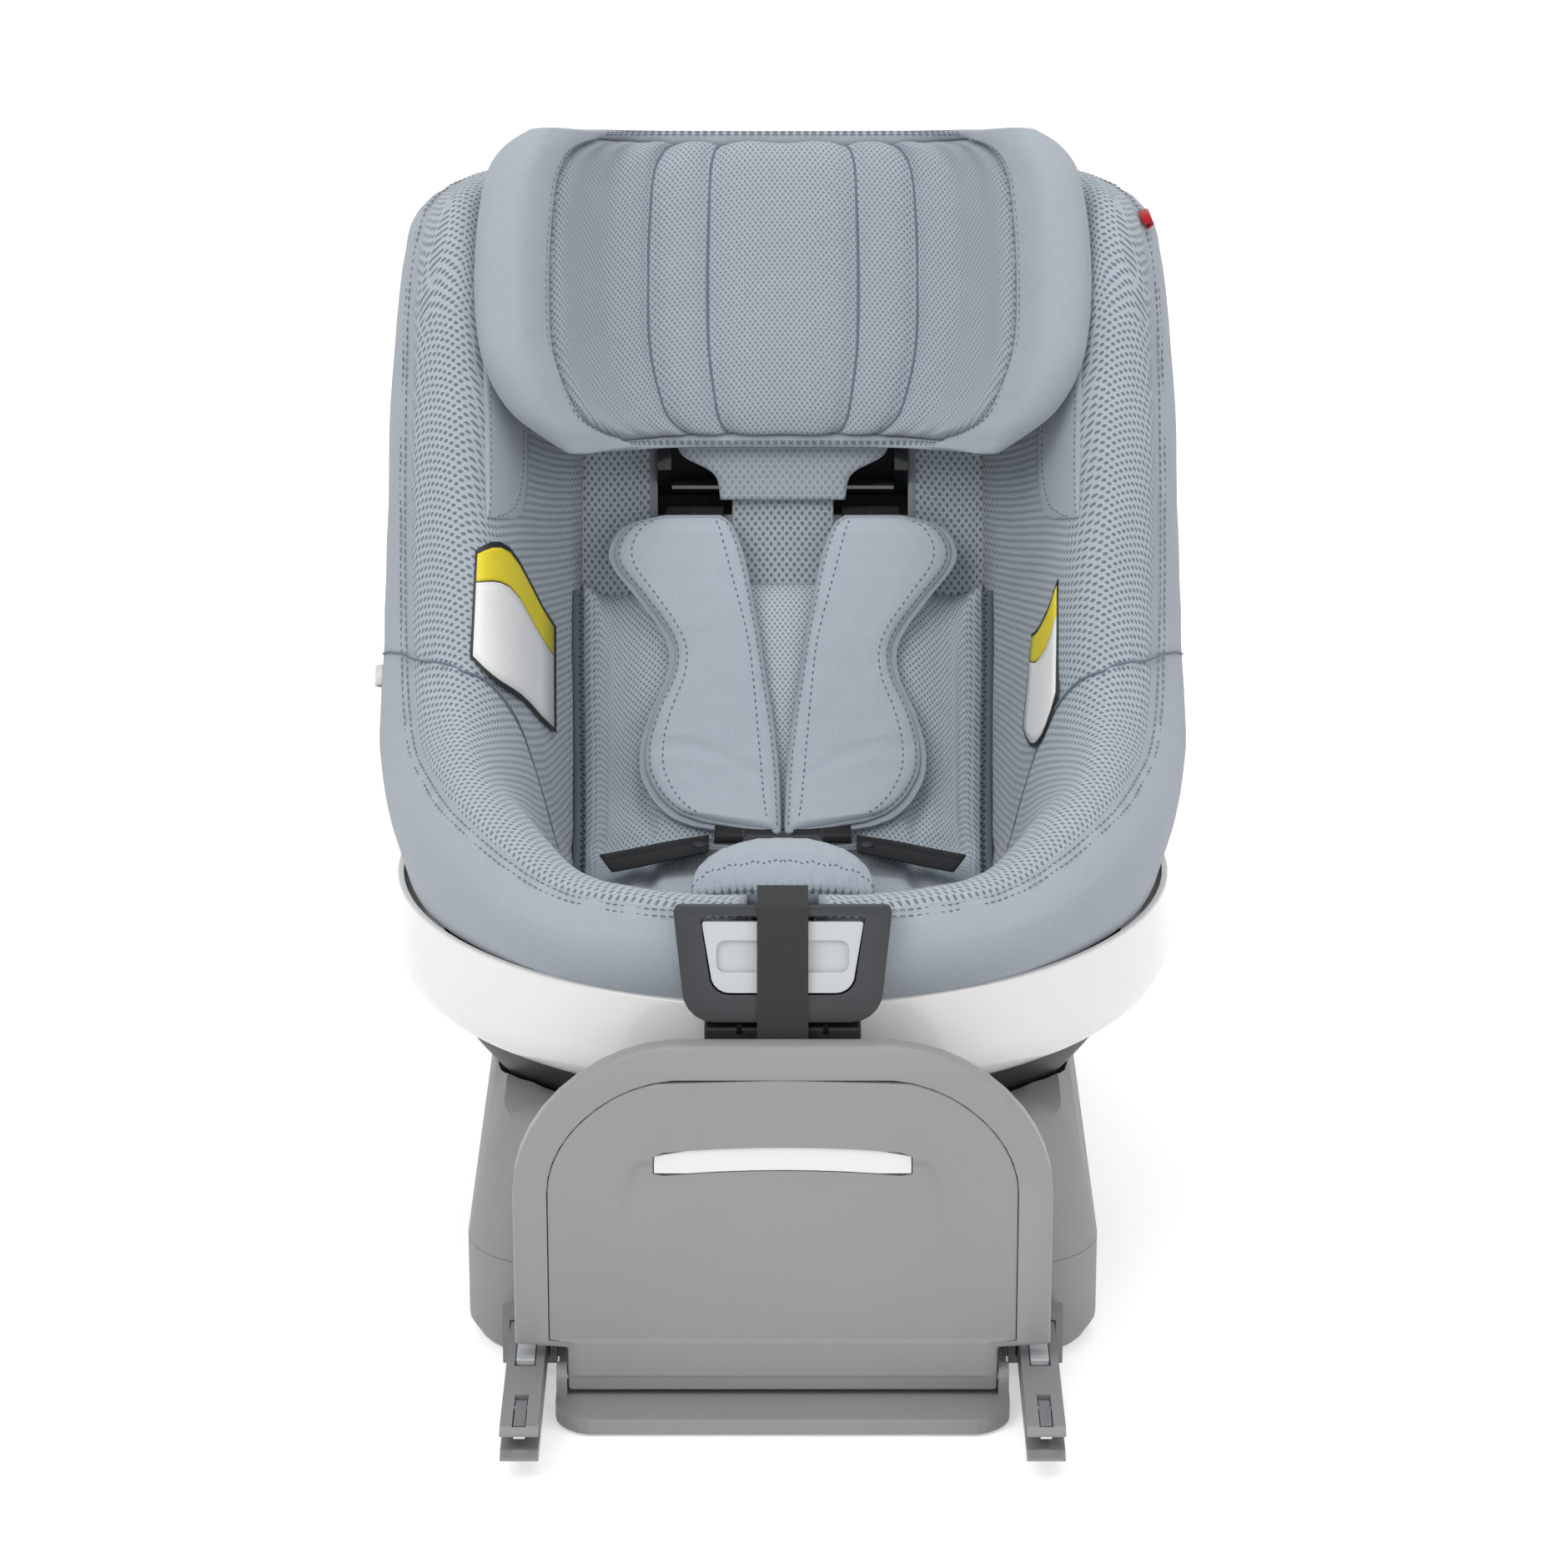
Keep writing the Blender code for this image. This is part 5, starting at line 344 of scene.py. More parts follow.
# Rows of the bucket from the outer hem over the padded rim to the middle of the floor and back,
# each from the middle of the front to the top: shares of half width, reach and rise.
HEM_share = [
    (0, -0.62, 0.09), (0.336, -0.591, 0.09), (0.595, -0.493, 0.09), (0.805, -0.325, 0.098),
    (0.908, -0.174, 0.111), (0.953, 0.029, 0.135), (0.957, 0.246, 0.201), (0.949, 0.449, 0.408),
    (0.926, 0.623, 0.585), (0.814, 0.826, 0.716), (0.537, 0.951, 0.775), (0, 0.986, 0.787)]
BELLY_share = [
    (0, -0.643, 0.159), (0.336, -0.614, 0.156), (0.604, -0.516, 0.154), (0.828, -0.333, 0.171),
    (0.948, -0.174, 0.187), (1.016, 0.014, 0.218), (1.024, 0.188, 0.348), (1.014, 0.348, 0.585),
    (0.99, 0.516, 0.77), (0.92, 0.69, 0.845), (0.59, 0.933, 0.848), (0, 0.98, 0.848)]
SEAM_share = [
    (0, -0.594, 0.206), (0.313, -0.568, 0.199), (0.559, -0.464, 0.197), (0.77, -0.29, 0.23),
    (0.868, -0.145, 0.249), (0.924, 0, 0.277), (0.949, 0.145, 0.408), (0.953, 0.275, 0.633),
    (0.94, 0.42, 0.841), (0.85, 0.574, 0.907), (0.537, 0.841, 0.893), (0, 0.904, 0.889)]
RIDGE_share = [
    (0, -0.539, 0.201), (0.295, -0.513, 0.197), (0.515, -0.412, 0.197), (0.68, -0.255, 0.235),
    (0.77, -0.122, 0.268), (0.805, 0.014, 0.32), (0.823, 0.13, 0.462), (0.832, 0.255, 0.668),
    (0.832, 0.391, 0.865), (0.761, 0.528, 0.915), (0.483, 0.783, 0.877), (0, 0.835, 0.872)]
WALL_share = [
    (0, -0.478, 0.159), (0.277, -0.464, 0.159), (0.47, -0.371, 0.159), (0.595, -0.226, 0.178),
    (0.653, -0.087, 0.187), (0.68, 0.058, 0.254), (0.707, 0.203, 0.443), (0.72, 0.333, 0.645),
    (0.716, 0.464, 0.815), (0.662, 0.594, 0.864), (0.447, 0.765, 0.841), (0, 0.788, 0.839)]
CORNER_share = [
    (0, -0.429, 0.1), (0.268, -0.406, 0.088), (0.438, -0.29, 0.045), (0.501, -0.145, 0.012),
    (0.528, 0.029, 0), (0.532, 0.203, 0.009), (0.532, 0.362, 0.123), (0.528, 0.507, 0.372),
    (0.523, 0.658, 0.637), (0.501, 0.73, 0.77), (0.38, 0.757, 0.81), (0, 0.762, 0.818)]
MIDDLE_share = [
    (0, -0.383, 0.073), (0, -0.348, 0.064), (0, -0.246, 0.04), (0, -0.116, 0.019),
    (0, 0.029, 0.002), (0, 0.188, 0), (0, 0.357, 0.123), (0, 0.507, 0.372), (0, 0.658, 0.637),
    (0, 0.73, 0.77), (0, 0.748, 0.799), (0, 0.754, 0.808)]

# Headrest section, from the middle of its front round the wing to the rear: shares of half width
# and depth. The stations above each other give a share of height, width, depth and thickness.
HEAD_SECTION_share = [
    (0, 0.23), (0.26, 0.23), (0.46, 0.27), (0.60, 0.39), (0.69, 0.62), (0.755, 0.86),
    (0.85, 1.03), (0.945, 1.02), (0.995, 0.93), (0.955, 0.80), (0.83, 0.62), (0.755, 0.43),
    (0.66, 0.22), (0.52, 0.07), (0, 0.05)]
HEAD_STATION_share = [
    (-0.03, 0.72, 0.80, 0.35), (0.03, 0.80, 0.86, 0.8), (0.12, 0.90, 0.93, 1.0),
    (0.30, 0.985, 1.0, 1.0), (0.55, 1.0, 1.0, 1.0), (0.80, 0.98, 0.98, 1.0),
    (0.93, 0.93, 0.93, 0.85), (1.0, 0.85, 0.85, 0.35)]


def table_points(table):
    """Shares of half width, reach and rise as points."""
    return [Vector((across * SEAT_HALF_WIDTH, along * SEAT_REACH, SEAT_FLOOR_Z + rise * SEAT_RISE))
            for across, along, rise in table]


def on_side(point, side):
    """The point, or its mirror image for the left side."""
    return Vector((point.x * side, point.y, point.z))


def fine_line(points, first, last, steps):
    """A smooth line through all points, with a ghost point before and after them."""
    line = [first, *points, last]
    out = []
    for i in range(1, len(line) - 2):
        a, b, c, d = line[i - 1:i + 3]
        for step in range(steps):
            t = step / steps
            out.append(b + (c - a) * (t / 2) + (a * 2 - b * 5 + c * 4 - d) * (t * t / 2)
                       + (b * 3 - a - c * 3 + d) * (t * t * t / 2))
    out.append(points[-1].copy())
    return out


def fine_grid(rows, steps, closed_ends=True, last_mirror=True):
    """A finer grid through a half cage."""
    wide = []
    for row in rows:
        first = on_side(row[1], -1) if closed_ends else row[0] * 2 - row[1]
        last = on_side(row[-2], -1) if closed_ends else row[-1] * 2 - row[-2]
        wide.append(fine_line(row, first, last, steps))
    columns = []
    for c in range(len(wide[0])):
        line = [row[c] for row in wide]
        last = on_side(line[-2], -1) if last_mirror else line[-1] * 2 - line[-2]
        columns.append(fine_line(line, line[0] * 2 - line[1], last, steps))
    return [[column[r] for column in columns] for r in range(len(columns[0]))]


def grid_normals(grid):
    """Vertex normals of a half grid."""
    sums = [[Vector((0, 0, 0)) for _ in row] for row in grid]
    for r in range(len(grid) - 1):
        for c in range(len(grid[0]) - 1):
            normal = (grid[r + 1][c + 1] - grid[r][c]).cross(grid[r][c + 1] - grid[r + 1][c])
            for i, j in ((r, c), (r, c + 1), (r + 1, c), (r + 1, c + 1)):
                sums[i][j] -= normal
    for row, line in zip(grid, sums):
        for point, normal in zip(row, line):
            if abs(point.x) < TOUCH:
                normal.x = 0
            normal.normalize()
    return sums


# Finer steps between the table's rows and columns; the rows where the rim and the liner end, and
# the row beyond which no place on the floor or back is sought
FINE = 6
RIM_ROWS = 5
LINER_ROWS = 7
SEARCH_ROW = 4.6


def bucket_grid():
    """The padded side of the bucket, finer than in the solids."""
    rows = [table_points(table) for table in (HEM_share, BELLY_share, SEAM_share, RIDGE_share,
                                              WALL_share, CORNER_share)]
    middle = table_points(MIDDLE_share)
    rows.append([a.lerp(b, 0.5) for a, b in zip(rows[-1], middle)])
    rows.append(middle)
    grid = fine_grid(rows, FINE)
    for row in grid:
        for column in (0, -1):
            row[column].x = 0
    for point in grid[-1]:
        point.x = 0
    return grid, grid_normals(grid)


GRID, NORMALS = bucket_grid()


def lengths(grid):
    """Distances run across rows and along columns, for the cloth's own coordinates."""
    rows = len(grid)
    columns = len(grid[0])
    out = [[None] * columns for _ in range(rows)]
    along = [[0.0] * columns for _ in range(rows)]
    for r in range(rows):
        for c in range(1, columns):
            along[r][c] = along[r][c - 1] + (grid[r][c] - grid[r][c - 1]).length
    across = [0.0] * columns
    for r in range(rows):
        for c in range(columns):
            if r:
                across[c] += (grid[r][c] - grid[r - 1][c]).length
            out[r][c] = (across[c], along[r][c])
    return out


# Rounds of laying a sheet flat, and the share of each pull that one round gives way to
FLAT_ROUNDS = 900
FLAT_SHARE = 0.12


def flattened(grid, first, last, centred=False):
    """Lays rows of a grid flat with little stretch: two lengths in metres per point."""
    points = np.array([[tuple(p) for p in row] for row in grid[first:last + 1]])
    run = lengths(grid)
    flat = np.array([[(run[r][c][0], run[r][c][1]) for c in range(len(grid[0]))]
                     for r in range(first, last + 1)])
    if centred:
        flat[:, :, 0] -= flat[-1, :, 0][None, :]
    pairs = [((slice(0, -1), slice(None)), (slice(1, None), slice(None))),
             ((slice(None), slice(0, -1)), (slice(None), slice(1, None))),
             ((slice(0, -1), slice(0, -1)), (slice(1, None), slice(1, None))),
             ((slice(1, None), slice(0, -1)), (slice(0, -1), slice(1, None)))]
    rests = [np.linalg.norm(points[a] - points[b], axis=2) for a, b in pairs]
    for step in (3, 7):
        for axis in (0, 1):
            ends = [(slice(0, -step), slice(None)), (slice(step, None), slice(None))]
            if axis:
                ends = [(slice(None), slice(0, -step)), (slice(None), slice(step, None))]
            hops = np.linalg.norm(np.diff(points, axis=axis), axis=2)
            total = sum(hops[i:hops.shape[0] - step + 1 + i] if not axis else
                        hops[:, i:hops.shape[1] - step + 1 + i] for i in range(step))
            pairs.append(tuple(ends))
            rests.append(total)
    for _ in range(FLAT_ROUNDS):
        move = np.zeros_like(flat)
        for (a, b), rest in zip(pairs, rests):
            gap = flat[a] - flat[b]
            span = np.linalg.norm(gap, axis=2)
            pull = gap * ((rest - span) / np.maximum(span, 1e-6) * 0.5)[:, :, None]
            move[a] += pull
            move[b] -= pull
        flat += move * FLAT_SHARE
        if centred:
            flat[-1, :, 0] = 0.0
    return flat


def spot(row, column):
    """Point and normal of the bucket at table coordinates."""
    row = row * FINE
    column = column * FINE
    r = max(0, min(int(row), len(GRID) - 2))
    c = max(0, min(int(column), len(GRID[0]) - 2))
    x = column - c
    y = row - r
    a = GRID[r][c].lerp(GRID[r][c + 1], x)
    b = GRID[r + 1][c].lerp(GRID[r + 1][c + 1], x)
    n = NORMALS[r][c].lerp(NORMALS[r][c + 1], x)
    m = NORMALS[r + 1][c].lerp(NORMALS[r + 1][c + 1], x)
    return a.lerp(b, y), n.lerp(m, y).normalized()


def liner_spot(across, column):
    """Point and normal of the floor or back, for a distance across and a table column."""
    row = LINER_ROWS
    step = 1.0 / FINE
    point, normal = spot(row, column)
    while row > SEARCH_ROW:
        following, following_normal = spot(row - step, column)
        if following.x >= across:
            t = (across - point.x) / max(following.x - point.x, 1e-6)
            return point.lerp(following, t), normal.lerp(following_normal, t).normalized()
        point, normal = following, following_normal
        row -= step
    return point, normal


# Meshes
STITCH_THICK = 0.0008
STITCH_LIFT = 0.0003


def finish_mesh(name, bm, material, body, replaced=(), smooth=True, turn_out=True):
    """Makes the object, gives it its material and lets it ride on a body."""
    if turn_out:
        bmesh.ops.recalc_face_normals(bm, faces=bm.faces)
    mesh = bpy.data.meshes.new(name)
    bm.to_mesh(mesh)
    bm.free()
    item = bpy.data.objects.new(name, mesh)
    COLLECTION.objects.link(item)
    if material:
        mesh.materials.append(MATERIALS[material])
    if smooth:
        mesh.shade_smooth()
    if body:
        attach(item, body)
    if replaced:
        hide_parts(*replaced)
    return item


def cloth_layer(bm):
    """The layer that holds the cloth's coordinates."""
    return bm.verts.layers.float_vector.new("cloth")


def add_point(bm, layer, point, mark):
    """A vertex with its cloth coordinates."""
    vert = bm.verts.new(point)
    vert[layer] = mark
    return vert


def skin(bm, rings, closed=False):
    """Joins rings of vertices into a wall, capped at both ends unless it runs round."""
    count = len(rings[0])
    for first, second in zip(rings, rings[1:] + (rings[:1] if closed else [])):
        for k in range(count):
            bm.faces.new((first[k], first[(k + 1) % count], second[(k + 1) % count], second[k]))
    if not closed:
        bm.faces.new(rings[0])
        bm.faces.new(rings[-1])


def rows_of(count, columns, cell):
    """Rows of what a function gives for each row and column."""
    return [[cell(r, c) for c in range(columns)] for r in range(count)]


def sheet(rows, mirror=True):
    """A closed bmesh from rows of (upper point, lower point, cloth coordinates)."""
    bm = bmesh.new()
    layer = cloth_layer(bm)
    for side in (1, -1) if mirror else (1,):
        top, low = ([[add_point(bm, layer, on_side(cell[deck], side), cell[2]) for cell in row]
                     for row in rows] for deck in (0, 1))
        last_row, last_column = len(top) - 1, len(top[0]) - 1
        for r in range(last_row):
            for c in range(last_column):
                bm.faces.new((top[r][c], top[r][c + 1], top[r + 1][c + 1], top[r + 1][c]))
                bm.faces.new((low[r][c], low[r + 1][c], low[r + 1][c + 1], low[r][c + 1]))
        edges = [((r, c), (r + 1, c)) for c in (0, last_column) for r in range(last_row)]
        edges += [((r, c), (r, c + 1)) for r in (0, last_row) for c in range(last_column)]
        for (r, c), (i, j) in edges:
            if not mirror or abs(top[r][c].co.x) > TOUCH or abs(top[i][j].co.x) > TOUCH:
                bm.faces.new((top[r][c], top[i][j], low[i][j], low[r][c]))
    bmesh.ops.remove_doubles(bm, verts=bm.verts, dist=TOUCH)
    return bm


def soft_piece(name, rows, material, body, replaced=(), mirror=True, cutters=None, finer=False):
    """A padded piece from a sheet's rows, with cut-outs or finer faces where they are asked for."""
    item = finish_mesh(name, sheet(rows, mirror), material, body, replaced)
    if cutters is not None:
        carve(item, cutters)
    if finer:
        refine(item)
    return item


def refine(item):
    """One level of smooth subdivision."""
    mod = item.modifiers.new("soft", "SUBSURF")
    mod.levels = 1
    mod.render_levels = 1


def hill(value, middle, width):
    """A smooth bump of height one."""
    return math.exp(-((value - middle) / width) ** 2)


def tube(name, path, radius, material, body, sides=6, closed=False):
    """A thin round cord through points, with cloth coordinates along it."""
    bm = bmesh.new()
    layer = cloth_layer(bm)
    rings = []
    run = 0.0
    count = len(path)
    angles = [2 * math.pi * k / sides for k in range(sides)]
    for i, point in enumerate(path):
        ahead = path[(i + 1) % count] if closed else path[min(i + 1, count - 1)]
        behind = path[i - 1] if closed else path[max(i - 1, 0)]
        direction = (ahead - behind).normalized()
        side = side - direction * side.dot(direction) if i else direction.orthogonal()
        side.normalize()
        up = direction.cross(side)
        if i:
            run += (point - path[i - 1]).length
        rings.append([add_point(bm, layer, point + (side * math.cos(a) + up * math.sin(a)) * radius,
                                (a * radius, run, 0.0)) for a in angles])
    skin(bm, rings, closed)
    return finish_mesh(name, bm, material, body)


def resample(path, pitch):
    """Points at an even pitch along a line of (point, normal)."""
    out = []
    left = 0.0
    for (a, n), (b, m) in zip(path, path[1:]):
        length = (b - a).length
        while left <= length and length > 0:
            t = left / length
            out.append((a.lerp(b, t), n.lerp(m, t).normalized(), (b - a).normalized()))
            left += pitch
        left -= length
    return out


def stitches(name, lines, body="seat", pitch=0.0046, length=0.0034):
    """Rows of single stitches along lines of (point, normal)."""
    bm = bmesh.new()
    layer = cloth_layer(bm)
    for point, normal, run in [place for line in lines for place in resample(line, pitch)]:
        side = normal.cross(run).normalized()
        rings = []
        for share, size in ((-0.5, 0.45), (-0.2, 1.0), (0.2, 1.0), (0.5, 0.45)):
            sink = (abs(share) * 2) ** 3 * STITCH_THICK
            base = point + normal * STITCH_LIFT + run * (length * share) - normal * sink
            half = STITCH_THICK * 0.5 * size
            rings.append([add_point(bm, layer, base + side * (a * half) + normal * (b * half),
                                    (a * STITCH_THICK, share * length, 0.0))
                          for a, b in ((-1, 0), (0, 1), (1, 0), (0, -1))])
        skin(bm, rings)
    return finish_mesh(name, bm, "stitch", body)


# Seat cover and liner. Corners of the slots cut for the straps: of the two at the harness in the
# back's frame, of those at the front and the crotch as boxes.
FRONT_SLOT = ((-0.019, -0.2120, 0.2314), (0.019, -0.1900, 0.2850))
CROTCH_SLOT = ((-0.020, -0.0341, 0.183), (0.020, -0.0285, 0.239))
SLOT_SIDES = (0.030, 0.0745, 0.0745, 0.030)
SLOT_ENDS = (-0.046, -0.046, 0.110, 0.110)
KNIT_SEAM = 2.0
CROSS_SEAM = 5.65
COVER_THICK = 0.010
HEM_RADIUS = 0.2130
HEM_Z = 0.2150


def cover_relief(r, c, point):
    """Height over the solid's surface: seam grooves, padded fields and soft wrinkles."""
    seam = -0.0022 * hill(r, KNIT_SEAM, 0.045)
    if r > KNIT_SEAM:
        cross = CROSS_SEAM - 0.45 * min(1.0, r - KNIT_SEAM) - 0.03 * max(0.0, r - 3.0)
        seam -= 0.0020 * hill(c, cross, 0.05) * min(1.0, (r - KNIT_SEAM) * 3)
        seam += 0.0014 * math.sin(math.pi * min(1.0, (r - KNIT_SEAM) / 3.0)) ** 2
    hem = -0.002 * max(0.0, 1.0 - r / 0.22) ** 2
    loose = 0.0011 * noise.noise(Vector((point.x * 16, point.y * 16, point.z * 30)))
    loose += 0.0005 * noise.noise(point * 60)
    pull = 0.0008 * math.sin(c * 23.0 + 3.0 * r) * hill(r, KNIT_SEAM - 0.25, 0.25)
    return seam + hem + loose + pull


def tucked(point, r, c):
    """Draws the hem in and down behind the ring's top edge."""
    fade = min(1.0, max(0.0, (6.0 - c) / 1.2))
    fade = fade * fade * (3 - 2 * fade)
    down = max(0.0, 1.0 - r) ** 1.25 * fade
    if not down:
        return point
    inward = max(0.0, 1.0 - r) ** 2.6 * fade
    spread = math.hypot(point.x, point.y)
    keep = 1.0 - inward * (1.0 - min(1.0, HEM_RADIUS / spread))
    fall = (min(point.z, HEM_Z) - point.z) * down
    return Vector((point.x * keep, point.y * keep, point.z + fall))


def bolster_cover():
    """Padded rim: plain knit outside the seam, net inside it."""
    run = lengths(GRID)
    last = RIM_ROWS * FINE
    flat = flattened(GRID, 0, last)
    seam = run[int(KNIT_SEAM * FINE)]

    def cell(r, c):
        """Upper point, lower point and cloth coordinates of a place on the rim."""
        point, normal = GRID[r][c], NORMALS[r][c]
        rise = cover_relief(r / FINE, c / FINE, point)
        sink = COVER_THICK
        if r == last:
            rise = min(rise, 0.0) - 0.0012
            sink -= 0.0003
        top, low = (tucked(point + normal * lift, r / FINE, c / FINE) for lift in (rise, -sink))
        return top, low, (flat[r, c, 1], flat[r, c, 0], seam[c][0] - run[r][c][0])

    slot = bmesh.new()
    box(slot, *FRONT_SLOT)
    soft_piece("cover_soft", rows_of(last + 1, len(GRID[0]), cell), "cover", "seat",
               ["bolster_cover"], cutters=slot)


def seat_liner():
    """Net over the floor and the back, with the harness slots."""
    first, last = RIM_ROWS * FINE, LINER_ROWS * FINE
    flat = flattened(GRID, first, last, True)

    def cell(r, c):
        """Upper point, lower point and cloth coordinates of a place on the floor or back."""
        point, normal = GRID[first + r][c], NORMALS[first + r][c]
        rise = 0.0006 * noise.noise(point * 22) - (0.0014 if r == 0 else 0.0)
        top, low = point + normal * rise, point - normal * (COVER_THICK - 0.0003)
        if first + r == last:
            top.x = low.x = 0
        return top, low, (flat[r, c, 0], flat[r, c, 1], -0.05)

    slots = bmesh.new()
    for side in (-1, 1):
        corners = [(side * x, up) for x, up in zip(SLOT_SIDES, SLOT_ENDS)]
        skin(slots, [[slots.verts.new(on_back(x, up, out)) for x, up in corners]
                     for out in (-0.05, 0.03)])
    soft_piece("liner_soft", rows_of(last - first + 1, len(GRID[0]), cell), "net", "seat",
               ["seat_liner"], cutters=slots)


def box(bm, low, high):
    """Adds a box between two corners."""
    made = bmesh.ops.create_cube(bm, size=1.0)
    for vert in made["verts"]:
        vert.co = Vector([(a + b) / 2 + share * (b - a) for a, b, share in zip(low, high, vert.co)])


def carve(item, cutters):
    """Cuts a bmesh out of an object's mesh."""
    bmesh.ops.recalc_face_normals(cutters, faces=cutters.faces)
    mesh = bpy.data.meshes.new("cutter")
    cutters.to_mesh(mesh)
    cutters.free()
    tool = bpy.data.objects.new("cutter", mesh)
    COLLECTION.objects.link(tool)
    mod = item.modifiers.new("cut", "BOOLEAN")
    mod.operation = "DIFFERENCE"
    mod.solver = "EXACT"
    mod.object = tool
    graph = bpy.context.evaluated_depsgraph_get()
    graph.update()
    made = bpy.data.meshes.new_from_object(item.evaluated_get(graph))
    item.modifiers.clear()
    item.data = made
    made.shade_smooth()
    bpy.data.objects.remove(tool, do_unlink=True)
    bpy.data.meshes.remove(mesh)


HEAD_ORIGIN = Vector((0, 0.59 * SEAT_REACH, SEAT_FLOOR_Z + 0.539 * SEAT_RISE))
BACK_UP = Vector((0, math.sin(BACK_TILT), math.cos(BACK_TILT)))
BACK_OUT = Vector((0, -math.cos(BACK_TILT), math.sin(BACK_TILT)))


def on_back(across, up, out):
    """A point in the back's frame: across, up along the back, out of it."""
    return HEAD_ORIGIN + Vector((across, 0, 0)) + BACK_UP * up + BACK_OUT * out


# Newborn insert with its zips
INSERT_HALF_WIDTH = 0.119
INSERT_ROWS = 56
INSERT_COLUMNS = 84
INSERT_FRONT = 5.4
INSERT_TOP = 13.8
ZIP_STEPS = 60
TAPE_PROFILE = ((-0.006, -0.0012), (-0.0022, 0.0002), (0.0, 0.0008), (0.0022, 0.0002),
                (0.006, -0.0012), (0.0, -0.0020))


def insert_rise(t, u):
    """Height of the insert's crown at a share across and a share along."""
    side = min(1.0, (1.0 - t) / 0.16)
    end = min(1.0, u / 0.09, (1.0 - u) / 0.09)
    low = min(side, end)
    crown = math.sqrt(max(0.0, 1.0 - (1.0 - low) ** 2.4))
    channel = 0.8 * hill(t, 0.64, 0.045) * min(1.0, max(0.0, (0.86 - u) / 0.1))
    fold = hill(u, 0.60, 0.035)
    hollow = 0.55 * hill(u, 0.46, 0.10) * hill(t, 0.0, 0.55)
    pillow = 0.0016 * (1 - t * t) * math.sin(math.pi * min(1.0, max(0.0, (u - 0.66) / 0.3)))
    return 0.0022 + 0.0118 * crown + pillow * crown - 0.0055 * max(channel, fold, hollow) * crown


def insert_place(t, u):
    """Point on the padding and its normal."""
    column = (INSERT_FRONT + (INSERT_TOP - INSERT_FRONT) * u) / 2
    narrow = 1.0 - 0.02 * math.sin(math.pi * u) ** 2
    point, normal = liner_spot(t * INSERT_HALF_WIDTH * narrow, column)
    return point, normal


def insert_cushion():
    """Two-part cushion in fine net: seat half, fold, back half, two side channels."""
    rows = []
    for i in range(INSERT_ROWS + 1):
        t = 1.0 - i / INSERT_ROWS
        row, run, before = [], 0.0, None
        for j in range(INSERT_COLUMNS + 1):
            u = j / INSERT_COLUMNS
            point, normal = insert_place(t, u)
            base = point + normal * 0.0008
            rise = insert_rise(t, u)
            rise += 0.0007 * noise.noise(Vector((point.x * 30, point.y * 30, point.z * 30 + 5)))
            top = base + normal * rise
            if i == INSERT_ROWS:
                base.x = top.x = 0
            if before is not None:
                run += (base - before).length
            before = base
            row.append((top, base, (t * INSERT_HALF_WIDTH, run, 0.0)))
        rows.append(row)
    slot = bmesh.new()
    box(slot, *CROTCH_SLOT)
    soft_piece("insert_soft", rows, "insert_net", "seat", ["insert_cushion"], cutters=slot)


def zips():
    """Zip tapes and their teeth along both sides of the insert."""
    line = []
    for j in range(ZIP_STEPS + 1):
        point, normal = insert_place(1.0, 0.10 + 0.89 * j / ZIP_STEPS)
        away = Vector((1, 0, 0)) - normal * normal.x
        away.normalize()
        line.append((point + away * 0.0035 + normal * 0.0022, normal, away))
    for side, label in SIDES[::-1]:
        tape, teeth = bmesh.new(), bmesh.new()
        marks, tooth_marks = cloth_layer(tape), cloth_layer(teeth)
        run = 0.0
        rings = []
        for j, (point, normal, away) in enumerate(line):
            if j:
                run += (point - line[j - 1][0]).length
            places = [(point + away * x + normal * lift, x) for x, lift in TAPE_PROFILE]
            rings.append([add_point(tape, marks, on_side(place, side), (x, run, 0.0))
                          for place, x in places])
        skin(tape, rings)
        finish_mesh("zip_tape_" + label, tape, "zip_tape", "seat")
        path = [(p, n) for p, n, _ in line]
        for count, (point, normal, along) in enumerate(resample(path, 0.0026)):
            across = normal.cross(along).normalized()
            centre = point + normal * 0.0012 + across * (0.0007 if count % 2 else -0.0007)
            rings = []
            for height, wide, deep in ((-0.0004, 0.0013, 0.0008), (0.0004, 0.00078, 0.00048)):
                rings.append([add_point(teeth, tooth_marks,
                                        on_side(centre + across * (a * wide) + along * (b * deep)
                                                + normal * height, side), (0.0, 0.0, 0.0))
                              for a, b in ((-1, -1), (1, -1), (1, 1), (-1, 1))])
            skin(teeth, rings)
        finish_mesh("zip_teeth_" + label, teeth, "zip", "seat", smooth=False)


# D-shaped plates on the inner sides
WING_STEPS = 32
WING_COLUMNS = 16


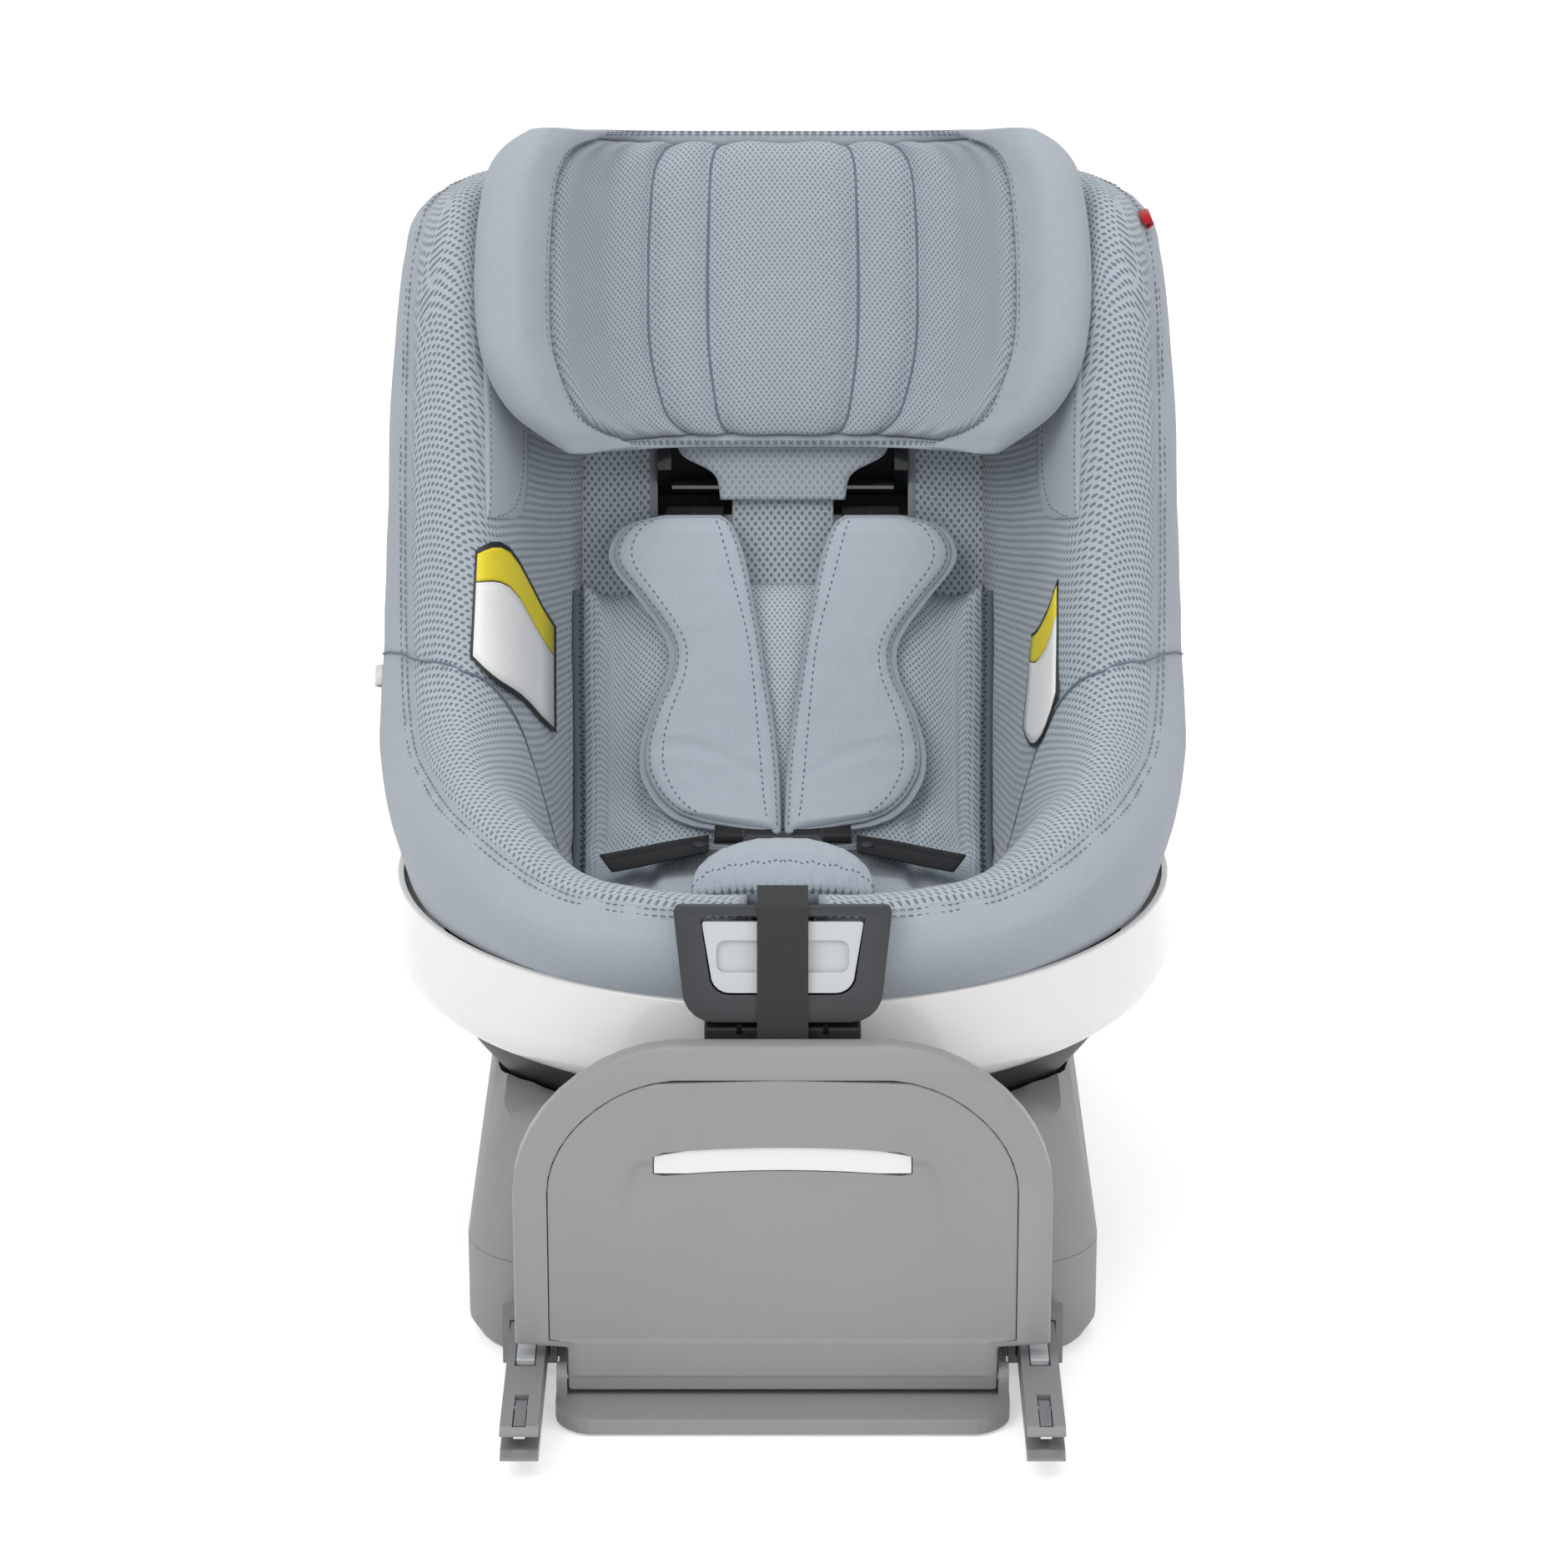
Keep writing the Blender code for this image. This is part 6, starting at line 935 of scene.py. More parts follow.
def wing_pads():
    """Plain D-shaped patches on the inner side walls, sewn on along their edge."""
    for side, label in SIDES:
        def cell(j, i):
            """Upper point, lower point and cloth coordinates of a place on the patch."""
            b = math.sin((-1 + 2 * j / WING_STEPS) * math.pi / 2)
            a = i / WING_COLUMNS
            reach = 0.04 + 0.66 * (1 - abs(b) ** 2.6) ** 0.5
            point, normal = spot(3.62 + reach * a, 7.02 + 0.80 * b)
            edge = min(1.0, a * 7, (1 - a) * 7 * reach / 0.7, (1 - abs(b)) * 14)
            height = 0.0016 + 0.0012 * math.sqrt(max(0.0, edge)) + 0.0004 * noise.noise(point * 40)
            return (on_side(point + normal * height, side), on_side(point + normal * 0.0002, side),
                    (reach * a * 0.05, b * 0.04, 0.0))

        rows = rows_of(WING_STEPS + 1, WING_COLUMNS + 1, cell)
        soft_piece("wing_soft_" + label, rows, "knit", "seat", ["wing_pad_" + label], False)
        lines = []
        for column in (14, 2):
            places = [row[column][0] for row in rows[3:-3]]
            line = []
            for k, point in enumerate(places):
                ahead = places[min(k + 1, len(places) - 1)] - places[max(k - 1, 0)]
                aside = Vector((-side, -0.35, 0.35))
                aside -= ahead * (aside.dot(ahead) / ahead.length_squared)
                line.append((point, aside.normalized()))
            lines.append(line)
        stitches("wing_stitch_" + label, lines, pitch=0.0040, length=0.0026)


# Headrest
HEAD_HALF_WIDTH = 0.176
HEAD_HEIGHT = 0.184
HEAD_DEPTH = 0.130
HEAD_DROP_share = 0.2
HEAD_FINE = 6


def head_grid():
    """Half of the headrest's surface, finer than in the solid."""
    rows = []
    for up, wide, deep, thick in HEAD_STATION_share:
        row = []
        for (across, out), twin in zip(HEAD_SECTION_share, HEAD_SECTION_share[::-1]):
            middle = ((across + twin[0]) / 2, (out + twin[1]) / 2)
            x = middle[0] + (across - middle[0]) * thick
            out = (middle[1] + (out - middle[1]) * thick) * deep * HEAD_DEPTH
            row.append(on_back(x * wide * HEAD_HALF_WIDTH, up * HEAD_HEIGHT - HEAD_DROP_share * out,
                               out))
        rows.append(row)
    grid = fine_grid(rows, HEAD_FINE, True, False)
    for row in grid:
        row[0].x = row[-1].x = 0
    return grid


def drawn_grid(grid):
    """The same surface with its columns drawn in, so that one of them follows the pad's border."""
    rows = []
    last = len(grid[0]) - 1
    middle = (PAD_FIRST + PAD_LAST) / 2
    half = (PAD_LAST - PAD_FIRST) / 2
    for r, row in enumerate(grid):
        along = min(1.0, abs(r - middle) / half)
        keep = 0.965 - 0.27 * along ** 6
        line = []
        for c in range(last + 1):
            place = c * keep
            if c > PAD_EDGE:
                rest = (last - PAD_EDGE * keep) / (last - PAD_EDGE)
                place = PAD_EDGE * keep + (c - PAD_EDGE) * rest
            low = min(int(place), last - 1)
            line.append(row[low].lerp(row[low + 1], place - low))
        rows.append(line)
    normals = grid_normals(rows)
    if normals[3 * HEAD_FINE][0].dot(BACK_OUT) < 0:
        normals = [[-n for n in line] for line in normals]
    return rows, normals


PAD_FIRST = 4
PAD_LAST = 39
PAD_EDGE = 5 * HEAD_FINE
HEAD, HEAD_NORMALS = drawn_grid(head_grid())
HEAD_RUN = lengths(HEAD)


def head_pad_edge(r, c):
    """Signed distance, in grid steps, from the pad's border: positive inside the pad."""
    return min(r - PAD_FIRST, PAD_LAST - r, PAD_EDGE - c)


def headrest_surround():
    """Plain padded surround with its seam groove and the room for the pad."""
    bm = bmesh.new()
    layer = cloth_layer(bm)
    count = len(HEAD[0])
    for side in (1, -1):
        made = []
        for r, row in enumerate(HEAD):
            line = []
            for c, point in enumerate(row):
                inside = head_pad_edge(r, c)
                if inside >= -1:
                    rise = (-0.0008, -0.0035, -0.0145)[min(inside, 1) + 1]
                else:
                    rise = 0.0012 * noise.noise(point * 24) + 0.0004 * noise.noise(point * 70)
                    if c < 9 * HEAD_FINE:
                        rise += 0.001
                moved = point + HEAD_NORMALS[r][c] * rise
                if c in (0, count - 1):
                    moved.x = 0
                line.append(add_point(bm, layer, on_side(moved, side),
                                      (HEAD_RUN[r][c][1], HEAD_RUN[r][c][0], 0.0)))
            made.append(line)
        for row, following in zip(made, made[1:]):
            for c in range(count - 1):
                bm.faces.new((row[c], row[c + 1], following[c + 1], following[c]))
        for row in (made[0], made[-1]):
            for c in range((count - 1) // 2):
                corners = [row[c], row[c + 1], row[count - 2 - c], row[count - 1 - c]]
                if c + 1 == count - 2 - c:
                    corners.pop(2)
                bm.faces.new(corners)
    bmesh.ops.remove_doubles(bm, verts=bm.verts, dist=TOUCH)
    item = finish_mesh("head_surround_soft", bm, "knit", "headrest", ["headrest_rim"])
    refine(item)


def head_pad():
    """Fine net pad with four long seams."""
    def cell(i, c):
        """Upper point, lower point and cloth coordinates of a place on the pad."""
        r = PAD_FIRST + i
        point, normal = HEAD[r][c], HEAD_NORMALS[r][c]
        across = c / HEAD_FINE
        rise = -0.0030 * max(0.0, 1 - head_pad_edge(r, c) / 1.6) ** 2 + 0.0012
        rise -= 0.0050 * (hill(across, 1.0, 0.085) + hill(across, 2.0, 0.085))
        rise += 0.0016 * math.sin(math.pi * (across % 1.0)) ** 2
        rise += 0.0008 * noise.noise(point * 26)
        top, low = point + normal * rise, point - normal * 0.009
        if c == 0:
            top.x = low.x = 0
        return top, low, (HEAD_RUN[r][c][1], HEAD_RUN[r][c][0], 0.0)

    soft_piece("head_pad_soft", rows_of(PAD_LAST - PAD_FIRST + 1, PAD_EDGE + 1, cell), "fine_net",
               "headrest", ["headrest_pad"], finer=True)


# Harness
PAD_TOP_COLUMN = 14.4
PAD_FOOT_COLUMN = 10.55
PAD_LIFT = 0.0192
PAD_WIDTH = 0.066
PAD_COLUMNS = 22
STRAP_FOOT_COLUMN = 11.0
STRAP_TOP_X = 0.052
STRAP_FOOT_X = 0.0228
STRAP_LIFT = 0.0174
WEB_WIDTH = 0.034
WEB_THICK = 0.0016
LAP_WIDTH = 0.028
LAP_UNIT = 0.0425
RIVET_PLACE = (0.0485, 0.0545, 0.2077)
# Shoulder pad from its top down: share of its length, inner and outer edge in shares of its width
PAD_SHAPE = [
    (0.0, 0.56, 1.05), (0.02, 0.47, 1.33), (0.07, 0.39, 1.47), (0.12, 0.34, 1.45),
    (0.19, 0.29, 1.25), (0.27, 0.235, 1.03), (0.33, 0.20, 0.945), (0.40, 0.165, 0.98),
    (0.48, 0.12, 1.10), (0.58, 0.08, 1.19), (0.68, 0.055, 1.20), (0.76, 0.045, 1.15),
    (0.86, 0.04, 1.04), (0.94, 0.035, 0.90), (1.0, 0.04, 0.72)]


def back_line(column, lift):
    """Point and normal in the middle plane, lifted off the padding."""
    point, normal = liner_spot(0.0, column / 2)
    return point + normal * lift, normal


def pad_place(share):
    """Point and normal under a shoulder pad at a share of its length."""
    return back_line(PAD_TOP_COLUMN + (PAD_FOOT_COLUMN - PAD_TOP_COLUMN) * share, PAD_LIFT)


def pad_height(t, share):
    """Quilted height of a shoulder pad at a share across and along."""
    side = 1 - abs(2 * t - 1) ** 6
    end = min(1.0, share / 0.035, (1 - share) / 0.035)
    crown = math.sqrt(max(0.0, side)) * math.sqrt(max(0.0, end))
    place = 0.60 + 0.30 * max(0.0, 0.72 - t) ** 1.7
    arc = hill(share, place, 0.010) + 0.7 * hill(share, place + 0.028, 0.009)
    return 0.007 * (0.30 + 0.70 * crown) - 0.0014 * arc * crown


def shoulder_pads():
    """Quilted pads with bound edges, on a second, slightly larger layer."""
    stations = fine_line([Vector(row) for row in PAD_SHAPE],
                         Vector(PAD_SHAPE[0]) * 2 - Vector(PAD_SHAPE[1]),
                         Vector(PAD_SHAPE[-1]) * 2 - Vector(PAD_SHAPE[-2]), 7)
    for side, label in SIDES:
        for kind in ("soft", "under"):
            rows = []
            run = 0.0
            before = None
            for share, inner, outer in stations:
                middle, _ = pad_place(share)
                if before is not None:
                    run += (middle - before).length
                before = middle
                slant = 0.075 * max(0.0, (share - 0.62) / 0.38) ** 1.6
                row = []
                for k in range(PAD_COLUMNS + 1):
                    t = 0.5 - 0.5 * math.cos(math.pi * k / PAD_COLUMNS)
                    x = (inner + (outer - inner) * t) * PAD_WIDTH
                    point, normal = pad_place(share - slant * t)
                    if kind == "under":
                        x += (t - 0.15) * 0.0055
                        point = point - BACK_UP * 0.0035 * share
                        height, floor = 0.0022, -0.0004
                    else:
                        height, floor = pad_height(t, share), 0.0006
                        height += 0.0006 * noise.noise(Vector((x * 60 * side, run * 60, 3)))
                    base = Vector((x * side, point.y, point.z))
                    row.append((base + normal * height, base + normal * floor, (x, run, 0.0)))
                rows.append(row)
            if kind == "under":
                soft_piece("shoulder_under_" + label, rows, "binding", "seat", mirror=False)
                continue
            soft_piece("shoulder_soft_" + label, rows, "pad_knit", "seat",
                       ["shoulder_pad_" + label], False)
            upper = [[cell[0] for cell in row] for row in rows]
            border = [row[0] for row in upper] + upper[-1][1:] + \
                [row[-1] for row in reversed(upper[:-1])] + list(reversed(upper[0][1:-1]))
            tube("shoulder_binding_" + label, border, 0.0014, "binding", "seat", 8, True)
            lines = [[(row[k], normal_of(row[k])) for row in upper[inset:-inset]]
                     for inset in (2, 5) for k in (inset, -1 - inset)]
            stitches("shoulder_stitch_" + label, lines, pitch=0.0042, length=0.0028)


def normal_of(point):
    """The back's outward normal near a point on the harness."""
    found = BACK_TREE.find_nearest(point)
    normal = found[1]
    if normal.dot(point - found[0]) < 0:
        normal = -normal
    return normal


def back_tree():
    """Search tree over the floor and the back."""
    points, faces = [], []
    for side in (1, -1):
        for r in range((RIM_ROWS - 1) * FINE, LINER_ROWS * FINE):
            for c in range(len(GRID[0]) - 1):
                start = len(points)
                for i, j in ((r, c), (r, c + 1), (r + 1, c + 1), (r + 1, c)):
                    p = GRID[i][j]
                    points.append((p.x * side, p.y, p.z))
                faces.append((start, start + 1, start + 2, start + 3))
    return BVHTree.FromPolygons(points, faces)


BACK_TREE = back_tree()


def band(name, stations, width, replaced, side, steps=6):
    """Webbing through stations of (point, across, out), with rounded edges."""
    points, across, out = ([Vector(s[k]) for s in stations] for k in range(3))
    across = [a.normalized() for a in across]
    out = [o.normalized() for o in out]
    line = fine_line(points, points[0] * 2 - points[1], points[-1] * 2 - points[-2], steps)
    sides = fine_line(across, across[0], across[-1], steps)
    outs = fine_line(out, out[0], out[-1], steps)
    bm = bmesh.new()
    layer = cloth_layer(bm)
    half, thin = width / 2, WEB_THICK * 0.5
    profile = [(-half, 0), (-half + thin, thin), (-half * 0.5, thin), (0, WEB_THICK * 0.42),
               (half * 0.5, thin), (half - thin, thin), (half, 0), (half - thin, -thin), (0, -thin),
               (-half + thin, -thin)]
    rings = []
    run = 0.0
    for i, point in enumerate(line):
        if i:
            run += (point - line[i - 1]).length
        a = sides[i].normalized()
        o = (outs[i] - a * outs[i].dot(a)).normalized()
        rings.append([add_point(bm, layer, on_side(point + a * x + o * z, side), (x, run, 0.0))
                      for x, z in profile])
    skin(bm, rings)
    finish_mesh(name, bm, "webbing", "seat", replaced)


def harness():
    """Shoulder and lap straps."""
    stations = [((STRAP_TOP_X, 0.1975, 0.3691), (1, 0, 0), tuple(BACK_UP))]
    for share, lift_share in ((0, 0.55), (0.12, 0.8), (0.3, 1.0), (0.5, 1.0), (0.7, 1.0),
                              (0.86, 1.0), (1.0, 1.0)):
        column = PAD_TOP_COLUMN + (STRAP_FOOT_COLUMN - PAD_TOP_COLUMN) * share
        x = STRAP_TOP_X + (STRAP_FOOT_X - STRAP_TOP_X) * share
        point, normal = back_line(column, STRAP_LIFT * lift_share)
        stations.append(((x, point.y, point.z), (1, 0, 0), normal))
    for y, z, out in ((0.067, 0.2105, (0, 0, 1)), (0.0598, 0.2105, (0, -1, 1)),
                      (0.059, 0.2071, (0, -1, 0))):
        stations.append(((STRAP_FOOT_X, y, z), (1, 0, 0), out))
    lap = [((x * LAP_UNIT, y, z), a, n) for x, y, z, a, n in (
        (1.012, 0.058, 0.2070, (0, 1, 0), (0, 0, 1)), (1.5, 0.050, 0.2060, (0.2, 1, 0), (0, 0, 1)),
        (2.0, 0.040, 0.2050, (0.3, 1, 0), (0, 0, 1)),
        (2.4, 0.032, 0.2045, (0.3, 1, 0), (0.2, 0, 1)))]
    for side, label in SIDES:
        band("shoulder_web_" + label, stations, WEB_WIDTH, ["shoulder_strap_" + label], side)
        band("lap_web_" + label, lap, LAP_WIDTH, ["lap_strap_" + label], side)


# Solids that show as they are: their names by finish, and by the width of their rounded edges
FINISHES = {
    "base": "base_lip leg_inner",
    "black": "bearing_ring turntable_disc front_tongue recline_track runner_left runner_right "
             "adjuster_body buckle headrest_lever",
    "arm": "arm_guide_left arm_guide_right connector_left connector_right",
    "rubber": "rubber_strip_left rubber_strip_right leg_foot",
    "steel": "leg_pin panel_hinge_rod isofix_frame hook_left hook_right leg_outer tongue_left "
             "tongue_right",
    "handle": "release_left release_right recline_handle",
    "white": "panel_grip",
    "red": "leg_button buckle_button",
    "shell": "seat_shell headrest_shell",
    "bezel": "adjuster_button",
    "webbing": "crotch_strap adjuster_strap",
    "gloss": "harness_rod",
}
ROUNDINGS = {
    0.0012: "front_tongue",
    0.0010: "recline_handle connector_left connector_right leg_foot",
    0.0008: "panel_grip arm_guide_left arm_guide_right buckle headrest_lever",
    0.0006: "adjuster_body",
    0.0004: "tongue_left tongue_right",
}


def hard_nodes():
    """Finish and rounded edges for every solid that shows as it is."""
    for kind, names in FINISHES.items():
        for name in names.split():
            NODES[name].data.materials.clear()
            NODES[name].data.materials.append(MATERIALS[kind])
    for width, names in ROUNDINGS.items():
        for name in names.split():
            round_edges(NODES[name], width, 2, 32).harden_normals = False


def round_edges(item, width, segments, angle):
    """A bevel on the edges that bend more than an angle in degrees."""
    mod = item.modifiers.new("edges", "BEVEL")
    mod.width = width
    mod.segments = segments
    mod.limit_method = "ANGLE"
    mod.angle_limit = math.radians(angle)
    return mod


def joined_copy(name, kind, body, angle, width):
    """The solid's own form with its corners joined, so that curved walls shade smoothly."""
    bm = bmesh.new()
    bm.from_mesh(NODES[name].data)
    bmesh.ops.remove_doubles(bm, verts=bm.verts, dist=TOUCH)
    item = finish_mesh(name + "_fine", bm, kind, body, [name], turn_out=False)
    item.data.set_sharp_from_angle(angle=math.radians(angle))
    round_edges(item, width, 3, angle)


def joined_pieces():
    """The large mouldings whose facets would show."""
    joined_copy("base_cover", "base", "base", 38, 0.0020)
    joined_copy("base_tray", "base", "base", 38, 0.0016)
    joined_copy("back_cover", "shell", "seat", 50, 0.0015)
    joined_copy("panel_frame", "panel", "rebound_panel", 30, 0.0012)
    joined_copy("front_bezel", "bezel", "seat", 30, 0.0012)


# Tags: part, finish, its place in shares of the tag's sides, and its lift
TAG_STEPS = 8
TAG_PARTS = (("edge", "tag_black", (0.0, 1.0, 0.0, 1.0), 0.0006),
             ("field", "tag_white", (0.03, 0.97, 0.28, 0.96), 0.0010),
             ("band", "tag_yellow", (0.03, 0.97, 0.04, 0.27), 0.0010))


def tag(name, side, corners):
    """A flat label on the side wall: thin plates for edge, field and band."""
    for part, kind, (near, far, low, high), lift in TAG_PARTS:
        def cell(i, j):
            """Upper point, lower point and cloth coordinates of a place on the plate."""
            a = near + (far - near) * i / TAG_STEPS
            b = low + (high - low) * j / TAG_STEPS
            r, c = ((first * (1 - a) + second * a) * (1 - b) + (fourth * (1 - a) + third * a) * b
                    for first, second, third, fourth in zip(*corners))
            point, normal = spot(r, c - 4 * a * (1 - a) * (0.10 + 0.24 * b))
            return (on_side(point + normal * (lift + 0.0018), side),
                    on_side(point + normal * (lift + 0.0014), side), (a, b, 0.0))

        rows = rows_of(TAG_STEPS + 1, TAG_STEPS + 1, cell)
        finish_mesh(name + "_" + part, sheet(rows, False), kind, "seat")


def buckle_pad():
    """Domed pad over the buckle, its lower edge gathered."""
    steps, count = 72, 24
    front, floor = -0.0285, 0.2033

    def cell(i, j):
        """Upper point, lower point and cloth coordinates of a place on the pad."""
        t, s = 1 - i / steps, j / count
        arch = math.sqrt(max(0.0, 1 - t ** 2.2))
        rear = front + 0.0440 * (0.10 + 0.90 * arch)
        gather = math.cos(i * math.pi / 3.0)
        y = front + (rear - front) * s + 0.0012 * gather * (1 - s) ** 2
        lift = math.sin(math.pi * (0.06 + 0.70 * s)) ** 0.62
        height = 0.0275 * (0.22 + 0.78 * arch ** 0.8) * lift
        height += 0.0013 * gather * (1 - s) ** 3 - 0.0015 * hill(s, 0.30, 0.045) * arch
        height += 0.0007 * noise.noise(Vector((t * 9, s * 7, 2)))
        x = 0.0515 * t
        return (Vector((x, y, floor + height)),
                Vector((x * 0.97, y, floor + max(0.0, height - 0.0085))), (x * 1.4, y * 1.4, 0.0))

    rows = rows_of(steps + 1, count + 1, cell)
    soft_piece("buckle_soft", rows, "pad_knit", "seat", ["buckle_pad"])
    edge = [row[0][0] for row in rows]
    edge = [on_side(p, -1) for p in edge] + list(reversed(edge[:-1]))
    tube("buckle_binding", edge, 0.0012, "binding", "seat", 8)
    lines = [[(on_side(row[6][0], side), Vector((0, -0.6, 0.8))) for row in rows]
             for side in (1, -1)]
    stitches("buckle_stitches", lines, pitch=0.0042, length=0.0028)


def rivets():
    """Round snaps on the lap straps."""
    for side, label in SIDES:
        bm = bmesh.new()
        bmesh.ops.create_uvsphere(bm, u_segments=20, v_segments=10, radius=0.0042)
        for vert in bm.verts:
            vert.co.z *= 0.32
            vert.co += on_side(Vector(RIVET_PLACE), side)
        finish_mesh("rivet_" + label, bm, "black", "seat")


def seam_stitches():
    """Double rows on the plain side of the rim's seam and round the headrest's pad."""
    lines = []
    for inset in (0.0035, 0.0075):
        line = []
        for column in [c / 4 for c in range(11 * 4 + 1)]:
            base, _ = spot(KNIT_SEAM, column)
            step = 0.02
            row = KNIT_SEAM
            while row > 1.0:
                point, normal = spot(row - step, column)
                if (point - base).length >= inset:
                    break
                row -= step
            line.append((point + normal * 0.0002, normal))
        lines += [[(on_side(p, side), on_side(n, side)) for p, n in line] for side in (1, -1)]
    stitches("rim_stitches", lines)
    lines = []
    for out in (1.6, 2.4):
        for side in (1, -1):
            lines.append([head_spot(r, PAD_EDGE + out, side)
                          for r in range(PAD_FIRST, PAD_LAST + 1)])
            for row in (PAD_LAST + out, PAD_FIRST - out):
                lines.append([head_spot(row, c, side) for c in range(PAD_EDGE + 1)])
    stitches("head_stitches", lines, body="headrest")


def head_spot(r, c, side):
    """Point and normal of the headrest at fine grid coordinates."""
    i = max(0, min(int(r), len(HEAD) - 2))
    j = max(0, min(int(c), len(HEAD[0]) - 2))
    a, b = (HEAD[k][j].lerp(HEAD[k][j + 1], c - j) for k in (i, i + 1))
    n = HEAD_NORMALS[i][j].lerp(HEAD_NORMALS[i + 1][j + 1], 0.5).normalized()
    return on_side(a.lerp(b, r - i) + n * 0.0010, side), on_side(n, side)


def mesh_tab():
    """Net flap under the headrest, between the harness slots, with a stepped outline."""
    steps = 24

    def cell(i, j):
        """Upper point, lower point and cloth coordinates of a place on the flap."""
        s, t = i / steps, -1 + 2 * j / steps
        step = 1 / (1 + math.exp(-(s - 0.52) * 16))
        x = t * (0.064 - 0.004 * s - 0.023 * step)
        up = 0.006 - 0.044 * s
        out = 0.0036 + 0.0020 * (1 - t ** 8) * (1 - s ** 8)
        out += 0.0003 * noise.noise(Vector((t * 3, s * 4, 1)))
        return on_back(x, up, out), on_back(x, up, 0.0024), (x, up, 0.0)

    rows = rows_of(steps + 1, steps + 1, cell)
    soft_piece("head_flap", rows, "net", "headrest", mirror=False)


# Pieces turned about the seat's axis
RING_STEPS = 240
BOWL_STEPS = 180


def revolved(name, profile, material, steps, replaced=(), change=None):
    """A closed profile of (radius, height) turned about the seat's axis.
    The change, where given, returns other values for a radius, a height and an angle."""
    bm = bmesh.new()
    rings = []
    for i in range(steps):
        angle = 2 * math.pi * i / steps
        places = [change(*place, angle) if change else place for place in profile]
        rings.append([bm.verts.new((radius * math.cos(angle), radius * math.sin(angle), height))
                      for radius, height in places])
    skin(bm, rings, True)
    item = finish_mesh(name, bm, material, "turntable", replaced)
    item.data.set_sharp_from_angle(angle=math.radians(40))


def arc(centre, radius, start, end, steps):
    """Points of an arc in the profile plane; angles in degrees."""
    out = []
    for i in range(steps + 1):
        angle = math.radians(start + (end - start) * i / steps)
        out.append((centre[0] + radius * math.cos(angle), centre[1] + radius * math.sin(angle)))
    return out


def ring_drop(radius, height, angle):
    """The ring's skirt stands higher and wider at both sides than in front."""
    share = min(1.0, max(0.0, (0.210 - height) / 0.050)) * abs(math.cos(angle)) ** 3
    return radius + 0.004 * share, height + 0.002 * share


def skirt_ring():
    """White ring with a rounded top edge, a soft shoulder and a lower lip in grey as painted shade
    under the ring.
    """
    outer, top, knee, foot, low = 0.2188, 0.2180, 0.182, 0.199, 0.158
    edge, inner, step = 0.0012, 0.1937, 0.1905
    profile = [(outer - 0.0035, top)]
    profile += arc((outer - edge, top - edge), edge, 90, 0, 5)
    for s in [i / 12 for i in range(1, 13)]:
        profile.append((outer + 0.0004 * math.sin(math.pi * s),
                        top - edge - (top - edge - knee) * s))
    for angle in [math.radians(84 * i / 16) for i in range(1, 17)]:
        profile.append((outer - (outer - foot) * (1 - math.cos(angle)),
                        knee - (knee - low) * math.sin(angle)))
    x, z = profile[-1]
    profile += [(x - edge, z), (inner, low + 0.0002), (inner, 0.1765), (step, 0.1765),
                (step, 0.1800), (outer - 0.0035, 0.1860)]
    revolved("ring_fine", profile, "white", RING_STEPS, ["skirt_ring"], ring_drop)
    # Painted shade: the lip at the ring's lower edge is grey, standing in for the white's underside
    # in shade.
    lip = arc((x - 0.0014, z + 0.0002), 0.0017, 40, -100, 8)
    lip += [(x - 0.005, z - 0.0012), (x - 0.005, z - 0.0002)]
    revolved("ring_lip", lip, "lip", RING_STEPS, change=ring_drop)


def bowl():
    """Black bowl in a smooth round section."""
    radius, wall, pivot = 0.229, 0.004, 0.2725
    knee, floor, top = 0.1605, 0.0853, 0.176

    def side(size, start, end):
        """Points of the round wall between two heights."""
        heights = [start + (end - start) * i / 32 for i in range(33)]
        return [(math.sqrt(size ** 2 - (pivot - z) ** 2), z) for z in heights]

    outer = side(radius, knee, floor)
    neck = outer[0][0]
    profile = [(0.0004, floor + wall)] + side(radius - wall, floor + wall, knee + wall / 2)
    profile += [(neck - wall, top), (neck, top)] + outer + [(0.0004, floor)]
    revolved("bowl_fine", profile, "bowl", BOWL_STEPS, ["carriage_bowl"])


# Rebound panel's set-in plate: rows over the frame's lower bar and above it, columns, and the
# slot's half length and steps
FOOT_ROWS = 24
FACE_ROWS = 84
PLATE_COLUMNS = 96
GRIP_HALF = 0.0686
SLOT_STEPS = 24


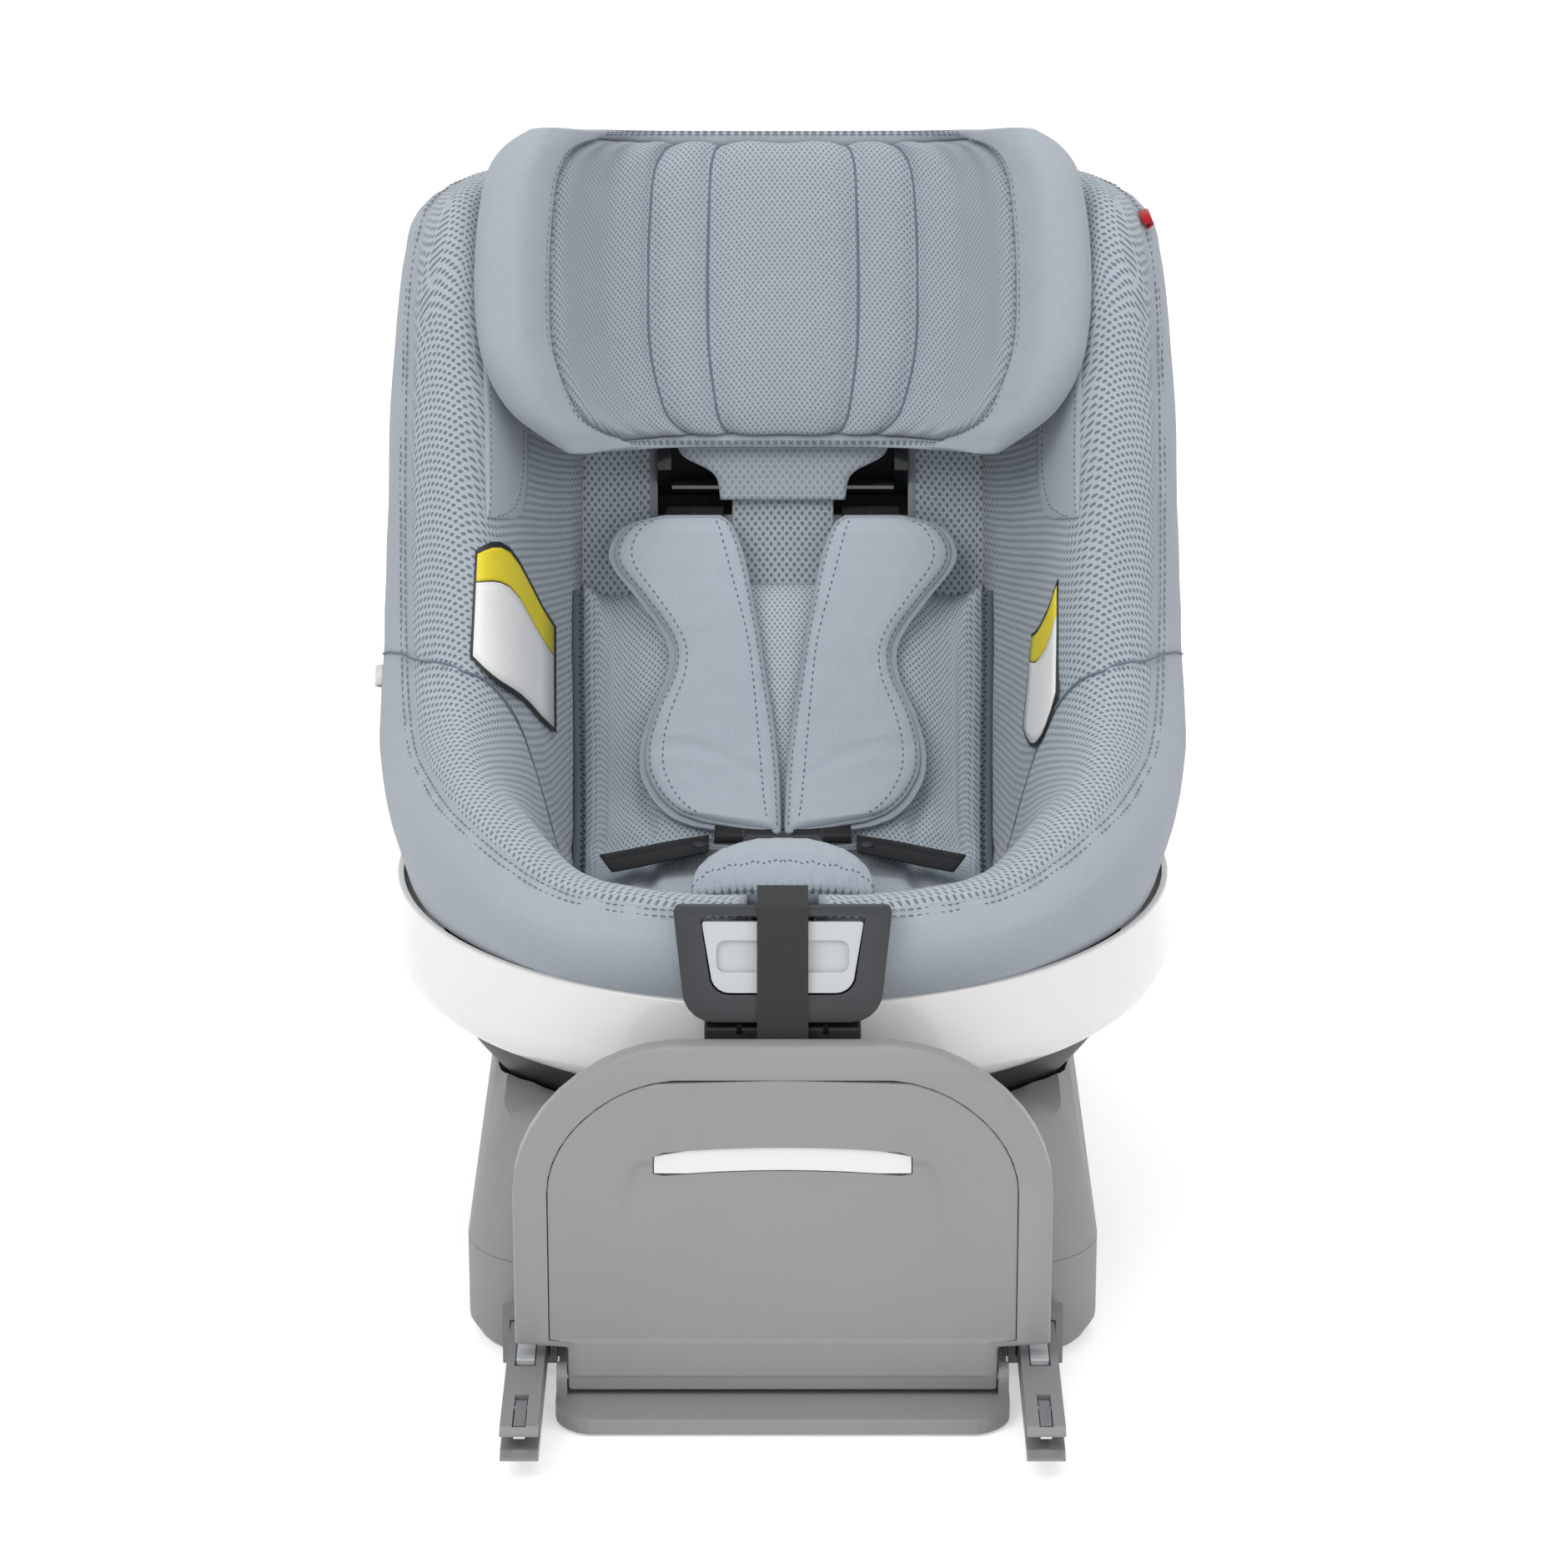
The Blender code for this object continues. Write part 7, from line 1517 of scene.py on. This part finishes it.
def inset_plate():
    """Plate with a shallow hand recess that fades out below, and the slot of the bar."""
    front, depth = -0.2615, 0.0047
    half, top, radius, low = 0.1244, 0.1944, 0.0664, 0.0426
    foot, foot_half, stand = 0.0205, 0.1128, 0.0005

    def reach(z):
        """Half width of the plate at a height."""
        if z <= top - radius:
            return half
        best = 0.0
        for angle in [math.radians(90 * i / 240) for i in range(241)]:
            across = half - radius + radius * math.cos(angle)
            lift = 0.010 * (across / half) ** 2
            if top - radius + (radius - lift) * math.sin(angle) >= z:
                best = max(best, across)
        return best

    def sunk(x, z):
        """Depth of the recess at a place on the plate's face."""
        s = (0.1465 - z) / 0.070
        edge = 0.0745 + 0.0085 * min(1.0, max(0.0, s * 5)) ** 0.5 + 0.006 * max(0.0, s)
        side = min(1.0, max(0.0, (edge - abs(x)) / 0.0032))
        head = min(1.0, max(0.0, s / 0.035))
        fade = min(1.0, max(0.0, (1.0 - s) / 0.8)) ** 1.2 if s < 1 else 0.0
        return 0.0017 * side * side * (3 - 2 * side) * head * fade

    levels = [foot + (low - foot) * i / FOOT_ROWS for i in range(FOOT_ROWS)]
    levels += [low + (top - low) * i / FACE_ROWS for i in range(FACE_ROWS)] + [top - 0.0004]
    widths = [reach(z) for z in levels[:-1]] + [0.010]

    def cell(i, j):
        """Front point and rear point of a place on the plate."""
        z = levels[i]
        wide, ahead = foot_half, stand
        if z >= low:
            wide, ahead = widths[i], 0.0
        x = wide * (-1 + 2 * j / PLATE_COLUMNS)
        rim = min(1.0, (wide - abs(x)) / 0.001, (z - foot) / 0.001 + 0.02)
        dip = sunk(x, z) + 0.0008 * (1 - max(0.0, rim)) - ahead
        return Vector((x, front + dip, z)), Vector((x, front + depth, z)), (x, z, 0.0)

    rows = rows_of(len(levels), PLATE_COLUMNS + 1, cell)
    item = finish_mesh("inset_fine", sheet(rows, False), "inset", "rebound_panel",
                       ["panel_inset"])
    slot = bmesh.new()
    rings = []
    for y in (-0.270, -0.240):
        ring = []
        for sign in (1, -1):
            for i in range(SLOT_STEPS + 1):
                x = GRIP_HALF * (1 - 2 * i / SLOT_STEPS) * sign
                bow = 0.0035 * (1 - (x / GRIP_HALF) ** 2)
                tall = 0.0071 * (0.75 if i in (0, SLOT_STEPS) else 1.0)
                ring.append(slot.verts.new((x, y, 0.144 + bow + tall * sign)))
        rings.append(ring)
    skin(slot, rings)
    carve(item, slot)
    item.data.set_sharp_from_angle(angle=math.radians(40))


def labels():
    """Plain tags on the inner sides: dark edge, pale field, yellow band."""
    tag("label_left", -1, ((3.35, 6.05), (4.65, 6.42), (4.65, 5.78), (3.15, 5.32)))
    tag("label_right", 1, ((3.95, 5.92), (4.35, 5.98), (4.45, 5.52), (3.85, 5.2)))


def small_tabs():
    """Red loop at the right shoulder seam and the pale end of the seam at the left side."""
    for name, kind, row, column, side, tall, wide in (
            ("red_loop", "red_cloth", 1.9, 8.35, 1, 0.0045, 0.011),
            ("pale_tab", "pale_cloth", 1.0, 5.75, -1, 0.0035, 0.012)):
        bm = bmesh.new()
        layer = cloth_layer(bm)
        point, normal = spot(row, column)
        along = (spot(row, column + 0.1)[0] - point).normalized()
        across = normal.cross(along).normalized()
        rings = []
        for i in range(13):
            angle = math.pi * i / 12
            ring = []
            for lift, edge in ((0.0, -1), (0.0, 1), (0.0011, 1), (0.0011, -1)):
                out = math.sin(angle) * (tall + lift) - 0.0004
                made = point + normal * out + across * (math.cos(angle) * (0.0018 + lift))
                made += along * (edge * wide / 2)
                ring.append(add_point(bm, layer, on_side(made, side),
                                      (edge * wide / 2, i * 0.001, 0.0)))
            rings.append(ring)
        skin(bm, rings)
        finish_mesh(name, bm, kind, "seat")


def headrest_seams():
    """Sewn-in lines of the headrest's pad: thin cords that lie in its four grooves."""
    for count in (1, 2):
        c = count * HEAD_FINE
        for side, label in SIDES:
            path = [on_side(HEAD[r][c] - HEAD_NORMALS[r][c] * 0.0016, side)
                    for r in range(PAD_FIRST + 1, PAD_LAST)]
            tube("head_seam_%s_%d" % (label, count), path, 0.0008, "stitch", "headrest")


def side_seams():
    """The sewn line that crosses each side of the rim and runs on down the inner wall."""
    route = [(1.15, 5.85), (1.8, 5.7), (2.4, 5.45), (3.0, 5.2), (3.6, 5.14), (4.1, 5.1), (4.5, 5.0),
             (4.75, 4.78)]
    for side, label in SIDES:
        path = []
        for (r, c), (s, d) in zip(route, route[1:]):
            for t in [k / 6 for k in range(6)]:
                point, normal = spot(r + (s - r) * t, c + (d - c) * t)
                path.append(on_side(point + normal * 0.0004, side))
        tube("side_seam_" + label, path, 0.0007, "stitch", "seat")


hard_nodes()
joined_pieces()
bolster_cover()
seat_liner()
insert_cushion()
zips()
wing_pads()
headrest_surround()
head_pad()
mesh_tab()
shoulder_pads()
harness()
buckle_pad()
skirt_ring()
bowl()
inset_plate()
labels()
small_tabs()
headrest_seams()
side_seams()
rivets()
seam_stitches()


# Floor, lamps, camera
def stage():
    """Pale floor, white world and soft lamps."""
    made, tree, shader = new_material("floor")
    path = put(tree, "ShaderNodeLightPath")
    seen = math_node(tree, "MAXIMUM", path.outputs["Is Camera Ray"],
                     math_node(tree, "MAXIMUM", path.outputs["Is Glossy Ray"],
                               path.outputs["Is Transmission Ray"]))
    shader.inputs["Base Color"].default_value = (0.86, 0.86, 0.86, 1.0)
    shader.inputs["Roughness"].default_value = 0.9
    shader.inputs["Specular IOR Level"].default_value = 0.0
    tree.links.new(math_node(tree, "MULTIPLY", seen, 0.42), shader.inputs["Emission Strength"])
    shader.inputs["Emission Color"].default_value = (1.0, 1.0, 1.0, 1.0)
    bm = bmesh.new()
    bmesh.ops.create_grid(bm, x_segments=2, y_segments=2, size=6.0)
    floor = finish_mesh("floor", bm, None, None)
    floor.data.materials.append(made)
    floor.location.z = -0.0005
    world = bpy.data.worlds.new("studio")
    bpy.context.scene.world = world
    world.use_nodes = True
    tree = world.node_tree
    ground = tree.nodes["Background"]
    output = tree.nodes["World Output"]
    ground.inputs["Color"].default_value = (1.0, 1.0, 1.0, 1.0)
    ground.inputs["Strength"].default_value = 0.62
    clear = put(tree, "ShaderNodeBackground", Color=(1.0, 1.0, 1.0, 1.0), Strength=1.0)
    mixer = put(tree, "ShaderNodeMixShader")
    path = put(tree, "ShaderNodeLightPath")
    tree.links.new(path.outputs["Is Camera Ray"], mixer.inputs[0])
    tree.links.new(ground.outputs[0], mixer.inputs[1])
    tree.links.new(clear.outputs[0], mixer.inputs[2])
    tree.links.new(mixer.outputs[0], output.inputs["Surface"])
    lamps = [("key_lamp", (-1.6, -1.9, 2.4), 1.6, 34.0), ("fill_lamp", (2.2, -1.6, 1.6), 2.0, 16.0),
             ("top_lamp", (0.0, 0.4, 2.6), 2.0, 20.0), ("front_lamp", (0.2, -3.2, 0.7), 1.6, 10.0)]
    for name, place, size, power in lamps:
        lamp = bpy.data.lights.new(name, "AREA")
        lamp.energy = power
        lamp.size = size
        item = bpy.data.objects.new(name, lamp)
        COLLECTION.objects.link(item)
        item.location = place
        item.rotation_mode = "QUATERNION"
        item.rotation_quaternion = (Vector((0, 0, 0.3)) - Vector(place)).to_track_quat("-Z", "Y")


# Camera fitted to the photograph: focal length and picture in pixels, sensor in millimetres
CAMERA_PIXELS = 6348.0
PICTURE_PIXELS = 1880.0
SENSOR_WIDTH = 36.0
CAMERA_RISE = 19.68
CAMERA_PLACE = (0.0007, -2.8234, 1.2744)


def camera():
    """Long lens, about 20 degrees above the horizon."""
    lens = bpy.data.cameras.new("camera")
    item = bpy.data.objects.new("camera", lens)
    COLLECTION.objects.link(item)
    lens.sensor_width = SENSOR_WIDTH
    lens.lens = SENSOR_WIDTH * CAMERA_PIXELS / PICTURE_PIXELS
    up = math.radians(CAMERA_RISE)
    back = Vector((0, -math.cos(up), math.sin(up)))
    item.location = CAMERA_PLACE
    item.rotation_mode = "QUATERNION"
    item.rotation_quaternion = (-back).to_track_quat("-Z", "Y")
    lens.clip_start = 0.1
    lens.clip_end = 50.0
    bpy.context.scene.camera = item


stage()
camera()
bpy.context.scene.view_settings.view_transform = "Standard"
